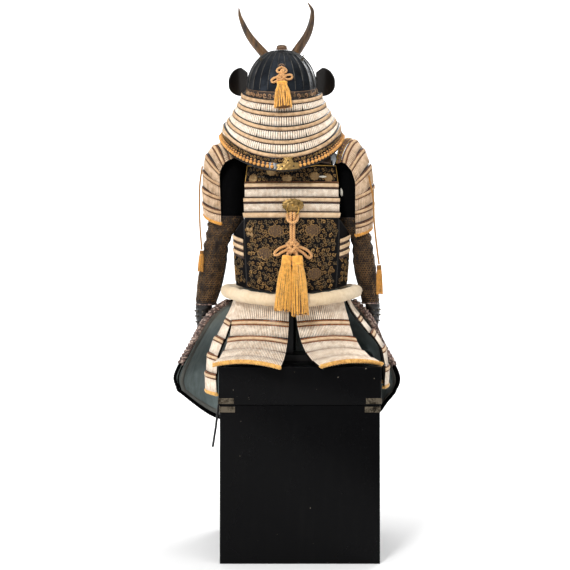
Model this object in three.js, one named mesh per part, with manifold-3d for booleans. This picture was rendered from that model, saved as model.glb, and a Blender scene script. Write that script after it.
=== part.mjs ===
// A laced samurai armour, seated on the black lacquered chest that it is stored in.
//
// Units are millimetres and +Z is up. The origin is the centre of the chest's underside. The armour
// faces -Y, so +X is the wearer's left. Angles round the body are in degrees from the back (+Y)
// towards the wearer's left (+X): 0 is the middle of the back, 90 the left side, 180 the front.
//
// Every plate, lame and cloth is a wall: an outer surface and the same surface moved in by the
// wall's thickness, with closed rims. Lames that overlap are one wall whose outside is stepped.
import * as THREE from "three";
import Module from "manifold-3d";

const wasm = await Module();
wasm.setup();

const GAP = 0.6; // between neighbouring pieces
const DEGREE = Math.PI / 180;

// ---------- driving dimensions ----------

const CHEST = { width: 420, depth: 400, height: 416, wall: 12, lip: 6, lipRise: 16 };
const LID = { width: 426, depth: 406, height: 100, wall: 12 };
const LID_TOP = CHEST.height + GAP + LID.height;

const BODY_X = 21; // the cuirass stands a little to the wearer's left of the chest's middle
const HELMET = { x: 48, y: 0, z: 1245, tilt: 12 * DEGREE }; // tipped back

// Half width and half depth of the cuirass at each height.
const CUIRASS = [
  { z: 690, width: 151, depth: 110 },
  { z: 760, width: 157, depth: 115 },
  { z: 840, width: 162, depth: 121 },
  { z: 905, width: 163, depth: 123 },
  { z: 980, width: 158, depth: 121 },
  { z: 1060, width: 146, depth: 108 },
];
const WAIST_Z = 703; // the cuirass's lower edge at the back
const WAIST_RISE = 20; // how much higher that edge is at the sides
const LACED_FOOT = 909; // the laced lames stand between the waist plate and the top plate
const LACED_TOP = 1000;
const BACK_TOP = 1050;
const CHEST_TOP = 1032;
const BACK_HALF_ANGLE = 52; // the back and front plates reach this far round each side
const SIDE_TOP = 905;
const SIDE_SCOOP = 46; // the armhole's depth below that

const PLATE = 3; // lacquered iron or rawhide
const LACED = 4; // a plate with its silk lacing
const LAME_STEP = 4; // how far each lame's head stands out over the lacing above it
const CLOTH = 2.4; // lined cloth

const MATERIALS = {
  lacquer: { color: 0x0f0f12, roughness: 0.35, metalness: 0.0 },
  iron: { color: 0x23262c, roughness: 0.42, metalness: 0.55 },
  leather: { color: 0x2a221a, roughness: 0.6, metalness: 0.0 },
  lacing: { color: 0xeed6b8, roughness: 0.8, metalness: 0.0 },
  gilt: { color: 0x9c7c3e, roughness: 0.4, metalness: 0.9 },
  horn: { color: 0x5b3a1c, roughness: 0.4, metalness: 0.3 },
  silk: { color: 0xe09a34, roughness: 0.7, metalness: 0.0 },
  mail: { color: 0x41301f, roughness: 0.55, metalness: 0.4 },
  lining: { color: 0x6f7f7c, roughness: 0.9, metalness: 0.0 },
  sash: { color: 0xefdcc4, roughness: 0.9, metalness: 0.0 },
};

// ---------- shared geometry ----------

// The value at place s of a table sorted by one column, by a smooth curve through its rows.
function fromTable(rows, key, column, s) {
  const last = rows.length - 1;
  let i = rows.findIndex((row) => row[key] > s) - 1;
  if (i < 0) i = s <= rows[0][key] ? 0 : last - 1;
  const [a, b, c, d] = [-1, 0, 1, 2].map((k) => rows[Math.min(Math.max(i + k, 0), last)]);
  const span = c[key] - b[key];
  const t = (s - b[key]) / span;
  const slope = (p, q) => (p === q ? 0 : ((q[column] - p[column]) / (q[key] - p[key])) * span);
  const [start, end] = [slope(a, c), slope(b, d)];
  const [t2, t3] = [t * t, t * t * t];
  return (
    (2 * t3 - 3 * t2 + 1) * b[column] +
    (t3 - 2 * t2 + t) * start +
    (3 * t2 - 2 * t3) * c[column] +
    (t3 - t2) * end
  );
}

const steps = (count, from = 0, to = 1) =>
  Array.from({ length: count + 1 }, (_, i) => from + ((to - from) * i) / count);

// The outward normal of surface at(u, v). Along u and then down v, it points out by the right hand.
function normalAt(at, u, v) {
  const e = 1e-3;
  const across = at(u + e, v).sub(at(u - e, v));
  const down = at(u, v + e).sub(at(u, v - e));
  return across.cross(down).normalize();
}

function geometryOf(points, faces) {
  const geometry = new THREE.BufferGeometry();
  geometry.setAttribute("position", new THREE.Float32BufferAttribute(points, 3));
  geometry.setIndex(faces);
  geometry.computeVertexNormals();
  return geometry;
}

// A wall on the surface at(u, v): its outside is lifted by lift(u, v), and its inside lies thickness
// below the surface. us and vs are the places of its columns and rows; round joins the last column
// to the first.
function wall({ us, vs, at, thickness, lift = () => 0, round = false }) {
  const points = [];
  for (const depth of [lift, () => -thickness])
    for (const v of vs)
      for (const u of us)
        points.push(...at(u, v).addScaledVector(normalAt(at, u, v), depth(u, v)).toArray());
  const [columns, rows] = [us.length, vs.length];
  const corner = (side, i, j) => (side * rows + j) * columns + (i % columns);
  const faces = [];
  const quad = (a, b, c, d) => faces.push(a, b, c, a, c, d);
  const columnSpans = round ? columns : columns - 1;
  for (let i = 0; i < columnSpans; i++) {
    for (let j = 0; j < rows - 1; j++) {
      quad(corner(0, i, j), corner(0, i + 1, j), corner(0, i + 1, j + 1), corner(0, i, j + 1));
      quad(corner(1, i, j), corner(1, i, j + 1), corner(1, i + 1, j + 1), corner(1, i + 1, j));
    }
    const foot = rows - 1;
    quad(corner(0, i + 1, 0), corner(0, i, 0), corner(1, i, 0), corner(1, i + 1, 0));
    quad(corner(0, i, foot), corner(0, i + 1, foot), corner(1, i + 1, foot), corner(1, i, foot));
  }
  if (!round)
    for (let j = 0; j < rows - 1; j++) {
      const side = columns - 1;
      quad(corner(0, 0, j), corner(0, 0, j + 1), corner(1, 0, j + 1), corner(1, 0, j));
      quad(corner(0, side, j + 1), corner(0, side, j), corner(1, side, j), corner(1, side, j + 1));
    }
  return geometryOf(points, faces);
}

// Rows and lift of a wall that is laced in lames: each lame's head stands proud, and its foot is
// tucked in behind the head of the next.
function lames(count, head = LAME_STEP, first = head) {
  const tuck = 0.012;
  const vs = [];
  for (let k = 0; k < count; k++) vs.push(k / count, (k + 1) / count - (k < count - 1 ? tuck : 0));
  const lift = (_, v) => {
    const k = Math.min(Math.floor(v * count + 1e-9), count - 1);
    return (k ? head : first) * (1 - (v * count - k));
  };
  return { vs, lift };
}

// A closed solid through rings of points, with flat ends.
function loft(rings) {
  const sides = rings[0].length;
  const points = rings.flat().flatMap((p) => p.toArray());
  const faces = [];
  for (let k = 0; k < rings.length - 1; k++)
    for (let i = 0; i < sides; i++) {
      const [a, b] = [k * sides + i, k * sides + ((i + 1) % sides)];
      faces.push(a, b, b + sides, a, b + sides, a + sides);
    }
  const end = (rings.length - 1) * sides;
  for (let i = 1; i < sides - 1; i++) faces.push(0, i + 1, i, end, end + i, end + i + 1);
  return geometryOf(points, faces);
}

// A round bar along a curve, whose radius changes from end to end.
function taperedBar(curve, radiusAt, sides, count) {
  const frames = curve.computeFrenetFrames(count, false);
  const rings = steps(count).map((t, k) => {
    const centre = curve.getPointAt(t);
    return steps(sides - 1, 0, (sides - 1) / sides).map((turn) => {
      const angle = turn * 2 * Math.PI;
      return centre
        .clone()
        .addScaledVector(frames.normals[k], radiusAt(t) * Math.cos(angle))
        .addScaledVector(frames.binormals[k], radiusAt(t) * Math.sin(angle));
    });
  });
  return loft(rings);
}

function solidOf(geometry) {
  const plain = geometry.index ? geometry.toNonIndexed() : geometry;
  const vertices = plain.getAttribute("position").array;
  const mesh = new wasm.Mesh({
    numProp: 3,
    vertProperties: vertices,
    triVerts: Uint32Array.from({ length: vertices.length / 3 }, (_, i) => i),
  });
  mesh.merge();
  return new wasm.Manifold(mesh);
}

function geometryFrom(solid) {
  const { vertProperties, triVerts } = solid.getMesh();
  return geometryOf(Array.from(vertProperties), Array.from(triVerts));
}

const boxAt = (width, depth, height, x, y, z) =>
  new THREE.BoxGeometry(width, depth, height).translate(x, y, z + height / 2);

const armour = new THREE.Group();

function add(name, material, geometry, parent = armour) {
  const mesh = new THREE.Mesh(geometry, new THREE.MeshStandardMaterial(MATERIALS[material]));
  mesh.name = name;
  parent.add(mesh);
  return mesh;
}

// ---------- chest and stand ----------

function chestBody() {
  const { width, depth, height, wall: thick, lip, lipRise } = CHEST;
  const innerWidth = width - 2 * thick;
  const innerDepth = depth - 2 * thick;
  const shell = solidOf(boxAt(width, depth, height, 0, 0, 0));
  const rim = solidOf(boxAt(innerWidth, innerDepth, height + lipRise, 0, 0, 0));
  const hollow = solidOf(
    boxAt(innerWidth - 2 * lip, innerDepth - 2 * lip, height + lipRise, 0, 0, thick),
  );
  return geometryFrom(shell.add(rim).subtract(hollow));
}

function chestLid() {
  const { width, depth, height, wall: thick } = LID;
  const foot = CHEST.height + GAP;
  const outside = solidOf(boxAt(width, depth, height, 0, 0, foot));
  const inside = solidOf(boxAt(width - 2 * thick, depth - 2 * thick, height, 0, 0, foot - thick));
  return geometryFrom(outside.subtract(inside));
}

const STAND = { x: 35, base: 190, baseDepth: 130, board: 16, post: 38, barTop: 1081, headTop: 1354 };

function buildStand() {
  const baseZ = LID_TOP + GAP;
  add("stand_base", "lacquer", boxAt(STAND.base, STAND.baseDepth, STAND.board, STAND.x, 0, baseZ));
  const postZ = baseZ + STAND.board + GAP;
  const barZ = STAND.barTop - 34;
  const post = solidOf(boxAt(STAND.post, STAND.post, 1168 - postZ, STAND.x, 0, postZ));
  const bar = solidOf(boxAt(230, 34, 34, BODY_X, 0, barZ));
  add("stand_post", "lacquer", geometryFrom(post.add(bar)));
  const block = new THREE.LatheGeometry(
    [[0, 0], [44, 0], [60, 60], [62, 110], [48, 150], [24, 168], [0, 174]].map(
      ([radius, height]) => new THREE.Vector2(radius, height),
    ),
    16,
  );
  block.rotateX(Math.PI / 2).translate(HELMET.x - 4, 0, STAND.headTop - 180);
  add("stand_head", "lacquer", block);
}

// ---------- cuirass ----------

// A point on the cuirass, out past it by reach.
function onCuirass(degrees, z, reach = 0) {
  const width = fromTable(CUIRASS, "z", "width", z) + reach;
  const depth = fromTable(CUIRASS, "z", "depth", z) + reach;
  const angle = degrees * DEGREE;
  return new THREE.Vector3(BODY_X + width * Math.sin(angle), depth * Math.cos(angle), z);
}

const waistAt = (degrees) => WAIST_Z + WAIST_RISE * Math.sin(degrees * DEGREE) ** 2;

// A plate of the cuirass between two angles and two heights; the heights may depend on the angle.
function cuirassPlate({ from, to, top, foot, columns, rows, reach = 0, thickness = PLATE, laced = 0 }) {
  const heightOf = (edge, degrees) => (typeof edge === "function" ? edge(degrees) : edge);
  const at = (u, v) => {
    const degrees = from + (to - from) * u;
    const [high, low] = [heightOf(top, degrees), heightOf(foot, degrees)];
    return onCuirass(degrees, high + (low - high) * v, reach);
  };
  const { vs, lift } = laced ? lames(laced) : { vs: steps(rows), lift: () => 0 };
  return wall({ us: steps(columns), vs, at, thickness, lift });
}

function buildCuirass() {
  const middles = { back: 0, front: 180 };
  for (const [side, middle] of Object.entries(middles)) {
    const [from, to] = [middle - BACK_HALF_ANGLE, middle + BACK_HALF_ANGLE];
    const top = side === "back" ? BACK_TOP : CHEST_TOP;
    const laceTop = side === "back" ? LACED_TOP : LACED_TOP - 14;
    add(
      `cuirass_${side}_waist`,
      "leather",
      cuirassPlate({ from, to, top: LACED_FOOT - GAP, foot: waistAt, columns: 14, rows: 3 }),
    );
    add(
      `cuirass_${side}_laced`,
      "lacing",
      cuirassPlate({
        from,
        to,
        top: laceTop,
        foot: LACED_FOOT,
        columns: 12,
        laced: 3,
        reach: 1,
        thickness: LACED,
      }),
    );
    // The top plate is narrower than the lames, and its upper corners are cut for the shoulder straps.
    const neckCut = (degrees) => {
      const away = Math.abs(degrees - middle) / (BACK_HALF_ANGLE - 8);
      return top - (side === "back" ? 6 : 16) * (1 - Math.min(1, away / 0.62) ** 2);
    };
    add(
      `cuirass_${side}_top`,
      "leather",
      cuirassPlate({
        from: from + 1,
        to: to - 1,
        top: neckCut,
        foot: laceTop + GAP,
        columns: 12,
        rows: 2,
        reach: 1,
      }),
    );
  }
  for (const [side, middle] of Object.entries({ left: 90, right: 270 })) {
    const half = 90 - BACK_HALF_ANGLE - 0.3;
    // The side plate is scooped out under the arm.
    const top = (degrees) => SIDE_TOP - SIDE_SCOOP * Math.cos(((degrees - middle) / half) * (Math.PI / 2));
    add(
      `cuirass_side_${side}`,
      "leather",
      cuirassPlate({ from: middle - half, to: middle + half, top, foot: waistAt, columns: 8, rows: 4 }),
    );
  }
}

// The straps that carry the cuirass on the shoulders, and the quilted pad beside each.
const STRAP = { inner: 58, width: 46, thick: 5 };
const STRAP_LINE = [
  { s: 0, y: 112, z: 1058 },
  { s: 0.3, y: 74, z: 1084 },
  { s: 0.6, y: 4, z: 1094 },
  { s: 0.85, y: -62, z: 1078 },
  { s: 1, y: -100, z: 1044 },
];
const PAD = { width: 25, narrow: 6, droop: 12, from: 0.12, to: 0.76 };

function buildStraps() {
  for (const [side, sign] of [["left", 1], ["right", -1]]) {
    // Across u the strap runs towards -X, so that its top is the outside.
    const strap = (u, v) => {
      const reach = STRAP.inner + STRAP.width * (sign > 0 ? 1 - u : u);
      const [y, z] = ["y", "z"].map((column) => fromTable(STRAP_LINE, "s", column, v));
      return new THREE.Vector3(BODY_X + sign * reach, y, z - (reach - STRAP.inner) * 0.12);
    };
    add(
      `shoulder_strap_${side}`,
      "leather",
      wall({ us: steps(2), vs: steps(8), at: (u, v) => strap(1 - u, v), thickness: STRAP.thick }),
    );
    const pad = (u, v) => {
      const wide = PAD.narrow + (PAD.width - PAD.narrow) * Math.min(1, v * 1.25);
      const away = (sign > 0 ? u : 1 - u) * wide;
      const edge = STRAP.inner + STRAP.width + 2;
      const s = PAD.from + (PAD.to - PAD.from) * v;
      const [y, z] = ["y", "z"].map((column) => fromTable(STRAP_LINE, "s", column, s));
      return new THREE.Vector3(
        BODY_X + sign * (edge + away),
        y,
        z - 6 - PAD.droop * (away / wide) ** 2,
      );
    };
    add(
      `shoulder_pad_${side}`,
      "lining",
      wall({ us: steps(3), vs: steps(6), at: pad, thickness: 5 }),
    );
  }
}

// ---------- sash ----------

const SASH = { radius: 17.5, width: 179.5, depth: 140, backZ: 686, sideZ: 706 };

function sashRing() {
  const ring = new THREE.TorusGeometry(100, SASH.radius, 9, 32);
  const position = ring.getAttribute("position");
  for (let i = 0; i < position.count; i++) {
    const [x, y, z] = [position.getX(i), position.getY(i), position.getZ(i)];
    const angle = Math.atan2(y, x);
    const away = Math.hypot(x, y) - 100;
    const lift = (SASH.sideZ - SASH.backZ) * (1 - Math.max(0, Math.sin(angle)) ** 2);
    position.setXYZ(
      i,
      BODY_X + (SASH.width + away) * Math.cos(angle),
      (SASH.depth + away) * Math.sin(angle),
      SASH.backZ + lift + z,
    );
  }
  return ring;
}

// ---------- tassets ----------

// How a tasset falls: its reach out from the waist and its height, from its cords down to its hem.
const FALL_ON_LID = [
  { s: 0, out: 0, z: 700 },
  { s: 0.2, out: 11, z: 650 },
  { s: 0.4, out: 30, z: 601 },
  { s: 0.6, out: 62, z: 563 },
  { s: 0.8, out: 98, z: 543 },
  { s: 1, out: 136, z: 533 },
];
const FALL_OVER_LEFT = [
  { s: 0, out: 0, z: 700 },
  { s: 0.2, out: 16, z: 646 },
  { s: 0.4, out: 44, z: 592 },
  { s: 0.6, out: 70, z: 542 },
  { s: 0.8, out: 80, z: 486 },
  { s: 1, out: 83, z: 426 },
];
const FALL_OVER_RIGHT = [
  { s: 0, out: 0, z: 700 },
  { s: 0.2, out: 22, z: 652 },
  { s: 0.4, out: 60, z: 608 },
  { s: 0.6, out: 99, z: 564 },
  { s: 0.8, out: 115, z: 508 },
  { s: 1, out: 117, z: 446 },
];
const FALL_IN_FRONT = [
  { s: 0, out: 0, z: 700 },
  { s: 0.2, out: 26, z: 652 },
  { s: 0.4, out: 70, z: 612 },
  { s: 0.6, out: 114, z: 568 },
  { s: 0.8, out: 136, z: 508 },
  { s: 1, out: 138, z: 446 },
];
const FALL_FRONT_SIDE = [
  { s: 0, out: 0, z: 700 },
  { s: 0.2, out: 36, z: 658 },
  { s: 0.4, out: 94, z: 622 },
  { s: 0.6, out: 152, z: 578 },
  { s: 0.8, out: 176, z: 514 },
  { s: 1, out: 178, z: 448 },
];
const CORD_SHARE = 0.15; // the top of each tasset is bare lacing cords
const TASSETS = [
  {
    name: "tasset_back_left",
    hangs: 34,
    faces: 20,
    turns: 0,
    falls: 15,
    top: 150,
    foot: 190,
    fall: FALL_ON_LID,
  },
  {
    name: "tasset_back_right",
    hangs: -31,
    faces: -20,
    turns: 0,
    falls: -36,
    top: 136,
    foot: 178,
    fall: FALL_ON_LID,
  },
  {
    name: "tasset_side_left",
    hangs: 90,
    faces: 88,
    turns: -14,
    falls: 90,
    top: 84,
    foot: 128,
    fall: FALL_OVER_LEFT,
  },
  {
    name: "tasset_side_right",
    hangs: 270,
    faces: 272,
    turns: 0,
    falls: 270,
    top: 84,
    foot: 128,
    fall: FALL_OVER_RIGHT,
  },
  {
    name: "tasset_front_left",
    hangs: 137,
    faces: 155,
    turns: 20,
    falls: 172,
    top: 92,
    foot: 120,
    fall: FALL_FRONT_SIDE,
  },
  {
    name: "tasset_front_middle",
    hangs: 180,
    faces: 180,
    turns: 0,
    falls: 180,
    top: 96,
    foot: 122,
    fall: FALL_IN_FRONT,
  },
  {
    name: "tasset_front_right",
    hangs: 223,
    faces: 205,
    turns: -20,
    falls: 188,
    top: 92,
    foot: 120,
    fall: FALL_FRONT_SIDE,
  },
];
const WAIST_CURVE = 320; // twice the waist's radius of curvature at the back
const TASSET_BULGE = 13; // how far the middle of a tasset's hem stands proud of its ends
const TASSET_LAMES = 5;

const headingOf = (degrees) =>
  new THREE.Vector3(Math.sin(degrees * DEGREE), Math.cos(degrees * DEGREE), 0);

function tassetSurface({ hangs, faces, turns, falls, top, foot, fall }) {
  const start = onCuirass(hangs, CUIRASS[0].z);
  const falling = headingOf(falls);
  return (u, v) => {
    const facing = headingOf(faces + turns * Math.min(1, 2 * v));
    const across = new THREE.Vector3(facing.y, -facing.x, 0);
    const side = 2 * u - 1;
    const half = (top + (foot - top) * v) / 2;
    const [out, z] = ["out", "z"].map((column) => fromTable(fall, "s", column, v));
    const e = 1e-3;
    const [outNext, zNext] = ["out", "z"].map((column) => fromTable(fall, "s", column, v + e));
    const slope = Math.atan2(outNext - out, z - zNext); // 0 where it hangs straight down
    const bulge = ((top / 2) ** 2 / WAIST_CURVE) * (1 - v) + TASSET_BULGE * v;
    const drop = -bulge * side * side;
    return start
      .clone()
      .addScaledVector(falling, out)
      .addScaledVector(across, side * half)
      .addScaledVector(facing, drop * Math.cos(slope))
      .setZ(z + drop * Math.sin(slope));
  };
}

function tasset(spec) {
  const at = tassetSurface(spec);
  const { vs, lift } = lames(TASSET_LAMES);
  const below = (v) => CORD_SHARE + (1 - CORD_SHARE) * v;
  return wall({
    us: steps(6),
    vs: [0, ...vs.map(below)],
    at,
    thickness: 3,
    lift: (u, v) => (v < CORD_SHARE - 1e-9 ? 0 : lift(u, (v - CORD_SHARE) / (1 - CORD_SHARE))),
  });
}

// ---------- shoulder guards ----------

// A shoulder guard's lames, from the top plate's upper edge to the hem. Each is an arc about a point
// in the shoulder (x out from the body's middle, y, z). rise is the angle of its middle above the
// horizontal, and twist turns its back end down along the arm.
const GUARD_LEFT = [
  { s: 0, x: 176, y: 5, z: 1040, radius: 76, rise: 100, twist: -28, front: -56, back: 62 },
  { s: 0.2, x: 180, y: 3, z: 1040, radius: 76, rise: 75, twist: -12, front: -68, back: 74 },
  { s: 0.4, x: 182, y: 0, z: 1033, radius: 74, rise: 48, twist: 4, front: -76, back: 82 },
  { s: 0.6, x: 184, y: -3, z: 1008, radius: 63, rise: 20, twist: 14, front: -78, back: 84 },
  { s: 0.8, x: 185, y: -8, z: 962, radius: 61, rise: 8, twist: 18, front: -78, back: 84 },
  { s: 1, x: 184, y: -14, z: 911, radius: 59, rise: 8, twist: 20, front: -78, back: 84 },
];
const GUARD_RIGHT = [
  { s: 0, x: 168, y: 5, z: 1046, radius: 84, rise: 97, twist: -32, front: -56, back: 80 },
  { s: 0.2, x: 162, y: 3, z: 1036, radius: 80, rise: 70, twist: -14, front: -68, back: 82 },
  { s: 0.4, x: 161, y: 0, z: 1010, radius: 74, rise: 42, twist: 5, front: -76, back: 84 },
  { s: 0.6, x: 163, y: -4, z: 972, radius: 66, rise: 14, twist: 14, front: -78, back: 84 },
  { s: 0.8, x: 166, y: -9, z: 924, radius: 61, rise: 6, twist: 18, front: -78, back: 84 },
  { s: 1, x: 168, y: -13, z: 878, radius: 56, rise: 6, twist: 20, front: -78, back: 84 },
];
const GUARD_PLATE = 0.1; // the top plate's share of the guard
const GUARD_LAMES = 6;

function guardSurface(sections, sign) {
  return (u, v) => {
    const columns = ["x", "y", "z", "radius", "rise", "twist", "front", "back"];
    const [x, y, z, radius, rise, twist, front, back] = columns.map((column) =>
      fromTable(sections, "s", column, v),
    );
    const lift = rise * DEGREE;
    const share = sign > 0 ? 1 - u : u;
    const angle = (front + (back - front) * share) * DEGREE;
    const turn = twist * DEGREE * (0.65 + 0.35 * Math.sin(angle)); // mostly at the back
    const outward = new THREE.Vector3(sign * Math.cos(lift), 0, Math.sin(lift));
    const along = new THREE.Vector3(sign * Math.sin(lift), 0, -Math.cos(lift));
    const backward = new THREE.Vector3(0, Math.cos(turn), 0).addScaledVector(along, Math.sin(turn));
    return new THREE.Vector3(BODY_X + sign * x, y, z)
      .addScaledVector(outward, radius * Math.cos(angle))
      .addScaledVector(backward, radius * Math.sin(angle));
  };
}

function buildShoulderGuards() {
  for (const [side, sign, sections] of [["left", 1, GUARD_LEFT], ["right", -1, GUARD_RIGHT]]) {
    const at = guardSurface(sections, sign);
    add(
      `shoulder_guard_plate_${side}`,
      "leather",
      wall({ us: steps(12), vs: steps(1, 0, GUARD_PLATE - 0.018), at, thickness: LACED, lift: () => 2 }),
    );
    const { vs, lift } = lames(GUARD_LAMES);
    const rest = 1 - GUARD_PLATE;
    add(
      `shoulder_guard_laced_${side}`,
      "lacing",
      wall({
        us: steps(12),
        vs: vs.map((v) => GUARD_PLATE + rest * v),
        at,
        thickness: LACED,
        lift: (u, v) => lift(u, (v - GUARD_PLATE) / rest),
      }),
    );
  }
}

// ---------- sleeves ----------

// A sleeve's level rings: x out from the body's middle, and its half sizes across and front to back.
const SLEEVE_LEFT = [
  { z: 1060, x: 160, y: 4, across: 41, along: 42 },
  { z: 1010, x: 176, y: 2, across: 49, along: 48 },
  { z: 950, x: 180, y: -4, across: 50, along: 47 },
  { z: 898, x: 185, y: -8, across: 44, along: 42 },
  { z: 848, x: 204, y: -12, across: 34, along: 43 },
  { z: 770, x: 219, y: -26, across: 36, along: 42 },
  { z: 710, x: 231, y: -48, across: 33, along: 37 },
  { z: 664, x: 241, y: -66, across: 28, along: 33 },
];
const SLEEVE_RIGHT = [
  { z: 1050, x: 154, y: 4, across: 34, along: 42 },
  { z: 1000, x: 165, y: 0, across: 46, along: 48 },
  { z: 940, x: 172, y: -4, across: 43, along: 43 },
  { z: 892, x: 180, y: -9, across: 33, along: 38 },
  { z: 850, x: 193, y: -12, across: 27, along: 40 },
  { z: 770, x: 204, y: -26, across: 30, along: 41 },
  { z: 710, x: 216, y: -50, across: 26, along: 36 },
  { z: 668, x: 224, y: -66, across: 24, along: 32 },
];

function sleeveSurface(sections, sign) {
  const [high, low] = [sections[0].z, sections[sections.length - 1].z];
  const rows = [...sections].reverse();
  return (u, v) => {
    const z = high + (low - high) * v;
    const [x, y, across, along] = ["x", "y", "across", "along"].map((column) =>
      fromTable(rows, "z", column, z),
    );
    const angle = u * 2 * Math.PI;
    return new THREE.Vector3(
      BODY_X + sign * x + across * Math.sin(angle),
      y + along * Math.cos(angle),
      z,
    );
  };
}

// The hand guard: a curved plate that carries on from the back and outside of the sleeve's cuff.
const HAND_GUARD = { turn: 48, wrap: 168, length: 64, forward: 24 };

function handGuardSurface(sections, sign) {
  const cuff = sections[sections.length - 1];
  return (u, v) => {
    const middle = sign * HAND_GUARD.turn;
    const angle = (middle + (u - 0.5) * HAND_GUARD.wrap) * DEGREE;
    const across = (cuff.across + 2) * (1 - 0.24 * v * v);
    const along = (cuff.along + 2) * (1 - 0.3 * v * v);
    return new THREE.Vector3(
      BODY_X + sign * (cuff.x + 4 * v) + across * Math.sin(angle),
      cuff.y - HAND_GUARD.forward * v + along * Math.cos(angle),
      cuff.z - 1.5 - HAND_GUARD.length * v,
    );
  };
}

function buildSleeves() {
  for (const [side, sign, sections] of [["left", 1, SLEEVE_LEFT], ["right", -1, SLEEVE_RIGHT]]) {
    const us = steps(13, 0, 13 / 14);
    add(
      `sleeve_${side}`,
      "mail",
      wall({ us, vs: steps(10), at: sleeveSurface(sections, sign), thickness: CLOTH, round: true }),
    );
    add(
      `hand_guard_${side}`,
      "lacquer",
      wall({ us: steps(8), vs: steps(4), at: handGuardSurface(sections, sign), thickness: CLOTH }),
    );
  }
}

// ---------- thigh guards ----------

// A thigh guard's panel: a row for each level from the waist to the hem, with the place of its inner
// edge (at the front), of two lines down the panel, and of its outer edge, which swings out to the side.
const PANEL_LEFT = [
  { s: 0, places: [[26, -92, 694], [82, -82, 694], [122, -60, 694], [140, -42, 694]] },
  { s: 0.12, places: [[26, -108, 670], [84, -98, 670], [148, -72, 674], [194, -54, 676]] },
  { s: 0.3, places: [[26, -138, 622], [88, -132, 618], [182, -74, 618], [250, -14, 638]] },
  { s: 0.55, places: [[26, -209, 548], [100, -209, 544], [226, -208, 530], [303, -88, 556]] },
  { s: 0.8, places: [[26, -218, 420], [110, -220, 416], [244, -212, 404], [356, -112, 462]] },
  { s: 1, places: [[26, -222, 318], [112, -226, 312], [240, -216, 322], [350, -128, 414]] },
];
const PANEL_RIGHT = [
  { s: 0, places: [[16, -92, 694], [-40, -82, 694], [-80, -60, 694], [-98, -42, 694]] },
  { s: 0.12, places: [[16, -108, 670], [-42, -98, 670], [-102, -72, 672], [-150, -53, 678]] },
  { s: 0.3, places: [[16, -138, 622], [-54, -132, 618], [-140, -82, 617], [-200, -24, 630]] },
  { s: 0.55, places: [[16, -209, 548], [-74, -209, 544], [-224, -211, 534], [-240, -98, 548]] },
  { s: 0.8, places: [[16, -218, 420], [-92, -220, 416], [-226, -214, 410], [-286, -108, 456]] },
  { s: 1, places: [[16, -222, 318], [-94, -226, 312], [-222, -218, 326], [-276, -124, 408]] },
];

// The band that carries both panels round the waist, inside the cuirass.
const WAISTBAND = { width: 133, depth: 93, foot: 695, height: 24 };

function panelSurface(levels, sign) {
  const rows = levels.map(({ s, places }) => {
    const row = { s };
    places.forEach(([x, y, z], k) => Object.assign(row, { ["x" + k]: x, ["y" + k]: y, ["z" + k]: z }));
    return row;
  });
  return (u, v) => {
    const along = sign > 0 ? u : 1 - u;
    const line = [0, 1, 2, 3].map((k) => ({
      place: k / 3,
      x: fromTable(rows, "s", "x" + k, v),
      y: fromTable(rows, "s", "y" + k, v),
      z: fromTable(rows, "s", "z" + k, v),
    }));
    const [x, y, z] = ["x", "y", "z"].map((column) => fromTable(line, "place", column, 1 - along));
    return new THREE.Vector3(x, y, z);
  };
}

function buildThighGuards() {
  for (const [side, sign, rows] of [["left", 1, PANEL_LEFT], ["right", -1, PANEL_RIGHT]])
    add(
      `thigh_guard_${side}`,
      "lining",
      wall({ us: steps(12), vs: steps(9), at: panelSurface(rows, sign), thickness: CLOTH }),
    );
  const at = (u, v) => {
    const angle = u * 2 * Math.PI;
    return new THREE.Vector3(
      BODY_X + WAISTBAND.width * Math.sin(angle),
      WAISTBAND.depth * Math.cos(angle),
      WAISTBAND.foot + WAISTBAND.height * (1 - v),
    );
  };
  add(
    "thigh_guard_waistband",
    "lining",
    wall({ us: steps(23, 0, 23 / 24), vs: [0, 1], at, thickness: CLOTH, round: true }),
  );
}

// ---------- helmet ----------

const BOWL = { width: 97, depth: 121, height: 130, ringZ: 26 };
// The neck guard's edges, from the top of its first lame to the foot of its last: half width, depth at
// the back, and height at the sides and at the back, from the helmet's middle.
const NECK_GUARD = [
  { width: 106, depth: 130, sideZ: 14, backZ: 6 },
  { width: 114, depth: 147, sideZ: -12, backZ: -26 },
  { width: 127, depth: 169, sideZ: -36, backZ: -62 },
  { width: 141, depth: 191, sideZ: -59, backZ: -95 },
  { width: 156, depth: 213, sideZ: -74, backZ: -127 },
  { width: 169, depth: 237, sideZ: -108, backZ: -170 },
];
const NECK_GUARD_REACH = { head: 112, foot: 100 }; // how far round its edges go, in degrees

function bowlSurface(u, v) {
  const around = u * 2 * Math.PI;
  const climb = Math.max(0, 1 - v) ** 0.8 * 86 * DEGREE; // from the base ring up to the crown
  const spread = Math.cos(climb) ** 0.94;
  return new THREE.Vector3(
    BOWL.width * spread * Math.sin(around),
    BOWL.depth * spread * Math.cos(around),
    BOWL.ringZ + (BOWL.height - BOWL.ringZ) * Math.sin(climb),
  );
}

function bowl() {
  const at = (u, v) => bowlSurface(u, 0.12 + 0.88 * v);
  return wall({ us: steps(27, 0, 27 / 28), vs: steps(6), at, thickness: PLATE, round: true });
}

const BAND_HEIGHT = 21;

function baseBandSurface(u, v) {
  const around = u * 2 * Math.PI;
  return new THREE.Vector3(
    (BOWL.width + 3 * v) * Math.sin(around),
    (BOWL.depth + 4 * v) * Math.cos(around),
    BOWL.ringZ - GAP - BAND_HEIGHT * v,
  );
}

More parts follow.
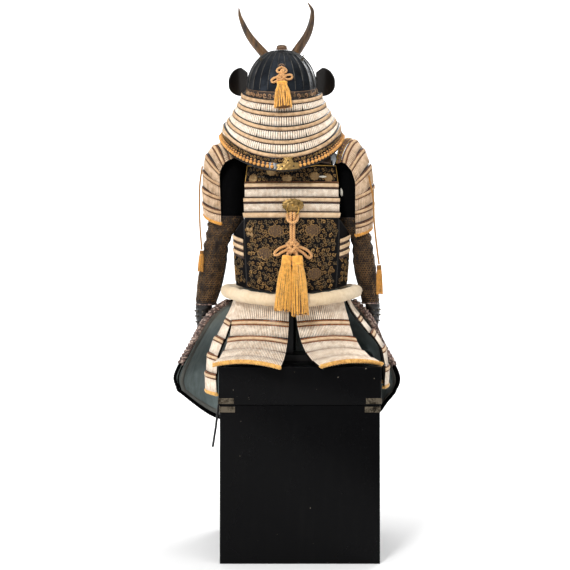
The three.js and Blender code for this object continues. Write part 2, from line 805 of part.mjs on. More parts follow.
function neckGuardEdge(k, degrees) {
  const { width, depth, sideZ, backZ } = NECK_GUARD[k];
  const angle = degrees * DEGREE;
  const back = Math.max(0, Math.cos(angle));
  const front = Math.min(0, Math.cos(angle));
  return new THREE.Vector3(
    width * Math.sin(angle),
    depth * back + 128 * front,
    sideZ + (backZ - sideZ) * back ** 1.5,
  );
}

function neckGuard() {
  const count = NECK_GUARD.length - 1;
  const at = (u, v) => {
    const k = Math.min(Math.max(Math.floor(v * count + 1e-9), 0), count - 1);
    const reach = NECK_GUARD_REACH.head + (NECK_GUARD_REACH.foot - NECK_GUARD_REACH.head) * v;
    const degrees = -reach + 2 * reach * u;
    return neckGuardEdge(k, degrees).lerp(neckGuardEdge(k + 1, degrees), v * count - k);
  };
  const { vs, lift } = lames(count, LAME_STEP, 2);
  return wall({ us: steps(22), vs, at, thickness: LACED - 1, lift });
}

// A turned-back flap: it leaves the first lame's front end and swings out and back.
const FLAP = { reach: 49, height: 86, foot: -11, lean: 22 };

function flapSurface(sign) {
  const start = neckGuardEdge(0, sign * NECK_GUARD_REACH.head);
  return (u, v) => {
    const away = sign > 0 ? u : 1 - u;
    const round = Math.sqrt(Math.max(0, 1 - Math.max(0, (away - 0.35) / 0.65) ** 2.2));
    const half = (FLAP.height / 2) * (0.14 + 0.86 * round) * (0.72 + 0.28 * Math.min(1, away / 0.35));
    const bow = 10 * Math.sin(away * Math.PI);
    return new THREE.Vector3(
      start.x + sign * FLAP.reach * away,
      start.y - 10 - bow + FLAP.lean * away * 0.5,
      FLAP.foot + FLAP.height / 2 + half * (1 - 2 * v),
    );
  };
}

function visorSurface(u, v) {
  const turn = (u - 0.5) * 124;
  const angle = (180 + turn) * DEGREE;
  const reach = 2 + 46 * v * Math.cos(turn * 1.1 * DEGREE);
  return new THREE.Vector3(
    (BOWL.width + 8 + reach * 0.6) * Math.sin(angle),
    (BOWL.depth + 8 + reach) * Math.cos(angle),
    BOWL.ringZ - 12 - 18 * v,
  );
}

// The horns curve up and out of a socket on the bowl's front, the pair rolled to the wearer's left.
const HORN_LEFT = [
  [16, -133, 70],
  [44, -134, 104],
  [92, -128, 164],
  [118, -122, 222],
  [122, -118, 250],
];
const HORN_RIGHT = [
  [-15, -133, 72],
  [-38, -134, 112],
  [-76, -128, 176],
  [-87, -122, 236],
  [-73, -118, 264],
];

function buildHelmet() {
  const helmet = new THREE.Group();
  helmet.position.set(HELMET.x, HELMET.y, HELMET.z);
  helmet.rotation.x = -HELMET.tilt;
  armour.add(helmet);
  add("helmet_bowl", "iron", bowl(), helmet);
  add(
    "helmet_base_band",
    "leather",
    wall({ us: steps(27, 0, 27 / 28), vs: [0, 1], at: baseBandSurface, thickness: PLATE, round: true }),
    helmet,
  );
  const boss = new THREE.LatheGeometry(
    [[9, 0], [19, 0], [20, 3], [15, 6], [15, 11], [12, 13], [9, 13], [9, 0]].map(
      ([radius, height]) => new THREE.Vector2(radius, height),
    ),
    16,
  );
  boss.rotateX(Math.PI / 2).translate(0, 0, BOWL.height + 0.4);
  add("helmet_crown_ring", "gilt", boss, helmet);
  add("neck_guard", "lacing", neckGuard(), helmet);
  for (const [side, sign] of [["left", 1], ["right", -1]])
    add(
      `helmet_flap_${side}`,
      "lacquer",
      wall({ us: steps(8), vs: steps(6), at: flapSurface(sign), thickness: PLATE }),
      helmet,
    );
  add(
    "helmet_visor",
    "lacquer",
    wall({ us: steps(14), vs: steps(2), at: visorSurface, thickness: PLATE }),
    helmet,
  );
  add("helmet_horn_socket", "gilt", boxAt(44, 10, 34, 0, -130, 26), helmet);
  for (const [side, line] of [["left", HORN_LEFT], ["right", HORN_RIGHT]]) {
    const curve = new THREE.CatmullRomCurve3(line.map((p) => new THREE.Vector3(...p)));
    const radius = (t) => 13.5 * (1 - t) ** 0.8 * (0.9 + 0.5 * t) + 1.2;
    add(`horn_${side}`, "horn", taperedBar(curve, radius, 10, 12), helmet);
  }
}

// ---------- knots, cords and tassels ----------

// A round cord through a list of points.
function cord(points, radius, count, sides = 8) {
  const section = new THREE.Shape(
    steps(sides - 1, 0, (sides - 1) / sides).map(
      (turn) =>
        new THREE.Vector2(radius * Math.cos(turn * 2 * Math.PI), radius * Math.sin(turn * 2 * Math.PI)),
    ),
  );
  const extrudePath = new THREE.CatmullRomCurve3(points.map((p) => new THREE.Vector3(...p)));
  return new THREE.ExtrudeGeometry(section, { steps: count, extrudePath, bevelEnabled: false });
}

// A tassel: a woven cap over a skirt of threads that widens to its foot, down a path of points.
function tassel(path, capRadius, footRadius, flatness) {
  const curve = new THREE.CatmullRomCurve3(path.map((p) => new THREE.Vector3(...p)));
  const profile = [
    { s: 0, radius: capRadius * 0.5 },
    { s: 0.04, radius: capRadius * 0.9 },
    { s: 0.14, radius: capRadius },
    { s: 0.3, radius: (capRadius + footRadius) / 2 },
    { s: 0.6, radius: 0.2 * capRadius + 0.8 * footRadius },
    { s: 1, radius: footRadius },
  ];
  const sides = 10;
  const rings = profile.map(({ s, radius }) => {
    const centre = curve.getPointAt(s);
    const down = curve.getTangentAt(s);
    const across = new THREE.Vector3(0, 1, 0).cross(down).normalize();
    const out = down.clone().cross(across);
    return steps(sides - 1, 0, (sides - 1) / sides).map((turn) => {
      const angle = turn * 2 * Math.PI;
      return centre
        .clone()
        .addScaledVector(across, radius * Math.cos(angle))
        .addScaledVector(out, radius * flatness * Math.sin(angle));
    });
  });
  return loft(rings);
}

// A bow's solid: a loop at its head, two strands down to a knot, and a loop to each side. Points are
// in the bow's own plane, x across and z up, and place puts them on the armour.
function bowSolid({ place, radius, head, strands, knot, loops }) {
  const placed = (points) => points.map((point) => place(...point));
  const parts = [head, ...strands, ...loops].map((points) =>
    solidOf(cord(placed(points), radius, 3 * points.length, 6)),
  );
  const ball = new THREE.SphereGeometry(1, 10, 8).scale(knot.width / 2, knot.depth / 2, knot.height / 2);
  parts.push(solidOf(ball.translate(...place(knot.x, knot.z))));
  return geometryFrom(parts.reduce((whole, part) => whole.add(part)));
}

// The big bow on the back, its ring, and the plate that the ring hangs from.
const BACK_BOW = {
  place: (x, z, out = 0) => [x, 131 + out + 0.05 * Math.max(0, 850 - z), z],
  radius: 3.8,
  head: [[15, 880], [6, 896, 6], [9, 911, 16], [19, 923, 10], [25, 918, 1], [30, 900], [23, 880]],
  strands: [[[23.3, 888], [23.3, 862], [22, 836]], [[14.9, 888], [14.9, 862], [16, 836]]],
  knot: { x: 19, z: 830, width: 30, height: 32, depth: 17 },
  loops: [
    [[22, 836], [42, 837], [62, 832], [72, 820], [66, 808], [48, 808], [24, 822]],
    [[16, 836], [-4, 835], [-24, 830], [-32, 816], [-26, 802], [-8, 804], [14, 822]],
  ],
};

// The bow on the helmet's back, which lies on the bowl as it slopes out to the base band.
const HELMET_BOW = {
  place: (x, z) => [x, 128.5 - 0.28 * Math.max(0, z - 1290) - 0.006 * Math.max(0, z - 1290) ** 2, z],
  radius: 2.8,
  head: [[49, 1311], [56, 1320], [51, 1328], [45, 1328], [40, 1320], [47, 1311]],
  strands: [
    [[48, 1313], [55, 1306], [50, 1298], [46, 1290]],
    [[48, 1313], [41, 1306], [46, 1298], [50, 1290]],
  ],
  knot: { x: 48, z: 1290, width: 20, height: 18, depth: 11 },
  loops: [
    [[50, 1293], [62, 1297], [73, 1294], [75, 1284], [66, 1277], [52, 1286]],
    [[46, 1293], [34, 1297], [23, 1292], [22, 1281], [32, 1276], [44, 1286]],
  ],
};

function buildTrimmings() {
  const plate = new THREE.CylinderGeometry(1, 1, 3, 18).scale(29.5, 1, 18);
  add("ring_plate", "gilt", plate.translate(18, 130.2, 941));
  const ring = new THREE.TorusGeometry(16, 1.8, 6, 18).rotateX(Math.PI / 2 + 0.19);
  add("ring", "gilt", ring.translate(18, 137, 930));
  add("back_bow", "silk", bowSolid(BACK_BOW));
  const backTassels = {
    left: tassel([[34.5, 141, 806], [41, 160, 740], [43.5, 178, 658]], 13, 23, 0.56),
    right: tassel([[6.5, 141, 806], [1, 160, 735], [-3, 179, 645]], 13, 21, 0.6),
  };
  for (const [side, geometry] of Object.entries(backTassels))
    add(`back_tassel_${side}`, "silk", geometry);
  add("helmet_bow", "silk", bowSolid(HELMET_BOW));
  const helmetTassel = [[48, 131.5, 1270], [47, 141, 1240], [46, 160, 1203]];
  add("helmet_tassel", "silk", tassel(helmetTassel, 8.5, 22, 0.4));
  const leftLine = [[268, 16, 1052], [275, 13, 1000], [276, 10, 950], [275, 9, 888], [270, 8, 820]];
  const rightLine = [
    [-190, 60, 1024],
    [-203, 50, 960],
    [-206, 42, 900],
    [-214, 30, 830],
    [-221, 22, 780],
  ];
  add("guard_cord_left", "silk", cord(leftLine, 2.3, 20));
  add("guard_cord_right", "silk", cord(rightLine, 2.6, 20));
  const guardTassels = {
    left: tassel([[270, 8, 818], [272, 8, 790], [274, 8, 758]], 5, 8, 1),
    right: tassel([[-221, 22, 778], [-222, 22, 740], [-223, 22, 696]], 6, 9, 1),
  };
  for (const [side, geometry] of Object.entries(guardTassels))
    add(`guard_tassel_${side}`, "silk", geometry);
  const tie = [[222, -40, 404], [229, -38, 360], [230, -34, 324], [241, -30, 277]];
  add("tie_cord", "lacquer", cord(tie, 3.4, 10));
}

buildStand();
add("chest_body", "lacquer", chestBody());
add("chest_lid", "lacquer", chestLid());
buildCuirass();
buildStraps();
add("sash", "sash", sashRing());
for (const spec of TASSETS) add(spec.name, "lacing", tasset(spec));
buildShoulderGuards();
buildSleeves();
buildThighGuards();
buildHelmet();
buildTrimmings();

export default armour;
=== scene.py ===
"""A laced samurai armour on its lacquered chest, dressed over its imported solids.

All sizes are in millimetres until a mesh is made, and metres after. The armour faces -Y with +Z up,
so +X is the wearer's left. Angles round the body run in degrees from the middle of the back towards
the wearer's left.
"""
import logging
import math
from dataclasses import dataclass
from enum import Enum
from typing import Callable, Iterable, Optional, Sequence

import bmesh
import bpy
import numpy as np
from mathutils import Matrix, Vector


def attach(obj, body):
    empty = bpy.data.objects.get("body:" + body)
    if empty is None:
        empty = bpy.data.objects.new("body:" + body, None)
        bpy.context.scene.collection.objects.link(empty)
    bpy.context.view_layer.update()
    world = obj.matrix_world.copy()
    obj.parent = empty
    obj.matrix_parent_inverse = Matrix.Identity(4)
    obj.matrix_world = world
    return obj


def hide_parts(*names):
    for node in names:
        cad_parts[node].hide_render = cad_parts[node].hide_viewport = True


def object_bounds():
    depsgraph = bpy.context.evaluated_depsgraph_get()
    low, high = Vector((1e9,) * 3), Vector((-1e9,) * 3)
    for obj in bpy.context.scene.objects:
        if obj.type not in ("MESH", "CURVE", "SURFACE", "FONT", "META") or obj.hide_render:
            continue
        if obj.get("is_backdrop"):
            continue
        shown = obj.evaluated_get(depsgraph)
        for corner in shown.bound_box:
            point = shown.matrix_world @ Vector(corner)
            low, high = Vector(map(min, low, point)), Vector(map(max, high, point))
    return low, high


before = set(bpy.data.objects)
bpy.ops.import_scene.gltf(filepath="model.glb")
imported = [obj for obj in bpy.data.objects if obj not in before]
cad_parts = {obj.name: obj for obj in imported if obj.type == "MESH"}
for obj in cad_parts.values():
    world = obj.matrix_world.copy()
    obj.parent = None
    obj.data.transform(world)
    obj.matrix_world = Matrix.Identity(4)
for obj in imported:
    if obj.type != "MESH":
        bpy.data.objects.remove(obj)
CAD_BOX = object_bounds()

LOG = logging.getLogger("armour")
MM = 0.001
Array = np.ndarray
Surface = Callable[[Array, Array], Array]


# ---------------------------------------------------------------- sizes along a piece


@dataclass(frozen=True)
class Table:
    """Sizes at places along a piece, joined by a smooth curve.

    Args:
        keys: The place of each row, rising.
        rows: The sizes at each place, in columns.
    """

    keys: Sequence[float]
    rows: Sequence[Sequence[float]]

    def at(self, places: Array) -> Array:
        """Read every column at each place.

        Args:
            places: An array of places of any shape.

        Returns:
            One array of that shape for each column.
        """
        key, row = np.asarray(self.keys, float), np.asarray(self.rows, float)
        places = np.asarray(places, float)
        last = len(key) - 1
        i = np.clip(np.searchsorted(key, places, side="right") - 1, 0, last - 1)
        a, b, c, d = (np.clip(i + step, 0, last) for step in (-1, 0, 1, 2))
        span = (key[c] - key[b])[..., None]

        def slope(low: Array, high: Array) -> Array:
            """Give the columns' rise over one span between two rows."""
            return (row[high] - row[low]) / (key[high] - key[low])[..., None] * span

        t = ((places - key[b]) / (key[c] - key[b]))[..., None]
        value = (
            (2 * t**3 - 3 * t**2 + 1) * row[b]
            + (t**3 - 2 * t**2 + t) * slope(a, c)
            + (3 * t**2 - 2 * t**3) * row[c]
            + (t**3 - t**2) * slope(b, d)
        )
        return np.moveaxis(value, -1, 0)


def rad(degrees: float | Array) -> float | Array:
    """Turn degrees into radians."""
    return np.asarray(degrees) * (math.pi / 180)


def unit(vectors: Array) -> Array:
    """Scale vectors in the last axis to length one."""
    return vectors / np.maximum(np.linalg.norm(vectors, axis=-1, keepdims=True), 1e-12)


def normal_of(surface: Surface, u: Array, v: Array) -> Array:
    """Give a surface's outward normal.

    Args:
        surface: The surface, with u running across it and v down it, seen from outside.
        u: Places across.
        v: Places down.

    Returns:
        Unit normals in the last axis.
    """
    e = 1e-3
    across = surface(u + e, v) - surface(u - e, v)
    down = surface(u, v + e) - surface(u, v - e)
    return unit(np.cross(across, down))


def ripple(x: Array, y: Array, seed: int, size: float, octaves: int = 3) -> Array:
    """Make a soft, repeatable unevenness from summed waves.

    Args:
        x: First coordinate, in the same unit as size.
        y: Second coordinate.
        seed: Which unevenness.
        size: The length of the longest wave.
        octaves: How many ever finer sets of waves are summed.

    Returns:
        Heights of about -1 to 1.
    """
    rng = np.random.default_rng(seed)
    total = np.zeros(np.broadcast(x, y).shape)
    for octave in range(octaves):
        for _ in range(4):
            angle, phase = rng.uniform(0, 2 * math.pi, 2)
            wave = 2 * math.pi / size * 2**octave * rng.uniform(0.7, 1.4)
            total += np.sin((x * math.cos(angle) + y * math.sin(angle)) * wave + phase) / 2**octave
    return total / 4


# ---------------------------------------------------------------- meshes


def new_object(name: str, data: bpy.types.ID,
               material: Optional[bpy.types.Material] = None) -> bpy.types.Object:
    """Put data in the scene as an object at the origin, in one material."""
    thing = bpy.data.objects.new(name, data)
    bpy.context.scene.collection.objects.link(thing)
    if material is not None:
        data.materials.clear()
        data.materials.append(material)
    return thing


def mesh_from(
    name: str,
    points: Array,
    faces: Sequence[Sequence[int]] | Array,
    material: bpy.types.Material,
    uv: Optional[Array] = None,
    crease: float = 32.0,
) -> bpy.types.Object:
    """Make a mesh object from millimetre points.

    Args:
        name: The object's name.
        points: Points in millimetres.
        faces: Corner numbers of each face, pointing out.
        material: What it is made of.
        uv: A place for each face corner, in metres, or None.
        crease: Edges sharper than this many degrees stay hard.

    Returns:
        The new object.
    """
    mesh = bpy.data.meshes.new(name)
    faces = faces.tolist() if isinstance(faces, np.ndarray) else faces
    mesh.from_pydata((np.asarray(points) * MM).tolist(), [], faces)
    if uv is not None:
        layer = mesh.uv_layers.new(name="cloth")
        layer.data.foreach_set("uv", np.asarray(uv, np.float32).ravel())
    mesh.polygons.foreach_set("use_smooth", np.ones(len(mesh.polygons), bool))
    mesh.set_sharp_from_angle(angle=math.radians(crease))
    mesh.update()
    return new_object(name, mesh, material)


def edge_loop(inset: float, count: int) -> tuple[Array, Array]:
    """Run round the edge of a plate, and give the places across and down it."""
    t, last = np.linspace(inset, 1 - inset, count), np.full(count, 1 - inset)
    return np.concatenate([t, last, t[::-1], 1 - last]), np.concatenate([1 - last, t, last, t[::-1]])


@dataclass
class Wall:
    """A plate or a cloth: an outer surface, an inner one below it, and closed rims.

    Args:
        surface: Where its face lies.
        us: Places of its columns.
        vs: Places of its rows.
        out: How far the outside stands above the surface, a number or a rule of u and v.
        thickness: How far the inside lies below the surface, a number or a rule.
        closed: Whether the last column joins the first.
    """

    surface: Surface
    us: Array
    vs: Array
    out: float | Callable[[Array, Array], Array] = 0.0
    thickness: float | Callable[[Array, Array], Array] = 3.0
    closed: bool = False

    def grid(self) -> tuple[Array, Array, Array, Array]:
        """Give the grid of places and the points and normals of the surface on it."""
        u, v = np.meshgrid(np.asarray(self.us, float), np.asarray(self.vs, float))
        return u, v, self.surface(u, v), normal_of(self.surface, u, v)

    def build(self, name: str, material: bpy.types.Material, crease: float = 32.0) -> bpy.types.Object:
        """Make the wall's mesh.

        Args:
            name: The object's name.
            material: What it is made of.
            crease: Edges sharper than this many degrees stay hard.

        Returns:
            The object, with a map of its face in metres along u and down v.
        """
        u, v, face, normal = self.grid()
        rows, columns = u.shape
        rule = lambda size: size(u, v) if callable(size) else np.full(u.shape, float(size))
        shells = [face + normal * rule(self.out)[..., None], face - normal * rule(self.thickness)[..., None]]
        points = np.concatenate([shell.reshape(-1, 3) for shell in shells])
        spans = columns if self.closed else columns - 1
        i, j = np.meshgrid(np.arange(spans), np.arange(rows - 1))
        i, j = i.ravel(), j.ravel()
        corner = lambda side, i, j: (side * rows + j) * columns + i % columns
        quads, places = [], []

        def add(*corners: tuple[int | Array, Array, Array]) -> None:
            """Add one ring of quads, with the place of each corner on the map."""
            quads.append(np.stack([np.broadcast_to(corner(*c), c[1].shape) for c in corners], axis=-1))
            places.append(np.stack([np.stack([c[1], c[2]], axis=-1) for c in corners], axis=1))

        add((0, i, j), (0, i + 1, j), (0, i + 1, j + 1), (0, i, j + 1))
        add((1, i, j), (1, i, j + 1), (1, i + 1, j + 1), (1, i + 1, j))
        i, top = np.arange(spans), np.zeros(spans, int)
        foot = top + rows - 1
        add((0, i + 1, top), (0, i, top), (1, i, top), (1, i + 1, top))
        add((0, i, foot), (0, i + 1, foot), (1, i + 1, foot), (1, i, foot))
        if not self.closed:
            j, left = np.arange(rows - 1), np.zeros(rows - 1, int)
            right = left + columns - 1
            add((0, left, j), (0, left, j + 1), (1, left, j + 1), (1, left, j))
            add((0, right, j + 1), (0, right, j), (1, right, j), (1, right, j + 1))
        along = np.linalg.norm(np.diff(face, axis=1), axis=-1).mean(axis=0)
        along = np.append(along, along.mean()) if self.closed else along
        down = np.linalg.norm(np.diff(face, axis=0), axis=-1).mean(axis=1)
        x = np.concatenate([[0], np.cumsum(along)]) * MM
        y = -np.concatenate([[0], np.cumsum(down)]) * MM
        place = np.concatenate(places)
        uv = np.stack([x[place[..., 0]], y[place[..., 1]]], axis=-1)
        return mesh_from(name, points, np.concatenate(quads), material, uv, crease)


def box_from(
    name: str, low: Sequence[float], high: Sequence[float], bevel: float, material: bpy.types.Material
) -> bpy.types.Object:
    """Make a box with rounded edges between two corners, in millimetres."""
    low, high = np.asarray(low, float), np.asarray(high, float)
    shape = bmesh.new()
    bmesh.ops.create_cube(shape, size=1.0)
    bmesh.ops.scale(shape, vec=tuple((high - low) * MM), verts=shape.verts)
    bmesh.ops.translate(shape, vec=tuple((high + low) / 2 * MM), verts=shape.verts)
    bmesh.ops.bevel(shape, geom=shape.edges[:], offset=bevel * MM, segments=3, affect="EDGES", profile=0.5)
    mesh = bpy.data.meshes.new(name)
    shape.to_mesh(mesh)
    shape.free()
    return new_object(name, mesh, material)


# ---------------------------------------------------------------- geometry nodes


class Bead(Enum):
    """The small shapes that are set in rows and fields."""

    PILLOW = "pillow"
    LEAF = "leaf"
    BLOCK = "block"
    DOME = "dome"
    RING = "ring"


class Tree:
    """A short way to write a node tree.

    Args:
        tree: The tree that nodes are added to.
    """

    def __init__(self, tree: bpy.types.NodeTree) -> None:
        self.tree = tree

    def node(self, kind: str, settings: Optional[dict] = None, **inputs: object) -> bpy.types.Node:
        """Add a node and feed its inputs.

        Args:
            kind: The node's type name.
            settings: Its own settings, by property name.
            inputs: Sockets or values by input name, with spaces written as underscores. A name of
                the form i0 is the input of that number.

        Returns:
            The node.
        """
        made = self.tree.nodes.new(kind)
        for key, value in (settings or {}).items():
            setattr(made, key, value)
        for key, value in inputs.items():
            if key[0] == "i" and key[1:].isdigit():
                socket = made.inputs[int(key[1:])]
            else:
                socket = next(s for s in made.inputs if s.name == key.replace("_", " ") and s.enabled)
            if isinstance(value, bpy.types.NodeSocket):
                self.tree.links.new(value, socket)
            else:
                socket.default_value = value
        return made

    def math(self, how: str, *values: object) -> bpy.types.NodeSocket:
        """Add a math node and return its result."""
        made = self.tree.nodes.new("ShaderNodeMath")
        made.operation = how
        for socket, value in zip(made.inputs, values):
            if isinstance(value, bpy.types.NodeSocket):
                self.tree.links.new(value, socket)
            else:
                socket.default_value = value
        return made.outputs[0]

    def vector(self, how: str, *values: object, out: int = 0) -> bpy.types.NodeSocket:
        """Add a vector math node and return its result."""
        made = self.tree.nodes.new("ShaderNodeVectorMath")
        made.operation = how
        for socket, value in zip(made.inputs, values):
            if isinstance(value, bpy.types.NodeSocket):
                self.tree.links.new(value, socket)
            else:
                socket.default_value = value
        if how == "SCALE":
            socket, value = made.inputs[3], values[1]
            if isinstance(value, bpy.types.NodeSocket):
                self.tree.links.new(value, socket)
            else:
                socket.default_value = value
        return made.outputs[out]

    def named(self, name: str, kind: str = "FLOAT") -> bpy.types.NodeSocket:
        """Read a named attribute."""
        return self.node("GeometryNodeInputNamedAttribute", {"data_type": kind}, Name=name).outputs[0]


def open_tree(name: str, inputs: dict[str, tuple[str, object]]
              ) -> tuple[Tree, bpy.types.Node, bpy.types.Node]:
    """Start a Geometry Nodes tree with named inputs.

    Args:
        name: The tree's name.
        inputs: Each input's socket type and first value.

    Returns:
        The tree, its input node and its output node.
    """
    group = bpy.data.node_groups.new(name, "GeometryNodeTree")
    group.interface.new_socket("Geometry", in_out="INPUT", socket_type="NodeSocketGeometry")
    group.interface.new_socket("Geometry", in_out="OUTPUT", socket_type="NodeSocketGeometry")
    for label, (kind, value) in inputs.items():
        socket = group.interface.new_socket(label, in_out="INPUT", socket_type=kind)
        if value is not None:
            socket.default_value = value
    return Tree(group), group.nodes.new("NodeGroupInput"), group.nodes.new("NodeGroupOutput")


def close_tree(tree: Tree, geometry: bpy.types.NodeSocket,
               given: bpy.types.Node, out: bpy.types.Node) -> None:
    """End a tree in Realize Instances and Set Material."""
    real = tree.node("GeometryNodeRealizeInstances", Geometry=geometry)
    smooth = tree.node("GeometryNodeSetShadeSmooth", Geometry=real.outputs[0])
    dressed = tree.node(
    "GeometryNodeSetMaterial",
    Geometry=smooth.outputs[0],
     Material=given.outputs["Material"])
    tree.tree.links.new(dressed.outputs[0], out.inputs[0])


def bead_tree(bead: Bead) -> bpy.types.NodeTree:
    """Build the tree that puts one small shape on every point.

    The points carry side, out and size vectors. The shape's x runs along side and its z
    along out, and it is one unit each way before size scales it.

    Args:
        bead: Which shape.

    Returns:
        The tree, whose inputs are the material, how round the shape is, and how much its ends draw in.
    """
    number = "NodeSocketFloat"
    tree, given, out = open_tree(
        f"set_{bead.value}",
        {"Material": ("NodeSocketMaterial", None), "Round": (number, 0.5), "Draw In": (number, 0.2)},
    )
    if bead is Bead.DOME:
        shape = tree.node("GeometryNodeMeshUVSphere", Segments=8, Rings=4, Radius=0.5).outputs[0]
    elif bead is Bead.BLOCK:
        shape = tree.node("GeometryNodeMeshCube", Size=(1, 1, 1)).outputs[0]
    elif bead is Bead.RING:
        loop = tree.node("GeometryNodeCurvePrimitiveCircle", Resolution=7, Radius=0.4)
        wire = tree.node("GeometryNodeCurvePrimitiveCircle", Resolution=3, Radius=0.1)
        shape = tree.node(
    "GeometryNodeCurveToMesh",
    Curve=loop.outputs[0],
     Profile_Curve=wire.outputs[0]).outputs[0]
    else:
        counts = {"Vertices_X": 3, "Vertices_Y": 3}
        cube = tree.node("GeometryNodeMeshCube", Size=(1, 1, 1), **counts).outputs[0]
        place = tree.node("GeometryNodeInputPosition").outputs[0]
        split = tree.node("ShaderNodeSeparateXYZ", Vector=place).outputs
        side = tree.math("MULTIPLY", split[0], 2.0)
        end = tree.math("MULTIPLY", split[1], 2.0)
        low = tree.math("MULTIPLY", tree.math("MULTIPLY", side, side), given.outputs["Round"])
        far = tree.math("POWER", tree.math("ABSOLUTE", end), 2.0 if bead is Bead.LEAF else 4.0)
        drawn = tree.math("MULTIPLY", far, given.outputs["Draw In"])
        height = tree.math("SUBTRACT", tree.math("SUBTRACT", 1.0, low), tree.math("MULTIPLY", drawn, 0.8))
        width = tree.math("SUBTRACT", 1.0, drawn)
        moved = tree.node(
            "ShaderNodeCombineXYZ",
            X=tree.math("MULTIPLY", split[0], width),
            Y=split[1],
            Z=tree.math("MULTIPLY", split[2], tree.math("MAXIMUM", height, 0.05)),
        ).outputs[0]
        shape = tree.node("GeometryNodeSetPosition", Geometry=cube, Position=moved).outputs[0]
    turn = tree.node(
        "FunctionNodeAxesToRotation",
        {"primary_axis": "Z", "secondary_axis": "X"},
        Primary_Axis=tree.named("out", "FLOAT_VECTOR"),
        Secondary_Axis=tree.named("side", "FLOAT_VECTOR"),
    ).outputs[0]
    placed = tree.node(
        "GeometryNodeInstanceOnPoints",
        Points=given.outputs["Geometry"],
        Instance=shape,
        Rotation=turn,
        Scale=tree.named("size", "FLOAT_VECTOR"),
    ).outputs[0]
    close_tree(tree, placed, given, out)
    return tree.tree


def tube_tree() -> bpy.types.NodeTree:
    """Build the tree that sweeps a round section along curves, at each point's own radius.

    Returns:
        The tree, whose inputs are the material and the number of sides.
    """
    tree, given, out = open_tree(
        "sweep_tube", {"Material": ("NodeSocketMaterial", None), "Sides": ("NodeSocketInt", 8)}
    )
    section = tree.node("GeometryNodeCurvePrimitiveCircle", Resolution=given.outputs["Sides"], Radius=1.0)
    length = tree.node("GeometryNodeSplineParameter").outputs[1]
    curve = tree.node(
        "GeometryNodeStoreNamedAttribute", Geometry=given.outputs["Geometry"], Name="along", Value=length
    ).outputs[0]
    turn = tree.node("GeometryNodeSplineParameter").outputs[0]
    ring = tree.node(
        "GeometryNodeStoreNamedAttribute", Geometry=section.outputs[0], Name="round", Value=turn
    ).outputs[0]
    swept = tree.node(
        "GeometryNodeCurveToMesh",
        Curve=curve,
        Profile_Curve=ring,
        Scale=tree.node("GeometryNodeInputRadius").outputs[0],
        Fill_Caps=True,
    ).outputs[0]
    close_tree(tree, swept, given, out)
    return tree.tree


def rope_tree() -> bpy.types.NodeTree:
    """Build the tree that lays twisted strands along curves.

    Returns:
        The tree, whose inputs are the material, the strands' count, radius and lay, and their reach
        from the rope's middle.
    """
    number = "NodeSocketFloat"
    tree, given, out = open_tree(
        "lay_rope",
        {
            "Material": ("NodeSocketMaterial", None),
            "Strands": ("NodeSocketInt", 2),
            "Strand Radius": (number, 0.003),
            "Reach": (number, 0.003),
            "Lay": (number, 0.024),
            "Step": (number, 0.002),
            "Sides": ("NodeSocketInt", 8),
        },
    )
    curve = tree.node(
        "GeometryNodeResampleCurve",
        {"mode": "LENGTH"},
        Curve=given.outputs["Geometry"],
        Length=given.outputs["Step"],
    ).outputs[0]
    copies = tree.node(
        "GeometryNodeDuplicateElements", {"domain": "SPLINE"}, Geometry=curve, Amount=given.outputs["Strands"]
    )
    phase = tree.math("DIVIDE", copies.outputs[1], given.outputs["Strands"])
    run = tree.math("DIVIDE", tree.node("GeometryNodeSplineParameter").outputs[1], given.outputs["Lay"])
    angle = tree.math("MULTIPLY", tree.math("ADD", run, phase), 2 * math.pi)
    normal = tree.node("GeometryNodeInputNormal").outputs[0]
    cross = tree.vector("CROSS_PRODUCT", tree.node("GeometryNodeInputTangent").outputs[0], normal)
    reach = given.outputs["Reach"]
    offset = tree.vector(
        "ADD",
        tree.vector("SCALE", normal, tree.math("MULTIPLY", tree.math("COSINE", angle), reach)),
        tree.vector("SCALE", cross, tree.math("MULTIPLY", tree.math("SINE", angle), reach)),
    )
    strands = tree.node("GeometryNodeSetPosition", Geometry=copies.outputs[0], Offset=offset).outputs[0]
    section = tree.node(
        "GeometryNodeCurvePrimitiveCircle", Resolution=given.outputs["Sides"], Radius=given.outputs["Strand Radius"]
    )
    swept = tree.node(
        "GeometryNodeCurveToMesh", Curve=strands, Profile_Curve=section.outputs[0], Scale=1.0, Fill_Caps=True
    ).outputs[0]
    close_tree(tree, swept, given, out)
    return tree.tree


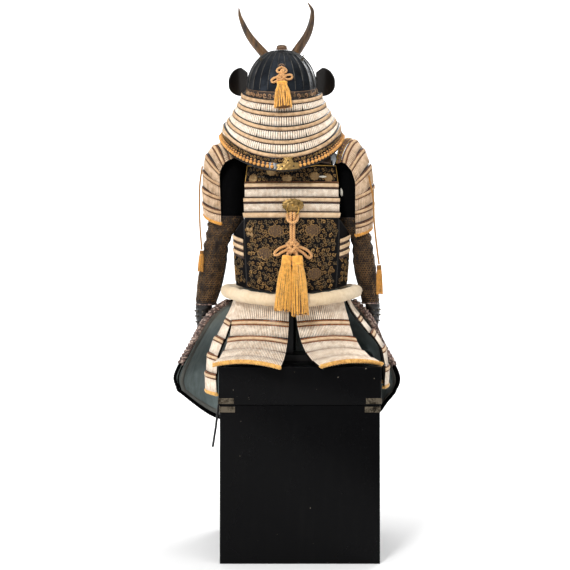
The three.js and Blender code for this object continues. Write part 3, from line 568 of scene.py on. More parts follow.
class Workshop:
    """Grows meshes from points and curves with the armour's node trees."""

    def __init__(self) -> None:
        self.beads = {bead: bead_tree(bead) for bead in Bead}
        self.tube = tube_tree()
        self.rope = rope_tree()

    def grow(
        self, name: str, start: bpy.types.ID, tree: bpy.types.NodeTree, **inputs: object
    ) -> bpy.types.Object:
        """Run a tree on a mesh or a curve and keep the plain mesh that it makes.

        Args:
            name: The new object's name.
            start: The mesh or curve that the tree starts from.
            tree: The Geometry Nodes tree.
            inputs: The tree's inputs by name, with spaces written as underscores.

        Returns:
            The new object.
        """
        seedling = new_object(f"{name}_start", start)
        modifier = seedling.modifiers.new("grow", "NODES")
        modifier.node_group = tree
        for socket in tree.interface.items_tree:
            key = socket.name.replace(" ", "_")
            if socket.in_out == "INPUT" and key in inputs:
                modifier[socket.identifier] = inputs[key]
        graph = bpy.context.evaluated_depsgraph_get()
        mesh = bpy.data.meshes.new_from_object(seedling.evaluated_get(graph), depsgraph=graph)
        seedling.modifiers.remove(modifier)
        bpy.data.objects.remove(seedling)
        mesh.name = name
        grown = bpy.data.objects.new(name, mesh)
        bpy.context.scene.collection.objects.link(grown)
        if not mesh.materials:
            mesh.materials.append(inputs["Material"])
        return grown

    def field(
        self,
        name: str,
        bead: Bead,
        places: Array,
        side: Array,
        out: Array,
        size: Array,
        material: bpy.types.Material,
        roundness: float = 0.5,
        draw_in: float = 0.2,
    ) -> bpy.types.Object:
        """Set a small shape at every place.

        Args:
            name: The new object's name.
            bead: Which shape.
            places: Points in millimetres.
            side: Which way each shape's x runs.
            out: Which way each shape's z runs.
            size: Each shape's three sizes in millimetres.
            material: What they are made of.
            roundness: How much their long edges fall away.
            draw_in: How much their ends draw in.

        Returns:
            The new object.
        """
        places = np.asarray(places, float).reshape(-1, 3)
        mesh = bpy.data.meshes.new(name)
        mesh.from_pydata((places * MM).tolist(), [], [])
        columns = {"side": side, "out": out, "size": np.asarray(size, float) * MM}
        for key, value in columns.items():
            value = np.broadcast_to(np.asarray(value, float).reshape(-1, 3), places.shape)
            layer = mesh.attributes.new(key, "FLOAT_VECTOR", "POINT")
            layer.data.foreach_set("vector", np.ascontiguousarray(value, np.float32).ravel())
        inputs = {"Material": material, "Round": float(roundness), "Draw_In": float(draw_in)}
        return self.grow(name, mesh, self.beads[bead], **inputs)

    def curves(self, name: str, lines: Iterable[Array],
               radii: Iterable[float | Array], closed: bool = False) -> bpy.types.Curve:
        """Make a curve of straight-edged lines.

        Args:
            name: The curve's name.
            lines: The points of each line, in millimetres.
            radii: Each line's radius in millimetres, one for all of it or one for each point.
            closed: Whether each line ends where it starts.

        Returns:
            The curve.
        """
        curve = bpy.data.curves.new(name, "CURVE")
        curve.dimensions = "3D"
        for line, radius in zip(lines, radii):
            line = np.asarray(line, float) * MM
            spline = curve.splines.new("POLY")
            spline.points.add(len(line) - 1)
            spline.points.foreach_set("co", np.column_stack(
                [line, np.ones(len(line))]).astype(np.float32).ravel())
            wide = np.broadcast_to(np.asarray(radius, float) * MM, len(line)).astype(np.float32)
            spline.points.foreach_set("radius", np.ascontiguousarray(wide))
            spline.use_cyclic_u = closed
        return curve

    def tubes(
        self,
        name: str,
        lines: Iterable[Array],
        radii: Iterable[float | Array],
        material: bpy.types.Material,
        sides: int = 8,
        closed: bool = False,
    ) -> bpy.types.Object:
        """Sweep round sections along lines."""
        start = self.curves(name, lines, radii, closed)
        return self.grow(name, start, self.tube, Material=material, Sides=sides)

    def ropes(
        self,
        name: str,
        lines: Iterable[Array],
        material: bpy.types.Material,
        strand: float,
        reach: float,
        lay: float,
        strands: int = 2,
        step: float = 2.0,
        closed: bool = False,
        sides: int = 8,
    ) -> bpy.types.Object:
        """Lay twisted strands along lines, with sizes in millimetres."""
        lines = list(lines)
        start = self.curves(name, lines, [1.0] * len(lines), closed)
        sizes = {"Strand_Radius": strand * MM, "Reach": reach * MM, "Lay": lay * MM, "Step": step * MM}
        return self.grow(name, start, self.rope, Material=material, Strands=strands, Sides=sides, **sizes)


def smooth_line(points: Sequence[Sequence[float]], count: int) -> Array:
    """Run an even, smooth line through points.

    Args:
        points: The points it passes through, in millimetres.
        count: How many points it has.

    Returns:
        Points evenly spaced along it.
    """
    points = np.asarray(points, float)
    place = np.concatenate([[0], np.cumsum(np.linalg.norm(np.diff(points, axis=0), axis=1))])
    fine = np.moveaxis(Table(tuple(place), points).at(np.linspace(0, place[-1], 24 * len(points))), 0, -1)
    run = np.concatenate([[0], np.cumsum(np.linalg.norm(np.diff(fine, axis=0), axis=1))])
    even = np.linspace(0, run[-1], count)
    return np.column_stack([np.interp(even, run, fine[:, axis]) for axis in range(3)])


def place_piece(piece: bpy.types.Object, slot: str, *nodes: str) -> bpy.types.Object:
    """Fix a finished piece to the armour and hide the solids that it stands for."""
    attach(piece, "root")
    if nodes:
        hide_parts(*nodes)
    LOG.info("%s: %d faces", piece.name, len(piece.data.polygons) if piece.type == "MESH" else 0)
    return piece


# ---------------------------------------------------------------- finishes

Colour = tuple[float, float, float, float]


def hue(code: str) -> Colour:
    """Turn a six-figure display colour into a linear one."""
    values = [int(code[i : i + 2], 16) / 255 for i in (0, 2, 4)]
    return (*(v / 12.92 if v <= 0.04045 else ((v + 0.055) / 1.055) ** 2.4 for v in values), 1.0)


class Shader(Tree):
    """A material's node tree round one Principled shader.

    Args:
        name: The material's name.
        sockets: Plain values for the shader, by input name with spaces as underscores.
    """

    def __init__(self, name: str, **sockets: object) -> None:
        self.material = bpy.data.materials.new(name)
        self.material.use_nodes = True
        super().__init__(self.material.node_tree)
        self.surface = next(n for n in self.tree.nodes if n.type == "BSDF_PRINCIPLED")
        for key, value in sockets.items():
            self.surface.inputs[key.replace("_", " ")].default_value = value
        coordinates = self.tree.nodes.new("ShaderNodeTexCoord")
        self.object, self.uv = coordinates.outputs["Object"], coordinates.outputs["UV"]

    def feed(self, **sockets: bpy.types.NodeSocket) -> None:
        """Link sockets into the shader's inputs, by input name with spaces as underscores."""
        for key, value in sockets.items():
            self.tree.links.new(value, self.surface.inputs[key.replace("_", " ")])

    def stretched(self, place: bpy.types.NodeSocket, x: float, y: float, z: float) -> bpy.types.NodeSocket:
        """Scale coordinates, so that a pattern is drawn out along the smallest number's axis."""
        return self.node("ShaderNodeMapping", Vector=place, Scale=(x, y, z)).outputs[0]

    def noise(
        self, place: bpy.types.NodeSocket, size: float, detail: float = 3.0, rough: float = 0.55
    ) -> bpy.types.NodeSocket:
        """Add a noise whose blots are about this many metres across."""
        sizes = {"Scale": 0.5 / size, "Detail": detail, "Roughness": rough}
        return self.node("ShaderNodeTexNoise", Vector=place, **sizes).outputs[0]

    def span(
        self, value: bpy.types.NodeSocket, low: float, high: float, start: float = 0.0, end: float = 1.0
    ) -> bpy.types.NodeSocket:
        """Map low to high onto start to end, and hold it there beyond them."""
        sizes = {"i1": low, "i2": high, "i3": start, "i4": end}
        return self.node("ShaderNodeMapRange", {"clamp": True}, i0=value, **sizes).outputs[0]

    def mix(self, share: bpy.types.NodeSocket, first: object, second: object) -> bpy.types.NodeSocket:
        """Mix two colours, which are colours or sockets."""
        made = self.tree.nodes.new("ShaderNodeMix")
        made.data_type = "RGBA"
        ends = [s for s in made.inputs if s.type == "RGBA"]
        self.tree.links.new(share, made.inputs[0])
        for socket, value in zip(ends, (first, second)):
            if isinstance(value, bpy.types.NodeSocket):
                self.tree.links.new(value, socket)
            else:
                socket.default_value = value
        return next(s for s in made.outputs if s.type == "RGBA")

    def raise_by(self, height: bpy.types.NodeSocket, depth: float) -> None:
        """Give the surface relief: height from 0 to 1 stands this many metres proud."""
        bump = self.node("ShaderNodeBump", Strength=1.0, Distance=depth, Height=height)
        self.feed(Normal=bump.outputs[0])


@dataclass(frozen=True)
class Lacquer:
    """Polished lacquer over wood, leather or iron, with faint streaks, scuffs and chips.

    Args:
        colour: Its colour.
        haze: The colour of its dust and scuffs.
        roughness: How matt it is where it is clean.
        streak: How strongly the haze shows.
        chips: The share of its edge that is chipped, from 0 to 1.
        relief: The height of its unevenness in metres.
        gloss: The strength of its reflections.
    """

    colour: str = "08080a"
    haze: str = "191817"
    roughness: float = 0.2
    streak: float = 0.4
    chips: float = 0.0
    relief: float = 0.0003
    gloss: float = 0.3

    def make(self, name: str) -> bpy.types.Material:
        """Make the material."""
        shader = Shader(name, Specular_IOR_Level=self.gloss, Coat_Weight=self.gloss, Coat_Roughness=0.16)
        long = shader.noise(shader.stretched(shader.object, 1, 1, 0.12), 0.01, 5, 0.62)
        cloud = shader.noise(shader.object, 0.07, 4)
        haze = shader.math("MULTIPLY", shader.span(long, 0.5, 0.85), shader.span(cloud, 0.35, 0.7))
        haze = shader.math("MULTIPLY", haze, self.streak)
        colour = shader.mix(haze, hue(self.colour), hue(self.haze))
        if self.chips:
            flake = shader.noise(shader.object, 0.004, 2, 0.5)
            area = shader.noise(shader.object, 0.045, 1, 0.5)
            chip = shader.span(flake, 0.765 - 0.1 * self.chips, 0.79 - 0.1 * self.chips)
            chip = shader.math("MULTIPLY", chip, shader.span(area, 0.5, 0.62))
            colour = shader.mix(chip, colour, hue("a79c8a"))
        shader.feed(Base_Color=colour)
        shader.feed(Roughness=shader.span(cloud, 0.3, 0.75, self.roughness, self.roughness + 0.2))
        wave = shader.noise(shader.object, 0.03, 3, 0.45)
        shader.raise_by(wave, self.relief)
        return shader.material


@dataclass(frozen=True)
class Metal:
    """Iron, bronze or gilt copper.

    Args:
        colour: The colour of its clean places.
        dark: The colour of its patina.
        roughness: How matt its clean places are.
        patina: How much of it the patina covers, from 0 to 1.
        metallic: How far it reflects as a bare metal does.
        grain: The height of its pitting in metres.
    """

    colour: str
    dark: str
    roughness: float = 0.3
    patina: float = 0.4
    metallic: float = 1.0
    grain: float = 0.0002

    def make(self, name: str) -> bpy.types.Material:
        """Make the material."""
        shader = Shader(name, Metallic=self.metallic)
        cloud = shader.noise(shader.object, 0.012, 6, 0.62)
        speck = shader.noise(shader.object, 0.0022, 3, 0.6)
        both = shader.math("ADD", shader.math("MULTIPLY", cloud, 0.7), shader.math("MULTIPLY", speck, 0.3))
        worn = shader.span(both, 0.62 - 0.3 * self.patina, 0.72 - 0.2 * self.patina)
        shader.feed(Base_Color=shader.mix(worn, hue(self.colour), hue(self.dark)))
        shader.feed(Roughness=shader.span(both, 0.35, 0.7, self.roughness, self.roughness + 0.3))
        shader.raise_by(both, self.grain)
        return shader.material


@dataclass(frozen=True)
class Silk:
    """Silk lacing, knots and threads.

    Args:
        colour: Its colour in the light.
        shade: The colour of its soiled and faded places.
        spread: How far neighbouring laces differ, from 0 to 1.
        lace: The width of one lace in metres.
        thread: The width of one thread in metres.
        gloss: The strength of its sheen.
    """

    colour: str
    shade: str
    spread: float = 0.5
    lace: float = 0.006
    thread: float = 0.0007
    gloss: float = 0.25

    def make(self, name: str) -> bpy.types.Material:
        """Make the material."""
        shader = Shader(name, Roughness=0.72, Sheen_Weight=self.gloss, Sheen_Roughness=0.4)
        each = shader.noise(shader.object, self.lace, 2, 0.5)
        age = shader.noise(shader.object, 0.06, 3, 0.55)
        blend = shader.math("ADD", shader.math("MULTIPLY", each, 0.65), shader.math("MULTIPLY", age, 0.35))
        share = shader.math("MULTIPLY", shader.span(blend, 0.4, 0.66), self.spread)
        shader.feed(Base_Color=shader.mix(share, hue(self.colour), hue(self.shade)))
        shader.raise_by(shader.noise(shader.object, self.thread, 2, 0.6), 0.0004)
        return shader.material


@dataclass(frozen=True)
class Braid:
    """A round silk cord with a braided face, on the lay that its sweep stores.

    Args:
        colour: Its colour in the light.
        shade: The colour of the painted shade between its strands.
        pitch: The length of one plait in metres.
        plaits: How many plaits go round it.
    """

    colour: str
    shade: str
    pitch: float = 0.005
    plaits: int = 3

    def make(self, name: str) -> bpy.types.Material:
        """Make the material."""
        shader = Shader(name, Roughness=0.66, Sheen_Weight=0.3, Sheen_Roughness=0.4)
        along = shader.node("ShaderNodeAttribute", {"attribute_name": "along"}).outputs["Fac"]
        turn = shader.node("ShaderNodeAttribute", {"attribute_name": "round"}).outputs["Fac"]
        run = shader.math("DIVIDE", along, self.pitch)
        side = shader.math("MULTIPLY", turn, float(self.plaits))
        waves = [
    shader.math(
        "SINE",
        shader.math(
            "MULTIPLY",
            shader.math(
                how,
                run,
                side),
                2 *
                math.pi)) for how in (
                    "ADD",
                     "SUBTRACT")]
        height = shader.span(shader.math("MAXIMUM", *waves), -0.6, 1.0)
        age = shader.noise(shader.object, 0.02, 3, 0.6)
        # Painted shade: the low places between the plaits take the shade colour, and the age noise dims the rest a
        # little.
        tone = shader.math("MULTIPLY", height, shader.span(age, 0.25, 0.6, 0.6, 1.0))
        shader.feed(Base_Color=shader.mix(tone, hue(self.shade), hue(self.colour)))
        shader.raise_by(height, 0.0008)
        return shader.material


@dataclass(frozen=True)
class Cloth:
    """Woven cloth, on the map of its own face.

    Args:
        colour: Its colour.
        shade: The colour of its worn and soiled places; a darker copy of it is painted as shade in the hollows of the
            weave.
        pitch: The width of one thread in metres.
        blot: The width of its soiled places in metres.
        relief: The height of its threads in metres.
        sheen: The strength of its soft edge light.
        gloss: The strength of its reflections.
    """

    colour: str
    shade: str
    pitch: float = 0.0012
    blot: float = 0.05
    relief: float = 0.0003
    sheen: float = 0.2
    gloss: float = 0.5

    def make(self, name: str) -> bpy.types.Material:
        """Make the material."""
        shader = Shader(
    name,
    Roughness=0.88,
    Specular_IOR_Level=self.gloss,
    Sheen_Weight=self.sheen,
     Sheen_Roughness=0.5)
        x, y, _ = shader.node("ShaderNodeSeparateXYZ", Vector=shader.uv).outputs
        waves = [shader.math("SINE", shader.math("MULTIPLY", v, math.pi / self.pitch)) for v in (x, y)]
        weave = shader.span(shader.math("MULTIPLY", *waves), -1.0, 1.0)
        slub = shader.noise(shader.stretched(shader.uv, 1, 0.15, 1), 0.004, 3, 0.6)
        blot = shader.noise(shader.object, self.blot, 4, 0.6)
        worn = shader.math("ADD", shader.math("MULTIPLY", slub, 0.4), shader.math("MULTIPLY", blot, 0.6))
        tone = shader.span(worn, 0.36, 0.66)
        colour = shader.mix(tone, hue(self.colour), hue(self.shade))
        # Painted shade: the hollows of the weave are darkened towards a darker copy of the shade colour.
        dark = tuple(c * 0.72 for c in hue(self.shade)[:3]) + (1.0,)
        hollow = shader.math("MULTIPLY", shader.math("SUBTRACT", 1.0, weave), 0.45)
        shader.feed(Base_Color=shader.mix(hollow, colour, dark))
        height = shader.math("ADD", shader.math("MULTIPLY", weave, 0.7), shader.math("MULTIPLY", slub, 0.6))
        shader.raise_by(height, self.relief)
        return shader.material


@dataclass(frozen=True)
class Leather:
    """Smooth dyed leather.

    Args:
        colour: Its colour.
        rubbed: The colour of its worn places.
        roughness: How matt it is.
        wear: How much of it is rubbed, from 0 to 1.
        gloss: The strength of its reflections.
    """

    colour: str
    rubbed: str
    roughness: float = 0.5
    wear: float = 0.4
    gloss: float = 0.4

    def make(self, name: str) -> bpy.types.Material:
        """Make the material."""
        shader = Shader(name, Specular_IOR_Level=self.gloss)
        blot = shader.noise(shader.object, 0.022, 5, 0.64)
        pore = shader.node("ShaderNodeTexVoronoi", Vector=shader.object, Scale=900.0).outputs["Distance"]
        rubbed = shader.span(blot, 0.62 - 0.2 * self.wear, 0.78 - 0.16 * self.wear)
        shader.feed(Base_Color=shader.mix(rubbed, hue(self.colour), hue(self.rubbed)))
        shader.feed(Roughness=shader.span(blot, 0.3, 0.7, self.roughness, self.roughness + 0.22))
        height = shader.math("ADD", shader.math("MULTIPLY", pore, 0.5), blot)
        shader.raise_by(height, 0.00035)
        return shader.material


@dataclass(frozen=True)
class HornLacquer:
    """Brown and gold lacquer streaked up a horn.

    Args:
        dark: The colour between the streaks.
        light: The colour of the streaks.
    """

    dark: str = "1c120a"
    light: str = "6f4d27"

    def make(self, name: str) -> bpy.types.Material:
        """Make the material."""
        shader = Shader(name, Metallic=0.25, Coat_Weight=0.5, Coat_Roughness=0.2)
        streak = shader.noise(shader.stretched(shader.object, 1, 1, 0.09), 0.006, 5, 0.66)
        cloud = shader.noise(shader.object, 0.03, 3, 0.5)
        tone = shader.math("ADD", shader.math("MULTIPLY", streak, 0.7), shader.math("MULTIPLY", cloud, 0.3))
        shader.feed(Base_Color=shader.mix(shader.span(tone, 0.4, 0.62), hue(self.dark), hue(self.light)))
        shader.feed(Roughness=shader.span(streak, 0.3, 0.7, 0.28, 0.5))
        shader.raise_by(streak, 0.0005)
        return shader.material


@dataclass(frozen=True)
class SpeckledBraid:
    """An edging plaited from threads of three colours.

    Args:
        first: The main colour.
        second: The next colour.
        third: The lightest colour.
        size: The length of one stitch in metres.
    """

    first: str = "4a3831"
    second: str = "85695f"
    third: str = "b09a8c"
    size: float = 0.0045

    def make(self, name: str) -> bpy.types.Material:
        """Make the material."""
        shader = Shader(name, Roughness=0.8, Sheen_Weight=0.2)
        cell = shader.node("ShaderNodeTexVoronoi", Vector=shader.object, Scale=1 / self.size)
        pick = shader.node("ShaderNodeSeparateXYZ", Vector=cell.outputs["Color"]).outputs[0]
        colour = shader.mix(shader.span(pick, 0.52, 0.56), hue(self.first), hue(self.second))
        colour = shader.mix(shader.span(pick, 0.76, 0.8), colour, hue(self.third))
        shader.feed(Base_Color=colour)
        height = shader.span(cell.outputs["Distance"], 0.0, 0.6, 1.0, 0.0)
        shader.raise_by(height, 0.0009)
        return shader.material


class Finishes:
    """Every finish of the armour, made once and used by name."""

    def __init__(self) -> None:
        self.chest_lacquer = Lacquer("050506", chips=0.12, streak=0.3, gloss=0.05).make("chest_lacquer")
        self.stand_lacquer = Lacquer("120f0e", roughness=0.34, streak=0.7,
                                     relief=0.0006).make("stand_lacquer")
        self.plate_lacquer = Lacquer("120e0c", "322a23", 0.34, 0.5, gloss=0.25).make("plate_lacquer")
        self.rim_lacquer = Lacquer("0f0c0b", "3a312a", 0.34, 0.4, gloss=0.25).make("rim_lacquer")
        self.iron = Metal("1b2027", "0b0d10", 0.3, 0.4, 0.8).make("iron")
        # Painted highlight: the ribs are the bowl's own iron, coloured a lighter grey-beige for the light that
        # catches them.
        self.rib_iron = Metal("514f4b", "1e1f21", 0.34, 0.55, 0.85).make("rib_iron")
        self.gilt = Metal("b08a4a", "3a2a17", 0.34, 0.4).make("gilt")
        self.olive_gilt = Metal("94784a", "3c2e18", 0.36, 0.45, grain=0.0002).make("olive_gilt")
        self.crown_bronze = Metal("8b715c", "3d2f25", 0.4, 0.45).make("crown_bronze")
        self.bronze = Metal("6b6254", "211d18", 0.36, 0.45).make("bronze")
        self.white_lace = Silk("f4e5d2", "cbb195", 0.85).make("white_lace")
        # Painted shade: the same white lace made a darker beige, for the shoulder guards and the side plates' short
        # bands, which lie in shade.
        self.guard_lace = Silk("dcbfa0", "a98660", 0.85).make("guard_lace")
        self.cream_lace = Silk("e2c5a0", "ba946a", 0.75).make("cream_lace")
        self.guard_band = Silk("d6b48c", "a07a52", 0.8).make("guard_band")
        self.pink_bead = Silk("d69b58", "8f5d2c", 0.8, 0.008).make("pink_bead")
        self.brown_stitch = Silk("4c2c1a", "1c110b", 0.8, 0.004).make("brown_stitch")
        self.tan_stitch = Silk("a9622e", "4d2811", 0.85, 0.004).make("tan_stitch")
        self.guard_stitch = Silk("83502a", "38200f", 0.85, 0.004).make("guard_stitch")
        self.orange_silk = Silk("e0a04e", "925a1e", 0.7, 0.008, 0.0009, 0.4).make("orange_silk")
        self.gold_thread = Silk("e9b45c", "a8702a", 0.8, 0.004, 0.0006, 0.5).make("gold_thread")
        self.bright_thread = Silk("f3b650", "b87a28", 0.8, 0.004, 0.0006, 0.5).make("bright_thread")
        # Painted shade: the dark heart of a tassel, which shows in the gaps between its strands.
        self.thread_heart = Silk("6e4314", "3a220a", 0.8, 0.004, 0.0006, 0.1).make("thread_heart")
        self.gold_braid = Braid("e8b070", "a9713a").make("gold_braid")
        self.ochre_braid = Braid("c68a34", "5f3a12", 0.004).make("ochre_braid")
        self.black_braid = Braid("17161a", "050506", 0.004).make("black_braid")
        self.ochre_thread = Silk("dc9a38", "8a5a1c", 0.6, 0.004, 0.0006, 0.4).make("ochre_thread")
        self.print_ground = Leather("070608", "120e0d", 0.6, 0.3, gloss=0.1).make("print_ground")
        self.scroll_gold = Leather("806034", "bd9358", 0.42, 0.6).make("scroll_gold")
        self.patch_gold = Leather("94744a", "cfb07c", 0.42, 0.6).make("patch_gold")
        self.scroll_grey = Leather("5c4a2e", "362b1e", 0.48, 0.5).make("scroll_grey")
        self.peony = Leather("4f3820", "35261a", 0.5, 0.5).make("peony")
        self.guard_leather = Leather("5a3c2c", "33211a", 0.45, 0.45).make("guard_leather")
        self.band_leather = Leather("2a1f18", "4c382a", 0.5, 0.5).make("band_leather")
        self.band_gold = Leather("a87f5a", "d2ad84", 0.45, 0.6).make("band_gold")
        self.strap_leather = Leather("2a1d15", "4b3523", 0.5, 0.5).make("strap_leather")
        self.horn = HornLacquer().make("horn")
        self.mail_ring = Metal("866540", "2c2015", 0.42, 0.6, 0.7).make("mail_ring")
        self.mail_ground = Cloth("241a13", "120d0a", 0.0015, 0.03, sheen=0.1).make("mail_ground")
        self.lining = Cloth("96a5a4", "65716f").make("lining")
        self.panel_face = Cloth("3a2a1a", "1f1710", 0.0016).make("panel_face")
        self.black_cloth = Cloth("060607", "030303", sheen=0.0, gloss=0.05).make("black_cloth")
        self.band_cloth = Cloth("8a8b84", "6b6c66", 0.0014).make("band_cloth")
        self.sash_cloth = Cloth("eedcbf", "d6ba92", 0.0011, 0.09).make("sash_cloth")
        self.pad_cloth = Cloth("b9bdc0", "8d9296", 0.0016, 0.03).make("pad_cloth")
        self.edge_braid = SpeckledBraid().make("edge_braid")
        self.ivory = Lacquer("e9e2d2", "b9aa8c", 0.35, 0.5).make("ivory")


# ---------------------------------------------------------------- forms that pieces share


def stack(x: Array | float, y: Array | float, z: Array | float) -> Array:
    """Put three coordinates of any shapes together in the last axis."""
    return np.stack(np.broadcast_arrays(x, y, z), axis=-1).astype(float)


def heading(degrees: Array | float) -> Array:
    """Give the level direction at an angle round the body."""
    return stack(np.sin(rad(degrees)), np.cos(rad(degrees)), 0.0)


@dataclass(frozen=True)
class Body:
    """The form of the cuirass, which the pieces round it are set out from.

    Args:
        middle: How far its middle stands to the wearer's left.
        form: Its half width and half depth at each height.
        waist_back: The height of its lower edge at the back.
        waist_rise: How much higher that edge is at the sides.
    """

    middle: float = 21.0
    form: Table = Table(
        (690, 760, 840, 905, 980, 1060),
        ((151, 110), (157, 115), (162, 121), (163, 123), (158, 121), (146, 108)),
    )
    waist_back: float = 703.0
    waist_rise: float = 20.0

    def at(self, degrees: Array | float, z: Array | float, reach: float = 0.0) -> Array:
        """Give the point at an angle and a height, out past the form by reach."""
        width, depth = self.form.at(np.asarray(z, float))
        angle = rad(degrees)
        return stack(self.middle + (width + reach) * np.sin(angle), (depth + reach) * np.cos(angle), z)

    def waist(self, degrees: Array | float) -> Array | float:
        """Give the height of the lower edge at an angle."""
        return self.waist_back + self.waist_rise * np.sin(rad(degrees)) ** 2


BODY = Body()
GAP = 0.6  # between neighbouring pieces


class Course(Enum):
    """What is laid across a lame."""

    RIM = "rim"
    BAND = "band"
    STITCH = "stitch"
    LACE = "lace"
    BARE = "bare"
    BEAD = "bead"
    KNOT = "knot"


@dataclass(frozen=True)
class Lacing:
    """How lames are laced, from the head of each down.

    Args:
        courses: Each course and its height in millimetres. One height of 0 takes what is left.
        last: The courses of the last lames, or None where they are the same.
        pitch: The space from one lace to the next.
        last_count: How many lames are laced as the last.
    """

    courses: tuple[tuple[Course, float], ...]
    last: Optional[tuple[tuple[Course, float], ...]] = None
    pitch: float = 6.4
    last_count: int = 1


BANDED = Lacing(
    ((Course.RIM, 4.2), (Course.BAND, 9.0), (Course.STITCH, 3.8), (Course.LACE, 0)),
    (
        (Course.RIM, 4.2),
        (Course.BAND, 9.2),
        (Course.STITCH, 3.0),
        (Course.BARE, 0),
        (Course.BEAD, 6.0),
        (Course.KNOT, 10.6),
        (Course.RIM, 4.6),
    ),
)
PAIRED = Lacing(
    ((Course.RIM, 1.4), (Course.STITCH, 3.4), (Course.BAND, 7.6), (Course.STITCH, 4.0), (Course.LACE, 0)),
    pitch=4.6,
)
ON_CHEST = Lacing(
    ((Course.STITCH, 4.4), (Course.BAND, 7.6), (Course.STITCH, 4.4), (Course.LACE, 0)),
    ((Course.RIM, 1.0), (Course.STITCH, 1.6), (Course.LACE, 0)),
    pitch=4.2,
    last_count=2,
)
CLOSE = Lacing(
    ((Course.BAND, 9.4), (Course.STITCH, 6.2), (Course.LACE, 0), (Course.STITCH, 4.0)),
    ((Course.BAND, 0),),
    pitch=3.5,
)


@dataclass(frozen=True)
class Silks:
    """The silks of one laced wall.

    Args:
        lace: The upright laces.
        band: The cross bands.
        stitch: The stitches beside the bands.
        bead: The small beads above a hem's knots.
        knot: The knots.
        rim: The lames' bare heads.
    """

    lace: bpy.types.Material
    band: bpy.types.Material
    stitch: bpy.types.Material
    bead: bpy.types.Material
    knot: bpy.types.Material
    rim: bpy.types.Material

    @classmethod
    def pick(cls, finishes: Finishes, lace: str, band: str, stitch: str, rim: str = "rim_lacquer") -> "Silks":
        """Choose the laces, bands, stitches and rims by name."""
        chosen = (getattr(finishes, name) for name in (lace, band, stitch))
        return cls(*chosen, finishes.pink_bead, finishes.orange_silk, getattr(finishes, rim))


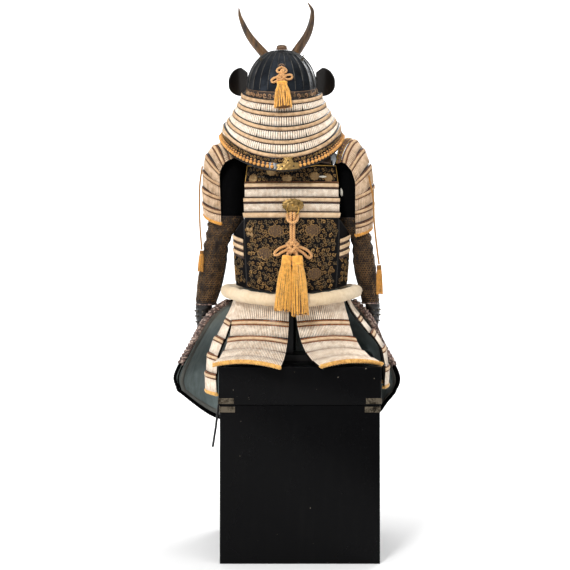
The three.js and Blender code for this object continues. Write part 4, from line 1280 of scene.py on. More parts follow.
@dataclass
class LacedWall:
    """A wall of lames that overlap, each laced over its whole face.

    Args:
        surface: Where its face lies.
        count: How many lames it has.
        lacing: How they are laced.
        thickness: How thick the wall is below the surface.
        step: How far each lame's head stands out over the lacing above it.
        first: The same for the first lame.
        start: The share of the surface above the first lame.
        columns: How many columns the wall's mesh has.
        tuck: The share of each lame's foot that the next one hides.
        heads: The share of the way down where each lame begins, and 1, or None where all are alike.
        bare: The shares of the width between which a hem has no beads or knots.
    """

    surface: Surface
    count: int
    lacing: Lacing
    thickness: float = 4.0
    step: float = 4.0
    first: float = 4.0
    start: float = 0.0
    columns: int = 64
    tuck: float = 0.012
    heads: Optional[tuple[float, ...]] = None
    bare: tuple[float, float] = (2.0, 2.0)

    def bounds(self) -> Array:
        """Give the share of the way down where each lame begins, and 1."""
        return np.array(self.heads or np.linspace(0, 1, self.count + 1))

    def lift(self, u: Array, v: Array) -> Array:
        """Say how far the wall's outside stands above the surface."""
        place, bounds = (v - self.start) / (1 - self.start), self.bounds()
        k = np.clip(np.searchsorted(bounds, place + 1e-9, side="right") - 1, 0, self.count - 1)
        share = (place - bounds[k]) / (bounds[k + 1] - bounds[k])
        proud = np.where(k == 0, self.first, self.step) * (1 - share)
        ramp = self.first * np.clip(v / max(self.start, 1e-6), 0, 1)
        return np.where(place < -1e-9, ramp, proud)

    def ends(self, k: int) -> tuple[float, float]:
        """Give the places down the surface of a lame's head and foot."""
        tuck = self.tuck if k < self.count - 1 else 0.0
        low, high = self.bounds()[k], self.bounds()[k + 1] - tuck
        return self.start + (1 - self.start) * low, self.start + (1 - self.start) * high

    def plate(self, name: str, material: bpy.types.Material, hung: bool = True) -> bpy.types.Object:
        """Build the lames themselves as one closed wall, with what they hang from if hung."""
        vs = list(np.linspace(0, self.start, 9)[:-1]) if self.start and hung else []
        for k in range(self.count):
            head, foot = self.ends(k)
            vs += list(np.linspace(head, foot, 6))
        us = np.linspace(0, 1, self.columns)
        return Wall(self.surface, us, vs, self.lift, self.thickness).build(name, material)

    def even(self, v: float, pitch: float) -> tuple[Array, float]:
        """Share a course out across the wall.

        Args:
            v: Where the course lies.
            pitch: The space wanted for each.

        Returns:
            The middle of each share, and the space that each has in millimetres.
        """
        u = np.linspace(0, 1, 240)
        run = np.concatenate([[0], np.cumsum(np.linalg.norm(
            np.diff(self.surface(u, u * 0 + v), axis=0), axis=1))])
        count = max(2, round(run[-1] / pitch))
        return np.interp((np.arange(count) + 0.5) / count * run[-1], run, u), run[-1] / count

    def on(self, u: Array, v: Array, proud: float | Array = 0.0) -> Array:
        """Give points on the lames' outside, and proud of it."""
        normal = normal_of(self.surface, u, v)
        return self.surface(u, v) + normal * (self.lift(u, v) + proud)[..., None]

    def down(self, k: int, u: Array, depth: float) -> Array:
        """Give the place that lies this many millimetres below a lame's head."""
        head, foot = self.ends(k)
        length = np.linalg.norm(self.surface(u, u * 0 + foot) - self.surface(u, u * 0 + head), axis=-1)
        return head + (foot - head) * depth / length

    def depth(self, k: int) -> float:
        """Give a lame's height along its face at its middle."""
        head, foot = self.ends(k)
        middle = np.array([0.5])
        return float(np.linalg.norm(self.surface(middle, middle * 0 + foot) - \
                     self.surface(middle, middle * 0 + head)))

    def laid(
        self, k: int, top: float, foot: float, pitch: float, width: float, thick: float, whole: bool = True
    ) -> dict[str, Array]:
        """Place one course's shapes between two depths below a lame's head.

        Args:
            k: Which lame.
            top: The course's upper edge.
            foot: Its lower edge.
            pitch: The space wanted from one to the next.
            width: The share of that space that each fills.
            thick: How thick each is.
            whole: Whether it runs right across.

        Returns:
            Places, side and out vectors, and sizes.
        """
        u, space = self.even(sum(self.ends(k)) / 2, pitch)
        u = u[whole | (u < self.bare[0]) | (u > self.bare[1])]
        high, low = self.down(k, u, top), self.down(k, u, foot)
        middle = (high + low) / 2
        a, b = self.on(u, high), self.on(u, low)
        down = b - a
        length = np.linalg.norm(down, axis=-1)
        down = unit(down)
        out = normal_of(self.surface, u, middle)
        out = unit(out - down * (out * down).sum(axis=-1, keepdims=True))
        side = np.cross(down, out)
        size = stack(space * width, length, thick)
        return {"places": (a + b) / 2 + out * thick * 0.28, "side": side, "out": out, "size": size}

    def lace(self, name: str, shop: Workshop, silks: Silks) -> list[bpy.types.Object]:
        """Lay every course on the lames.

        Args:
            name: What the pieces' names start with.
            shop: The workshop that grows them.
            silks: What each course is made of.

        Returns:
            One object for each kind of course.
        """
        laid: dict[Course, list[dict[str, Array]]] = {}
        rims, radii = [], []
        for k in range(self.count):
            last = k >= self.count - self.lacing.last_count and self.lacing.last
            courses = self.lacing.last if last else self.lacing.courses
            spare = self.depth(k) - sum(height for _, height in courses)
            top = 0.0
            for course, height in courses:
                height = height or spare
                foot, pitch = top + height, self.lacing.pitch
                if course is Course.RIM:
                    u = np.linspace(0.002, 0.998, self.columns * 2)
                    rims.append(self.on(u, self.down(k, u, (top + foot) / 2), height * 0.12))
                    radii.append(height / 2)
                elif course is Course.BAND:
                    laid.setdefault(
    course, []).append(
        self.laid(
            k, top, foot, max(
                3.6, pitch * 0.62), 1.0, 4.8))
                elif course is Course.STITCH:
                    laid.setdefault(course, []).append(self.laid(k, top + 0.2, foot - 0.2, pitch, 0.72, 2.6))
                elif course is Course.LACE:
                    laid.setdefault(course, []).append(self.laid(k, top, foot + 0.6, pitch, 0.8, 3.4))
                elif course is Course.BEAD:
                    laid.setdefault(
    course,
    []).append(
        self.laid(
            k,
            top + 0.2,
            foot - 0.4,
            12.3,
            0.6,
            5.0,
             False))
                elif course is Course.KNOT:
                    laid.setdefault(
    course,
    []).append(
        self.laid(
            k,
            top + 0.2,
            foot - 0.2,
            12.3,
            0.84,
            10.0,
             False))
                top = foot
        looks = {
            Course.BAND: (Bead.PILLOW, silks.band, 0.35, 0.25),
            Course.STITCH: (Bead.PILLOW, silks.stitch, 0.4, 0.3),
            Course.LACE: (Bead.PILLOW, silks.lace, 0.8, 0.04),
            Course.BEAD: (Bead.DOME, silks.bead, 0.5, 0.2),
            Course.KNOT: (Bead.DOME, silks.knot, 0.6, 0.35),
        }
        made = []
        for course, groups in laid.items():
            bead, material, roundness, draw_in = looks[course]
            merged = {key: np.concatenate([group[key] for group in groups]) for key in groups[0]}
            made.append(
                shop.field(
    f"{name}_{course.value}",
    bead,
    **merged,
    material=material,
    roundness=roundness,
     draw_in=draw_in)
            )
        if rims:
            made.append(shop.tubes(f"{name}_rim", rims, radii, silks.rim, 6))
        return made

    def hem(self, name: str, shop: Workshop, material: bpy.types.Material,
            radius: float = 3.0) -> bpy.types.Object:
        """Lay a twisted rope along the last lame's foot."""
        u = np.linspace(0.0, 1.0, self.columns * 3)
        line = self.on(u, u * 0 + self.ends(self.count - 1)[1], -self.thickness * 0.3)
        return shop.ropes(name, [line], material, radius, radius * 0.92, radius * 4.2, 2, 2.2)


def thinned(line: Array) -> Array:
    """Keep two in three of a line's points, with both its ends."""
    return line[np.linspace(0, len(line) - 1, max(2, 2 * len(line) // 3)).astype(int)]


@dataclass(frozen=True)
class Scroll:
    """A printed pattern of curling vines, leaves and peonies, laid out flat.

    Args:
        width: The width of the ground.
        height: Its height.
        pitch: The space from one curl to the next.
        peonies: The middle of each peony, from the ground's middle.
        bloom: The width of a peony.
        line: The vines' half width.
        seed: Which layout.
    """

    width: float
    height: float
    pitch: float = 17.0
    peonies: tuple[tuple[float, float], ...] = ()
    bloom: float = 44.0
    line: float = 0.95
    seed: int = 1

    def inside(self, line: Array) -> bool:
        """Say whether a line stays on the ground and clear of the peonies."""
        if np.abs(line[:, 0]).max() > self.width / 2 or np.abs(line[:, 1]).max() > self.height / 2 + 1:
            return False
        return not self.covered(line.mean(axis=0), 0.5)

    def covered(self, point: Array, share: float) -> bool:
        """Say whether a peony lies at a point."""
        return any(
            math.hypot((point[0] - x) / self.bloom, (point[1] - y) / (self.bloom * 0.75)) < share
            for x, y in self.peonies
        )

    def vines(self) -> tuple[list[Array], list[tuple[Array, float, float]]]:
        """Draw the vines.

        Returns:
            The lines, and the leaves as a point, a heading in radians and a length.
        """
        rng = np.random.default_rng(self.seed)
        lines: list[Array] = []
        leaves: list[tuple[Array, float, float]] = []
        reach = 0.6 * self.pitch
        rows = max(1, int((self.height - 2 * reach) / (self.pitch * 0.84)) + 1)
        rise, columns = (self.height - 2 * reach) / max(1, rows - 1), int(self.width / self.pitch) + 2
        for r in range(rows):
            for c in range(columns):
                hub = np.array([(c + 0.5 * (r % 2) - columns / 2) * self.pitch, (r - (rows - 1) / 2) * rise])
                hub = hub + rng.normal(0, self.pitch * 0.07, 2) * (rows > 1)
                side, start = (1, -1)[(r + c) % 2], rng.uniform(0, 2 * math.pi)
                self.curl(hub, side, start, lines, leaves)
        return lines, leaves

    def curl(
        self, hub: Array, side: int, start: float, lines: list[Array], leaves: list[tuple[Array, float, float]]
    ) -> None:
        """Add one curl, its stem and its leaves where there is room for it."""
        turn = np.linspace(0, 1, 22)
        reach = self.pitch * (0.56 - 0.46 * turn**0.7)
        angle = start + side * turn * 2.3 * math.pi
        line = hub + np.column_stack([np.cos(angle), np.sin(angle)]) * reach[:, None]
        if not self.inside(line):
            return
        lines.append(line)
        for k, lean, size in ((3, 0.7, 0.32), (9, -0.8, 0.26), (21, 0.2, 0.3)):
            away = angle[k] + side * (math.pi / 2 - lean)
            tip = line[k] + 0.17 * self.pitch * np.array([math.cos(away), math.sin(away)])
            leaves.append((tip, away, size * self.pitch))

    def petals(self) -> list[tuple[Array, float, float, float]]:
        """Lay out the peonies' petals, each as a point, a heading, a length and a width."""
        made = []
        for x, y in self.peonies:
            hub = np.array([x, y])
            for count, reach, long, wide, lean in (
                (9, 0.36, 0.3, 0.3, 0.0), (6, 0.2, 0.26, 0.26, 0.3), (3, 0.06, 0.2, 0.2, 0.1)):
                for k in range(count):
                    angle = 2 * math.pi * (k + lean) / count
                    aim = np.array([math.cos(angle), 0.72 * math.sin(angle)])
                    heading_2d = math.atan2(aim[1], aim[0])
                    made.append(
    (hub + aim * self.bloom * reach,
    heading_2d,
    self.bloom * long,
     self.bloom * wide))
        return made

    def outlines(self) -> list[Array]:
        """Draw the outer edge of each peony's petals."""
        sweep = np.linspace(-1.5, 1.5, 9)
        made = []
        for point, turn, length, _ in self.petals():
            angle = turn + sweep
            made.append(point + np.column_stack([np.cos(angle), np.sin(angle)]) * length * 0.48)
        return made

    def print_on(
        self,
        name: str,
        onto: Callable[[Array, Array], tuple[Array, Array]],
        shop: Workshop,
        gold: bpy.types.Material,
        worn: bpy.types.Material,
        bloom: bpy.types.Material,
        worn_share: float = 0.35,
    ) -> list[bpy.types.Object]:
        """Lay the pattern on a surface in low relief.

        Args:
            name: What the pieces' names start with.
            onto: Gives the point and the outward normal at flat places x and y.
            shop: The workshop that grows the pieces.
            gold: What most of the vines and all of the leaves are printed in.
            worn: What the worn vines are printed in.
            bloom: What the peonies are printed in.
            worn_share: How many of the vines are worn.

        Returns:
            The vines, the leaves and the peonies.
        """
        rng = np.random.default_rng(self.seed + 7)
        lines, leaves = self.vines()
        made = []
        picks = rng.random(len(lines)) < worn_share
        edges = self.outlines()
        lines, picks = lines + edges, np.append(picks, np.zeros(len(edges), bool))
        for faded in (False, True):
            chosen = [thinned(line) for line, pick in zip(lines, picks) if pick == faded]
            if chosen:
                placed = []
                for line in chosen:
                    point, normal = onto(line[:, 0], line[:, 1])
                    placed.append(point + normal * 0.15)
                wide = [self.line * (1.25 - 0.5 * np.abs(np.linspace(-1, 1, len(line)))) for line in chosen]
                title = f"{name}_{'worn_' if faded else ''}vines"
                made.append(shop.tubes(title, placed, wide, worn if faded else gold, 3))
        if leaves:
            made.append(self.scatter(f"{name}_leaves", leaves, onto, shop, gold, 0.5, 1.6, Bead.LEAF))
        petals = self.petals()
        if petals:
            flat = [(p, a, long) for p, a, long, _ in petals]
            made.append(self.scatter(f"{name}_peonies", flat, onto, shop, bloom, 0.92, 2.0, Bead.PILLOW))
        return made

    def scatter(
        self,
        name: str,
        leaves: list[tuple[Array, float, float]],
        onto: Callable[[Array, Array], tuple[Array, Array]],
        shop: Workshop,
        material: bpy.types.Material,
        wide: float,
        thick: float,
        bead: Bead,
    ) -> bpy.types.Object:
        """Lay leaves or petals on the surface."""
        points = np.array([point for point, _, _ in leaves])
        turns = np.array([turn for _, turn, _ in leaves])
        lengths = np.array([length for _, _, length in leaves])
        place, normal = onto(points[:, 0], points[:, 1])
        ahead, _ = onto(points[:, 0] + 0.5 * np.cos(turns), points[:, 1] + 0.5 * np.sin(turns))
        along = unit(ahead - place)
        side = np.cross(along, normal)
        size = stack(lengths * wide, lengths, thick)
        return shop.field(name, bead, place + normal * 0.1, side, normal, size,
                          material, 0.45, 0.75 if bead is Bead.LEAF else 0.5)


def flat_map(surface: Surface, v_middle: float,
             proud: float = 0.0) -> Callable[[Array, Array], tuple[Array, Array]]:
    """Map flat places in millimetres onto a surface, from its middle.

    Args:
        surface: The surface, with u and v from 0 to 1.
        v_middle: The place down the surface whose width sets the scale across.
        proud: How far above the surface the points stand.

    Returns:
        A function from x towards the surface's start, and y up, to points and normals.
    """
    u = np.linspace(0, 1, 200)
    steps = np.linalg.norm(np.diff(surface(u, u * 0 + v_middle), axis=0), axis=1)
    run = np.concatenate([[0], np.cumsum(steps)])
    v = np.linspace(0, 1, 200)
    drops = np.linalg.norm(np.diff(surface(v * 0 + 0.5, v), axis=0), axis=1)
    fall = np.concatenate([[0], np.cumsum(drops)])

    def onto(x: Array, y: Array) -> tuple[Array, Array]:
        """Give the points and normals at flat places."""
        across = np.interp(run[-1] / 2 + np.asarray(x), run, u)
        down = np.interp(fall[-1] / 2 - np.asarray(y), fall, v)
        normal = normal_of(surface, across, down)
        return surface(across, down) + normal * proud, normal

    return onto


def flat_size(surface: Surface, v_middle: float = 0.5) -> tuple[float, float]:
    """Give a surface's width at one place down it, and its height at its middle."""
    u = np.linspace(0, 1, 200)
    width = np.linalg.norm(np.diff(surface(u, u * 0 + v_middle), axis=0), axis=1).sum()
    height = np.linalg.norm(np.diff(surface(u * 0 + 0.5, u), axis=0), axis=1).sum()
    return float(width), float(height)


# ---------------------------------------------------------------- cuirass


@dataclass
class Cuirass:
    """The two-part cuirass with its side plates, shoulder straps and pads.

    Args:
        shop: The workshop that grows its small pieces.
        finishes: The finishes.
        laced_foot: The height where the laced lames begin.
        laced_top: The height where they end at the back and at the front.
        top: The height of the top plates at the back and at the front.
        half_angle: How far round each side the back and the front reach.
        side_top: The height of the side plates.
        side_scoop: The depth of the armhole below that.
        plate: The thickness of a plate.
    """

    shop: Workshop
    finishes: Finishes
    laced_foot: float = 909.0
    laced_top: tuple[float, float] = (1000.0, 986.0)
    top: tuple[float, float] = (1050.0, 1032.0)
    half_angle: float = 52.0
    side_top: float = 905.0
    # The ribs take the lighter iron, which paints the highlight along them.
    side_scoop: float = 46.0
    plate: float = 3.0
    strap_inner: float = 58.0
    strap_width: float = 46.0
    strap_thick: float = 5.0
    strap_line: Table = Table(
        (0, 0.3, 0.6, 0.85, 1), ((112, 1058), (74, 1084), (4, 1094), (-62, 1078), (-100, 1044))
    )

    def sheet(self, start: float, end: float, top: Callable, foot: Callable, reach: float = 0.0) -> Surface:
        """Give the surface between two angles and two edges."""

        def at(u: Array, v: Array) -> Array:
            """Give points across u and down v."""
            degrees = start + (end - start) * u
            high, low = top(degrees), foot(degrees)
            return BODY.at(degrees, high + (low - high) * v, reach)

        return at

    def edge(self, name: str, surface: Surface, material: bpy.types.Material,
             radius: float = 1.7) -> bpy.types.Object:
        """Bind a plate's whole edge with a rolled rim."""
        u, v = edge_loop(0.005, 90)
        line = surface(u, v) - normal_of(surface, u, v) * self.plate * 0.4
        return self.shop.tubes(name, [line], [radius], material, 8, closed=True)

    def build(self) -> None:
        """Build and dress every plate."""
        for n, (side, middle) in enumerate((("back", 0.0), ("front", 180.0))):
            start, end = middle - self.half_angle, middle + self.half_angle
            level = lambda z: lambda degrees: degrees * 0 + z
            waist = self.sheet(start, end, level(self.laced_foot - GAP), BODY.waist)
            self.printed(f"cuirass_{side}_waist", waist, n)
            laced = self.sheet(start, end, level(self.laced_top[n]), level(self.laced_foot), 1.0)
            self.laced(f"cuirass_{side}_laced", laced)

            def neck(degrees: Array) -> Array:
                """Give the height of the top plate's upper edge, cut out for the neck."""
                away = np.abs(degrees - middle) / (self.half_angle - 8)
                return self.top[n] - (6, 16)[n] * (1 - np.minimum(1, away / 0.62) ** 2)

            top = self.sheet(start - 3, end + 3, neck, level(self.laced_top[n] + GAP), 1.0)
            self.top_plate(f"cuirass_{side}_top", top, n)
        for side, middle in (("left", 90.0), ("right", 270.0)):
            half = 90 - self.half_angle - 0.3

            def armhole(degrees: Array) -> Array:
                """Give the height of the side plate's scooped upper edge."""
                return self.side_top - self.side_scoop * np.cos((degrees - middle) / half * math.pi / 2)

            plate = self.sheet(middle - half, middle + half, armhole, BODY.waist)
            self.side_plate(f"cuirass_side_{side}", plate, side)
        self.straps()

    def printed(self, name: str, surface: Surface, n: int) -> None:
        """Build the waist plate, covered in printed leather."""
        wall = Wall(surface, np.linspace(0, 1, 90), np.linspace(0, 1, 50), 0.0, self.plate)
        place_piece(wall.build(f"{name}_plate", self.finishes.print_ground), "printed_leather", name)
        width, height = flat_size(surface)
        blooms = ((((-57, 68), (42, 66), (74, 4), (-64, -52)), ((-50, 54), (52, 40), (0, -44)))[n])
        scroll = Scroll(width - 6, height - 6, 14.5, blooms, 42, line=1.25, seed=3 + n)
        self.scrollwork(name, scroll, flat_map(surface, 0.5), "peony")
        if n == 0:
            patches = [(np.array([112.0 + a, 54.0 + b]), turn, 15.0)
                        for a, b, turn in ((0, 0, 1.3), (11, 3, 0.4), (3, 15, 2.2), (13, 16, 1.0))]
            patch = scroll.scatter(
                f"{name}_patch", patches, flat_map(
    surface, 0.5), self.shop, self.finishes.patch_gold, 0.7, 1.8, Bead.LEAF
            )
            place_piece(patch, "printed_leather")
        place_piece(self.edge(f"{name}_edge", surface, self.finishes.rim_lacquer), "chest_lacquer")

    def scrollwork(self, name: str, scroll: Scroll, onto: Callable,
                   bloom: str, worn_share: float = 0.4) -> None:
        """Print scrolls and peonies on a plate."""
        finishes = self.finishes
        bloom_print = getattr(finishes, bloom)
        for piece in scroll.print_on(name, onto, self.shop, finishes.scroll_gold,
                                     finishes.scroll_grey, bloom_print, worn_share):
            place_piece(piece, "printed_leather")

    def laced(self, name: str, surface: Surface) -> None:
        """Build the three laced lames."""
        lames = LacedWall(surface, 3, CLOSE, columns=70, heads=(0, 0.43, 0.86, 1), tuck=0.004)
        place_piece(lames.plate(f"{name}_lames", self.finishes.plate_lacquer), "lacing", name)
        for piece in lames.lace(name, self.shop, Silks.pick(
            self.finishes, "white_lace", "cream_lace", "brown_stitch")):
            place_piece(piece, "lacing")

    def stubs(self, name: str, plate: Surface, sign: int) -> None:
        """Lace three short bands on a side plate beside the back."""

        def part(u: Array, v: Array) -> Array:
            """Give a point on the laced part, which climbs away from the back."""
            away = u if sign > 0 else 1 - u
            degrees = sign * (53.0 + 23.0 * away)
            return BODY.at(degrees, 850.0 + 12 * away - 55 * v, 1.2)

        lames = LacedWall(part, 3, Lacing(((Course.BAND, 10.0), (Course.STITCH, 0)),
                          pitch=4.4), 1.0, 2.0, 2.0, columns=16)
        place_piece(lames.plate(f"{name}_stub_lames", self.finishes.plate_lacquer), "lacing")
        for piece in lames.lace(f"{name}_stub", self.shop, Silks.pick(
            self.finishes, "guard_lace", "cream_lace", "brown_stitch")):
            place_piece(piece, "lacing")

    def top_plate(self, name: str, surface: Surface, n: int) -> None:
        """Build the top plate with its print, edge, seam, laced foot and toggles."""
        wall = Wall(surface, np.linspace(0, 1, 70), np.linspace(0, 1, 16), 0.0, self.plate)
        place_piece(wall.build(f"{name}_plate", self.finishes.print_ground), "printed_leather", name)
        width, height = flat_size(surface)
        blooms = ((110, -10), (12, -9), (-63, -4), (-104, -8), (56, 8))
        scroll = Scroll(width - 8, height - 8, 11, blooms, 27, line=1.0, seed=11 + n)
        onto = flat_map(surface, 0.5)
        self.scrollwork(name, scroll, onto, "patch_gold", 0.6)
        place_piece(self.edge(f"{name}_edge", surface, self.finishes.gilt, 1.9), "gilt")
        u = np.linspace(0.01, 0.99, 2)
        seam = [surface(u * 0 + 0.5, u) + normal_of(surface, u * 0 + 0.5, u) * 0.3]
        place_piece(
    self.shop.tubes(
        f"{name}_seam",
        seam,
        [0.8],
        self.finishes.rim_lacquer,
        6),
         "printed_leather")
        foot = lambda u, v: surface(u, 0.88 + 0.1 * v)
        stripe = LacedWall(foot, 1, Lacing(((Course.STITCH, 0),), pitch=3.6), first=0.4)
        laces = stripe.lace(
    f"{name}_foot",
    self.shop,
    Silks.pick(
        self.finishes,
        "white_lace",
        "cream_lace",
         "guard_stitch"))
        place_piece(laces[0], "lacing")
        for k, (x, material) in enumerate(((84.0, self.finishes.bronze), (-85.0, self.finishes.ivory))):
            point, normal = onto(np.array([x]), np.array([-6.0]))
            ahead, _ = onto(np.array([x + 1.0]), np.array([-6.0]))
            side = unit(np.cross(ahead - point, normal))
            toggle = self.shop.field(f"{name}_toggle_{k}", Bead.PILLOW, point + \
                                     normal * 2.4, side, normal, (6.0, 21.0, 6.0), material, 0.5, 0.5)
            place_piece(toggle, "gilt")

    def side_plate(self, name: str, surface: Surface, side: str) -> None:
        """Build the plate under the arm: printed leather, and three short laced bands beside the back."""
        wall = Wall(surface, np.linspace(0, 1, 60), np.linspace(0, 1, 44), 0.0, self.plate)
        place_piece(wall.build(f"{name}_plate", self.finishes.print_ground), "printed_leather", name)
        width, height = flat_size(surface)
        scroll = Scroll(width - 10, height - 60, 14.5, ((0.0, -10.0),), 42, line=1.25, seed=21 + len(side))
        onto = flat_map(surface, 0.5)
        self.scrollwork(name, scroll, lambda x, y: onto(x, y - 22), "peony")
        place_piece(self.edge(f"{name}_edge", surface, self.finishes.rim_lacquer), "chest_lacquer")
        self.stubs(name, surface, 1 if side == "left" else -1)

    def straps(self) -> None:
        """Build the shoulder straps, their gilt edges and stitching, and the quilted pads beside them."""
        for side, sign in (("left", 1), ("right", -1)):

            def strap(u: Array, v: Array) -> Array:
                """Give a point on the strap's upper face."""
                share = u if sign > 0 else 1 - u
                reach = self.strap_inner + self.strap_width * share
                y, z = self.strap_line.at(v)
                return stack(BODY.middle + sign * reach, y, z - (reach - self.strap_inner) * 0.12)

            name = f"shoulder_strap_{side}"
            crown = lambda u, v: -0.8 + 0.8 * np.sqrt(np.maximum(0, 1 - (2 * u - 1) ** 2))
            wall = Wall(strap, np.linspace(0, 1, 18), np.linspace(0, 1, 60), crown, self.strap_thick)
            place_piece(wall.build(f"{name}_leather", self.finishes.strap_leather), "printed_leather", name)
            v = np.linspace(0.01, 0.99, 100)
            rims = [strap(v * 0 + u, v) for u in (0.02, 0.98)]
            place_piece(self.shop.tubes(f"{name}_edge", rims, [2.0, 2.0], self.finishes.gilt, 8), "gilt")
            v = np.linspace(0.03, 0.97, 60)
            lines = [strap(v * 0 + u, v) + normal_of(strap, v * 0 + u, v) * 0.4 for u in (0.14, 0.86)]
            seam = self.shop.ropes(f"{name}_stitching", lines, self.finishes.cream_lace, 0.7, 0.6, 4.0)
            place_piece(seam, "lacing")
            self.pad(side, sign)

    def pad(self, side: str, sign: int) -> None:
        """Build one quilted pad."""
        width, narrow, droop, start, end = 25.0, 6.0, 12.0, 0.12, 0.76

        def face(u: Array, v: Array) -> Array:
            """Give a point on the pad's upper face."""
            wide = narrow + (width - narrow) * np.minimum(1, v * 1.25)
            away = (u if sign > 0 else 1 - u) * wide
            y, z = self.strap_line.at(start + (end - start) * v)
            reach = self.strap_inner + self.strap_width + 2 + away
            return stack(BODY.middle + sign * reach, y, z - 6 - droop * (away / wide) ** 2)

        def quilt(u: Array, v: Array) -> Array:
            """Swell the pad between its quilted seams."""
            cells = np.abs(np.sin(u * 3 * math.pi)) * np.abs(np.sin(v * 16 * math.pi))
            return -1.4 + 2.2 * cells**0.6

        name = f"shoulder_pad_{side}"
        wall = Wall(face, np.linspace(0, 1, 25), np.linspace(0, 1, 129), quilt, 4.6)
        pad = wall.build(f"{name}_quilt", self.finishes.pad_cloth, 60)
        place_piece(pad, "padding", name)
        v = np.linspace(0.01, 0.99, 80)
        lines = [face(v * 0 + u, v) - normal_of(face, v * 0 + u, v) * 2 for u in (0.0, 1.0)]
        rope = self.shop.ropes(f"{name}_piping", lines, self.finishes.edge_braid, 1.3, 1.2, 7.0)
        place_piece(rope, "padding")


# ---------------------------------------------------------------- sash


@dataclass
class Sash:
    """The wrung cloth sash round the waist.

    Args:
        finishes: The finishes.
        radius: Its half thickness.
        width: Its half width round the waist.
        depth: Its half depth.
        back: Its height at the back.
        side: Its height at the sides.
    """

    finishes: Finishes
    radius: float = 17.5
    width: float = 179.5
    depth: float = 140.0
    back: float = 686.0
    side: float = 706.0

    def face(self, u: Array, v: Array) -> Array:
        """Give a point on its face, with u round the waist and v round its section."""
        around, turn = u * 2 * math.pi, v * 2 * math.pi
        twist = turn + around * 7
        fold = 0.62 * np.abs(np.sin(twist * 1.5)) ** 0.7 + 0.38 * \
                             np.abs(np.sin(twist * 2.5 + 1.3 * np.sin(around * 5)))
        crease = ripple(around * 170, turn * 17, 5, 46) * 0.9
        reach = self.radius * (0.86 + 0.17 * fold) + crease
        lift = (self.side - self.back) * (1 - np.maximum(0, np.sin(around)) ** 2)
        away = reach * np.cos(turn)
        return stack(
            BODY.middle + (self.width + away) * np.cos(around),
            (self.depth + away) * np.sin(around),
            self.back + lift + reach * np.sin(turn),
        )

    def build(self) -> None:
        """Build the sash as one closed ring."""
        rounds, sides = 560, 56
        u, v = np.meshgrid(np.arange(rounds) / rounds, np.arange(sides) / sides, indexing="ij")
        points = self.face(u, v).reshape(-1, 3)
        i, j = (x.ravel() for x in np.meshgrid(np.arange(rounds), np.arange(sides), indexing="ij"))
        at = lambda a, b: (a % rounds) * sides + b % sides
        faces = np.stack([at(i, j), at(i + 1, j), at(i + 1, j + 1), at(i, j + 1)], axis=-1)
        corners = np.stack([np.stack(c, -1)
                           for c in ((i, j), (i + 1, j), (i + 1, j + 1), (i, j + 1))], axis=1)
        uv = corners * np.array([2 * math.pi * 0.16 / rounds, 2 * math.pi * self.radius * MM / sides])
        sash = mesh_from("sash_wrung_cloth", points, faces, self.finishes.sash_cloth, uv, 80)
        place_piece(sash, "sash_cloth", "sash")


# ---------------------------------------------------------------- tassets


@dataclass(frozen=True)
class Hang:
    """Where one tasset hangs and how it falls.

    Args:
        name: Its name.
        hangs: The angle round the waist that it hangs from.
        faces: The angle that its face looks at, at its head.
        turns: How much further round its foot looks.
        falls: The angle that it swings out towards.
        top: Its width at the head.
        foot: Its width at the hem.
        fall: Its reach out from the waist and its height, from head to hem.
        sway: How far each end of its hem curls, in millimetres.
    """

    name: str
    hangs: float
    faces: float
    turns: float
    falls: float
    top: float
    foot: float
    fall: Table
    sway: float = 0.0


FALL_PLACES = (0, 0.2, 0.4, 0.6, 0.8, 1)
ON_LID = Table(FALL_PLACES, ((0, 700), (11, 650), (30, 601), (62, 563), (98, 543), (136, 533)))
OVER_LEFT = Table(FALL_PLACES, ((0, 700), (16, 646), (44, 592), (70, 542), (80, 486), (83, 426)))
OVER_RIGHT = Table(FALL_PLACES, ((0, 700), (22, 652), (60, 608), (99, 564), (115, 508), (117, 446)))
IN_FRONT = Table(FALL_PLACES, ((0, 700), (26, 652), (70, 612), (114, 568), (136, 508), (138, 446)))
FRONT_SIDE = Table(FALL_PLACES, ((0, 700), (36, 658), (94, 622), (152, 578), (176, 514), (178, 448)))
HANGS = (
    Hang("back_left", 34, 20, 0, 15, 150, 190, ON_LID),
    Hang("back_right", -31, -20, 0, -36, 136, 178, ON_LID),
    Hang("side_left", 90, 88, -14, 90, 84, 128, OVER_LEFT),
    Hang("side_right", 270, 272, 0, 270, 84, 128, OVER_RIGHT),
    Hang("front_left", 137, 155, 20, 172, 92, 120, FRONT_SIDE),
    Hang("front_middle", 180, 180, 0, 180, 96, 122, IN_FRONT),
    Hang("front_right", 223, 205, -20, 188, 92, 120, FRONT_SIDE),
)


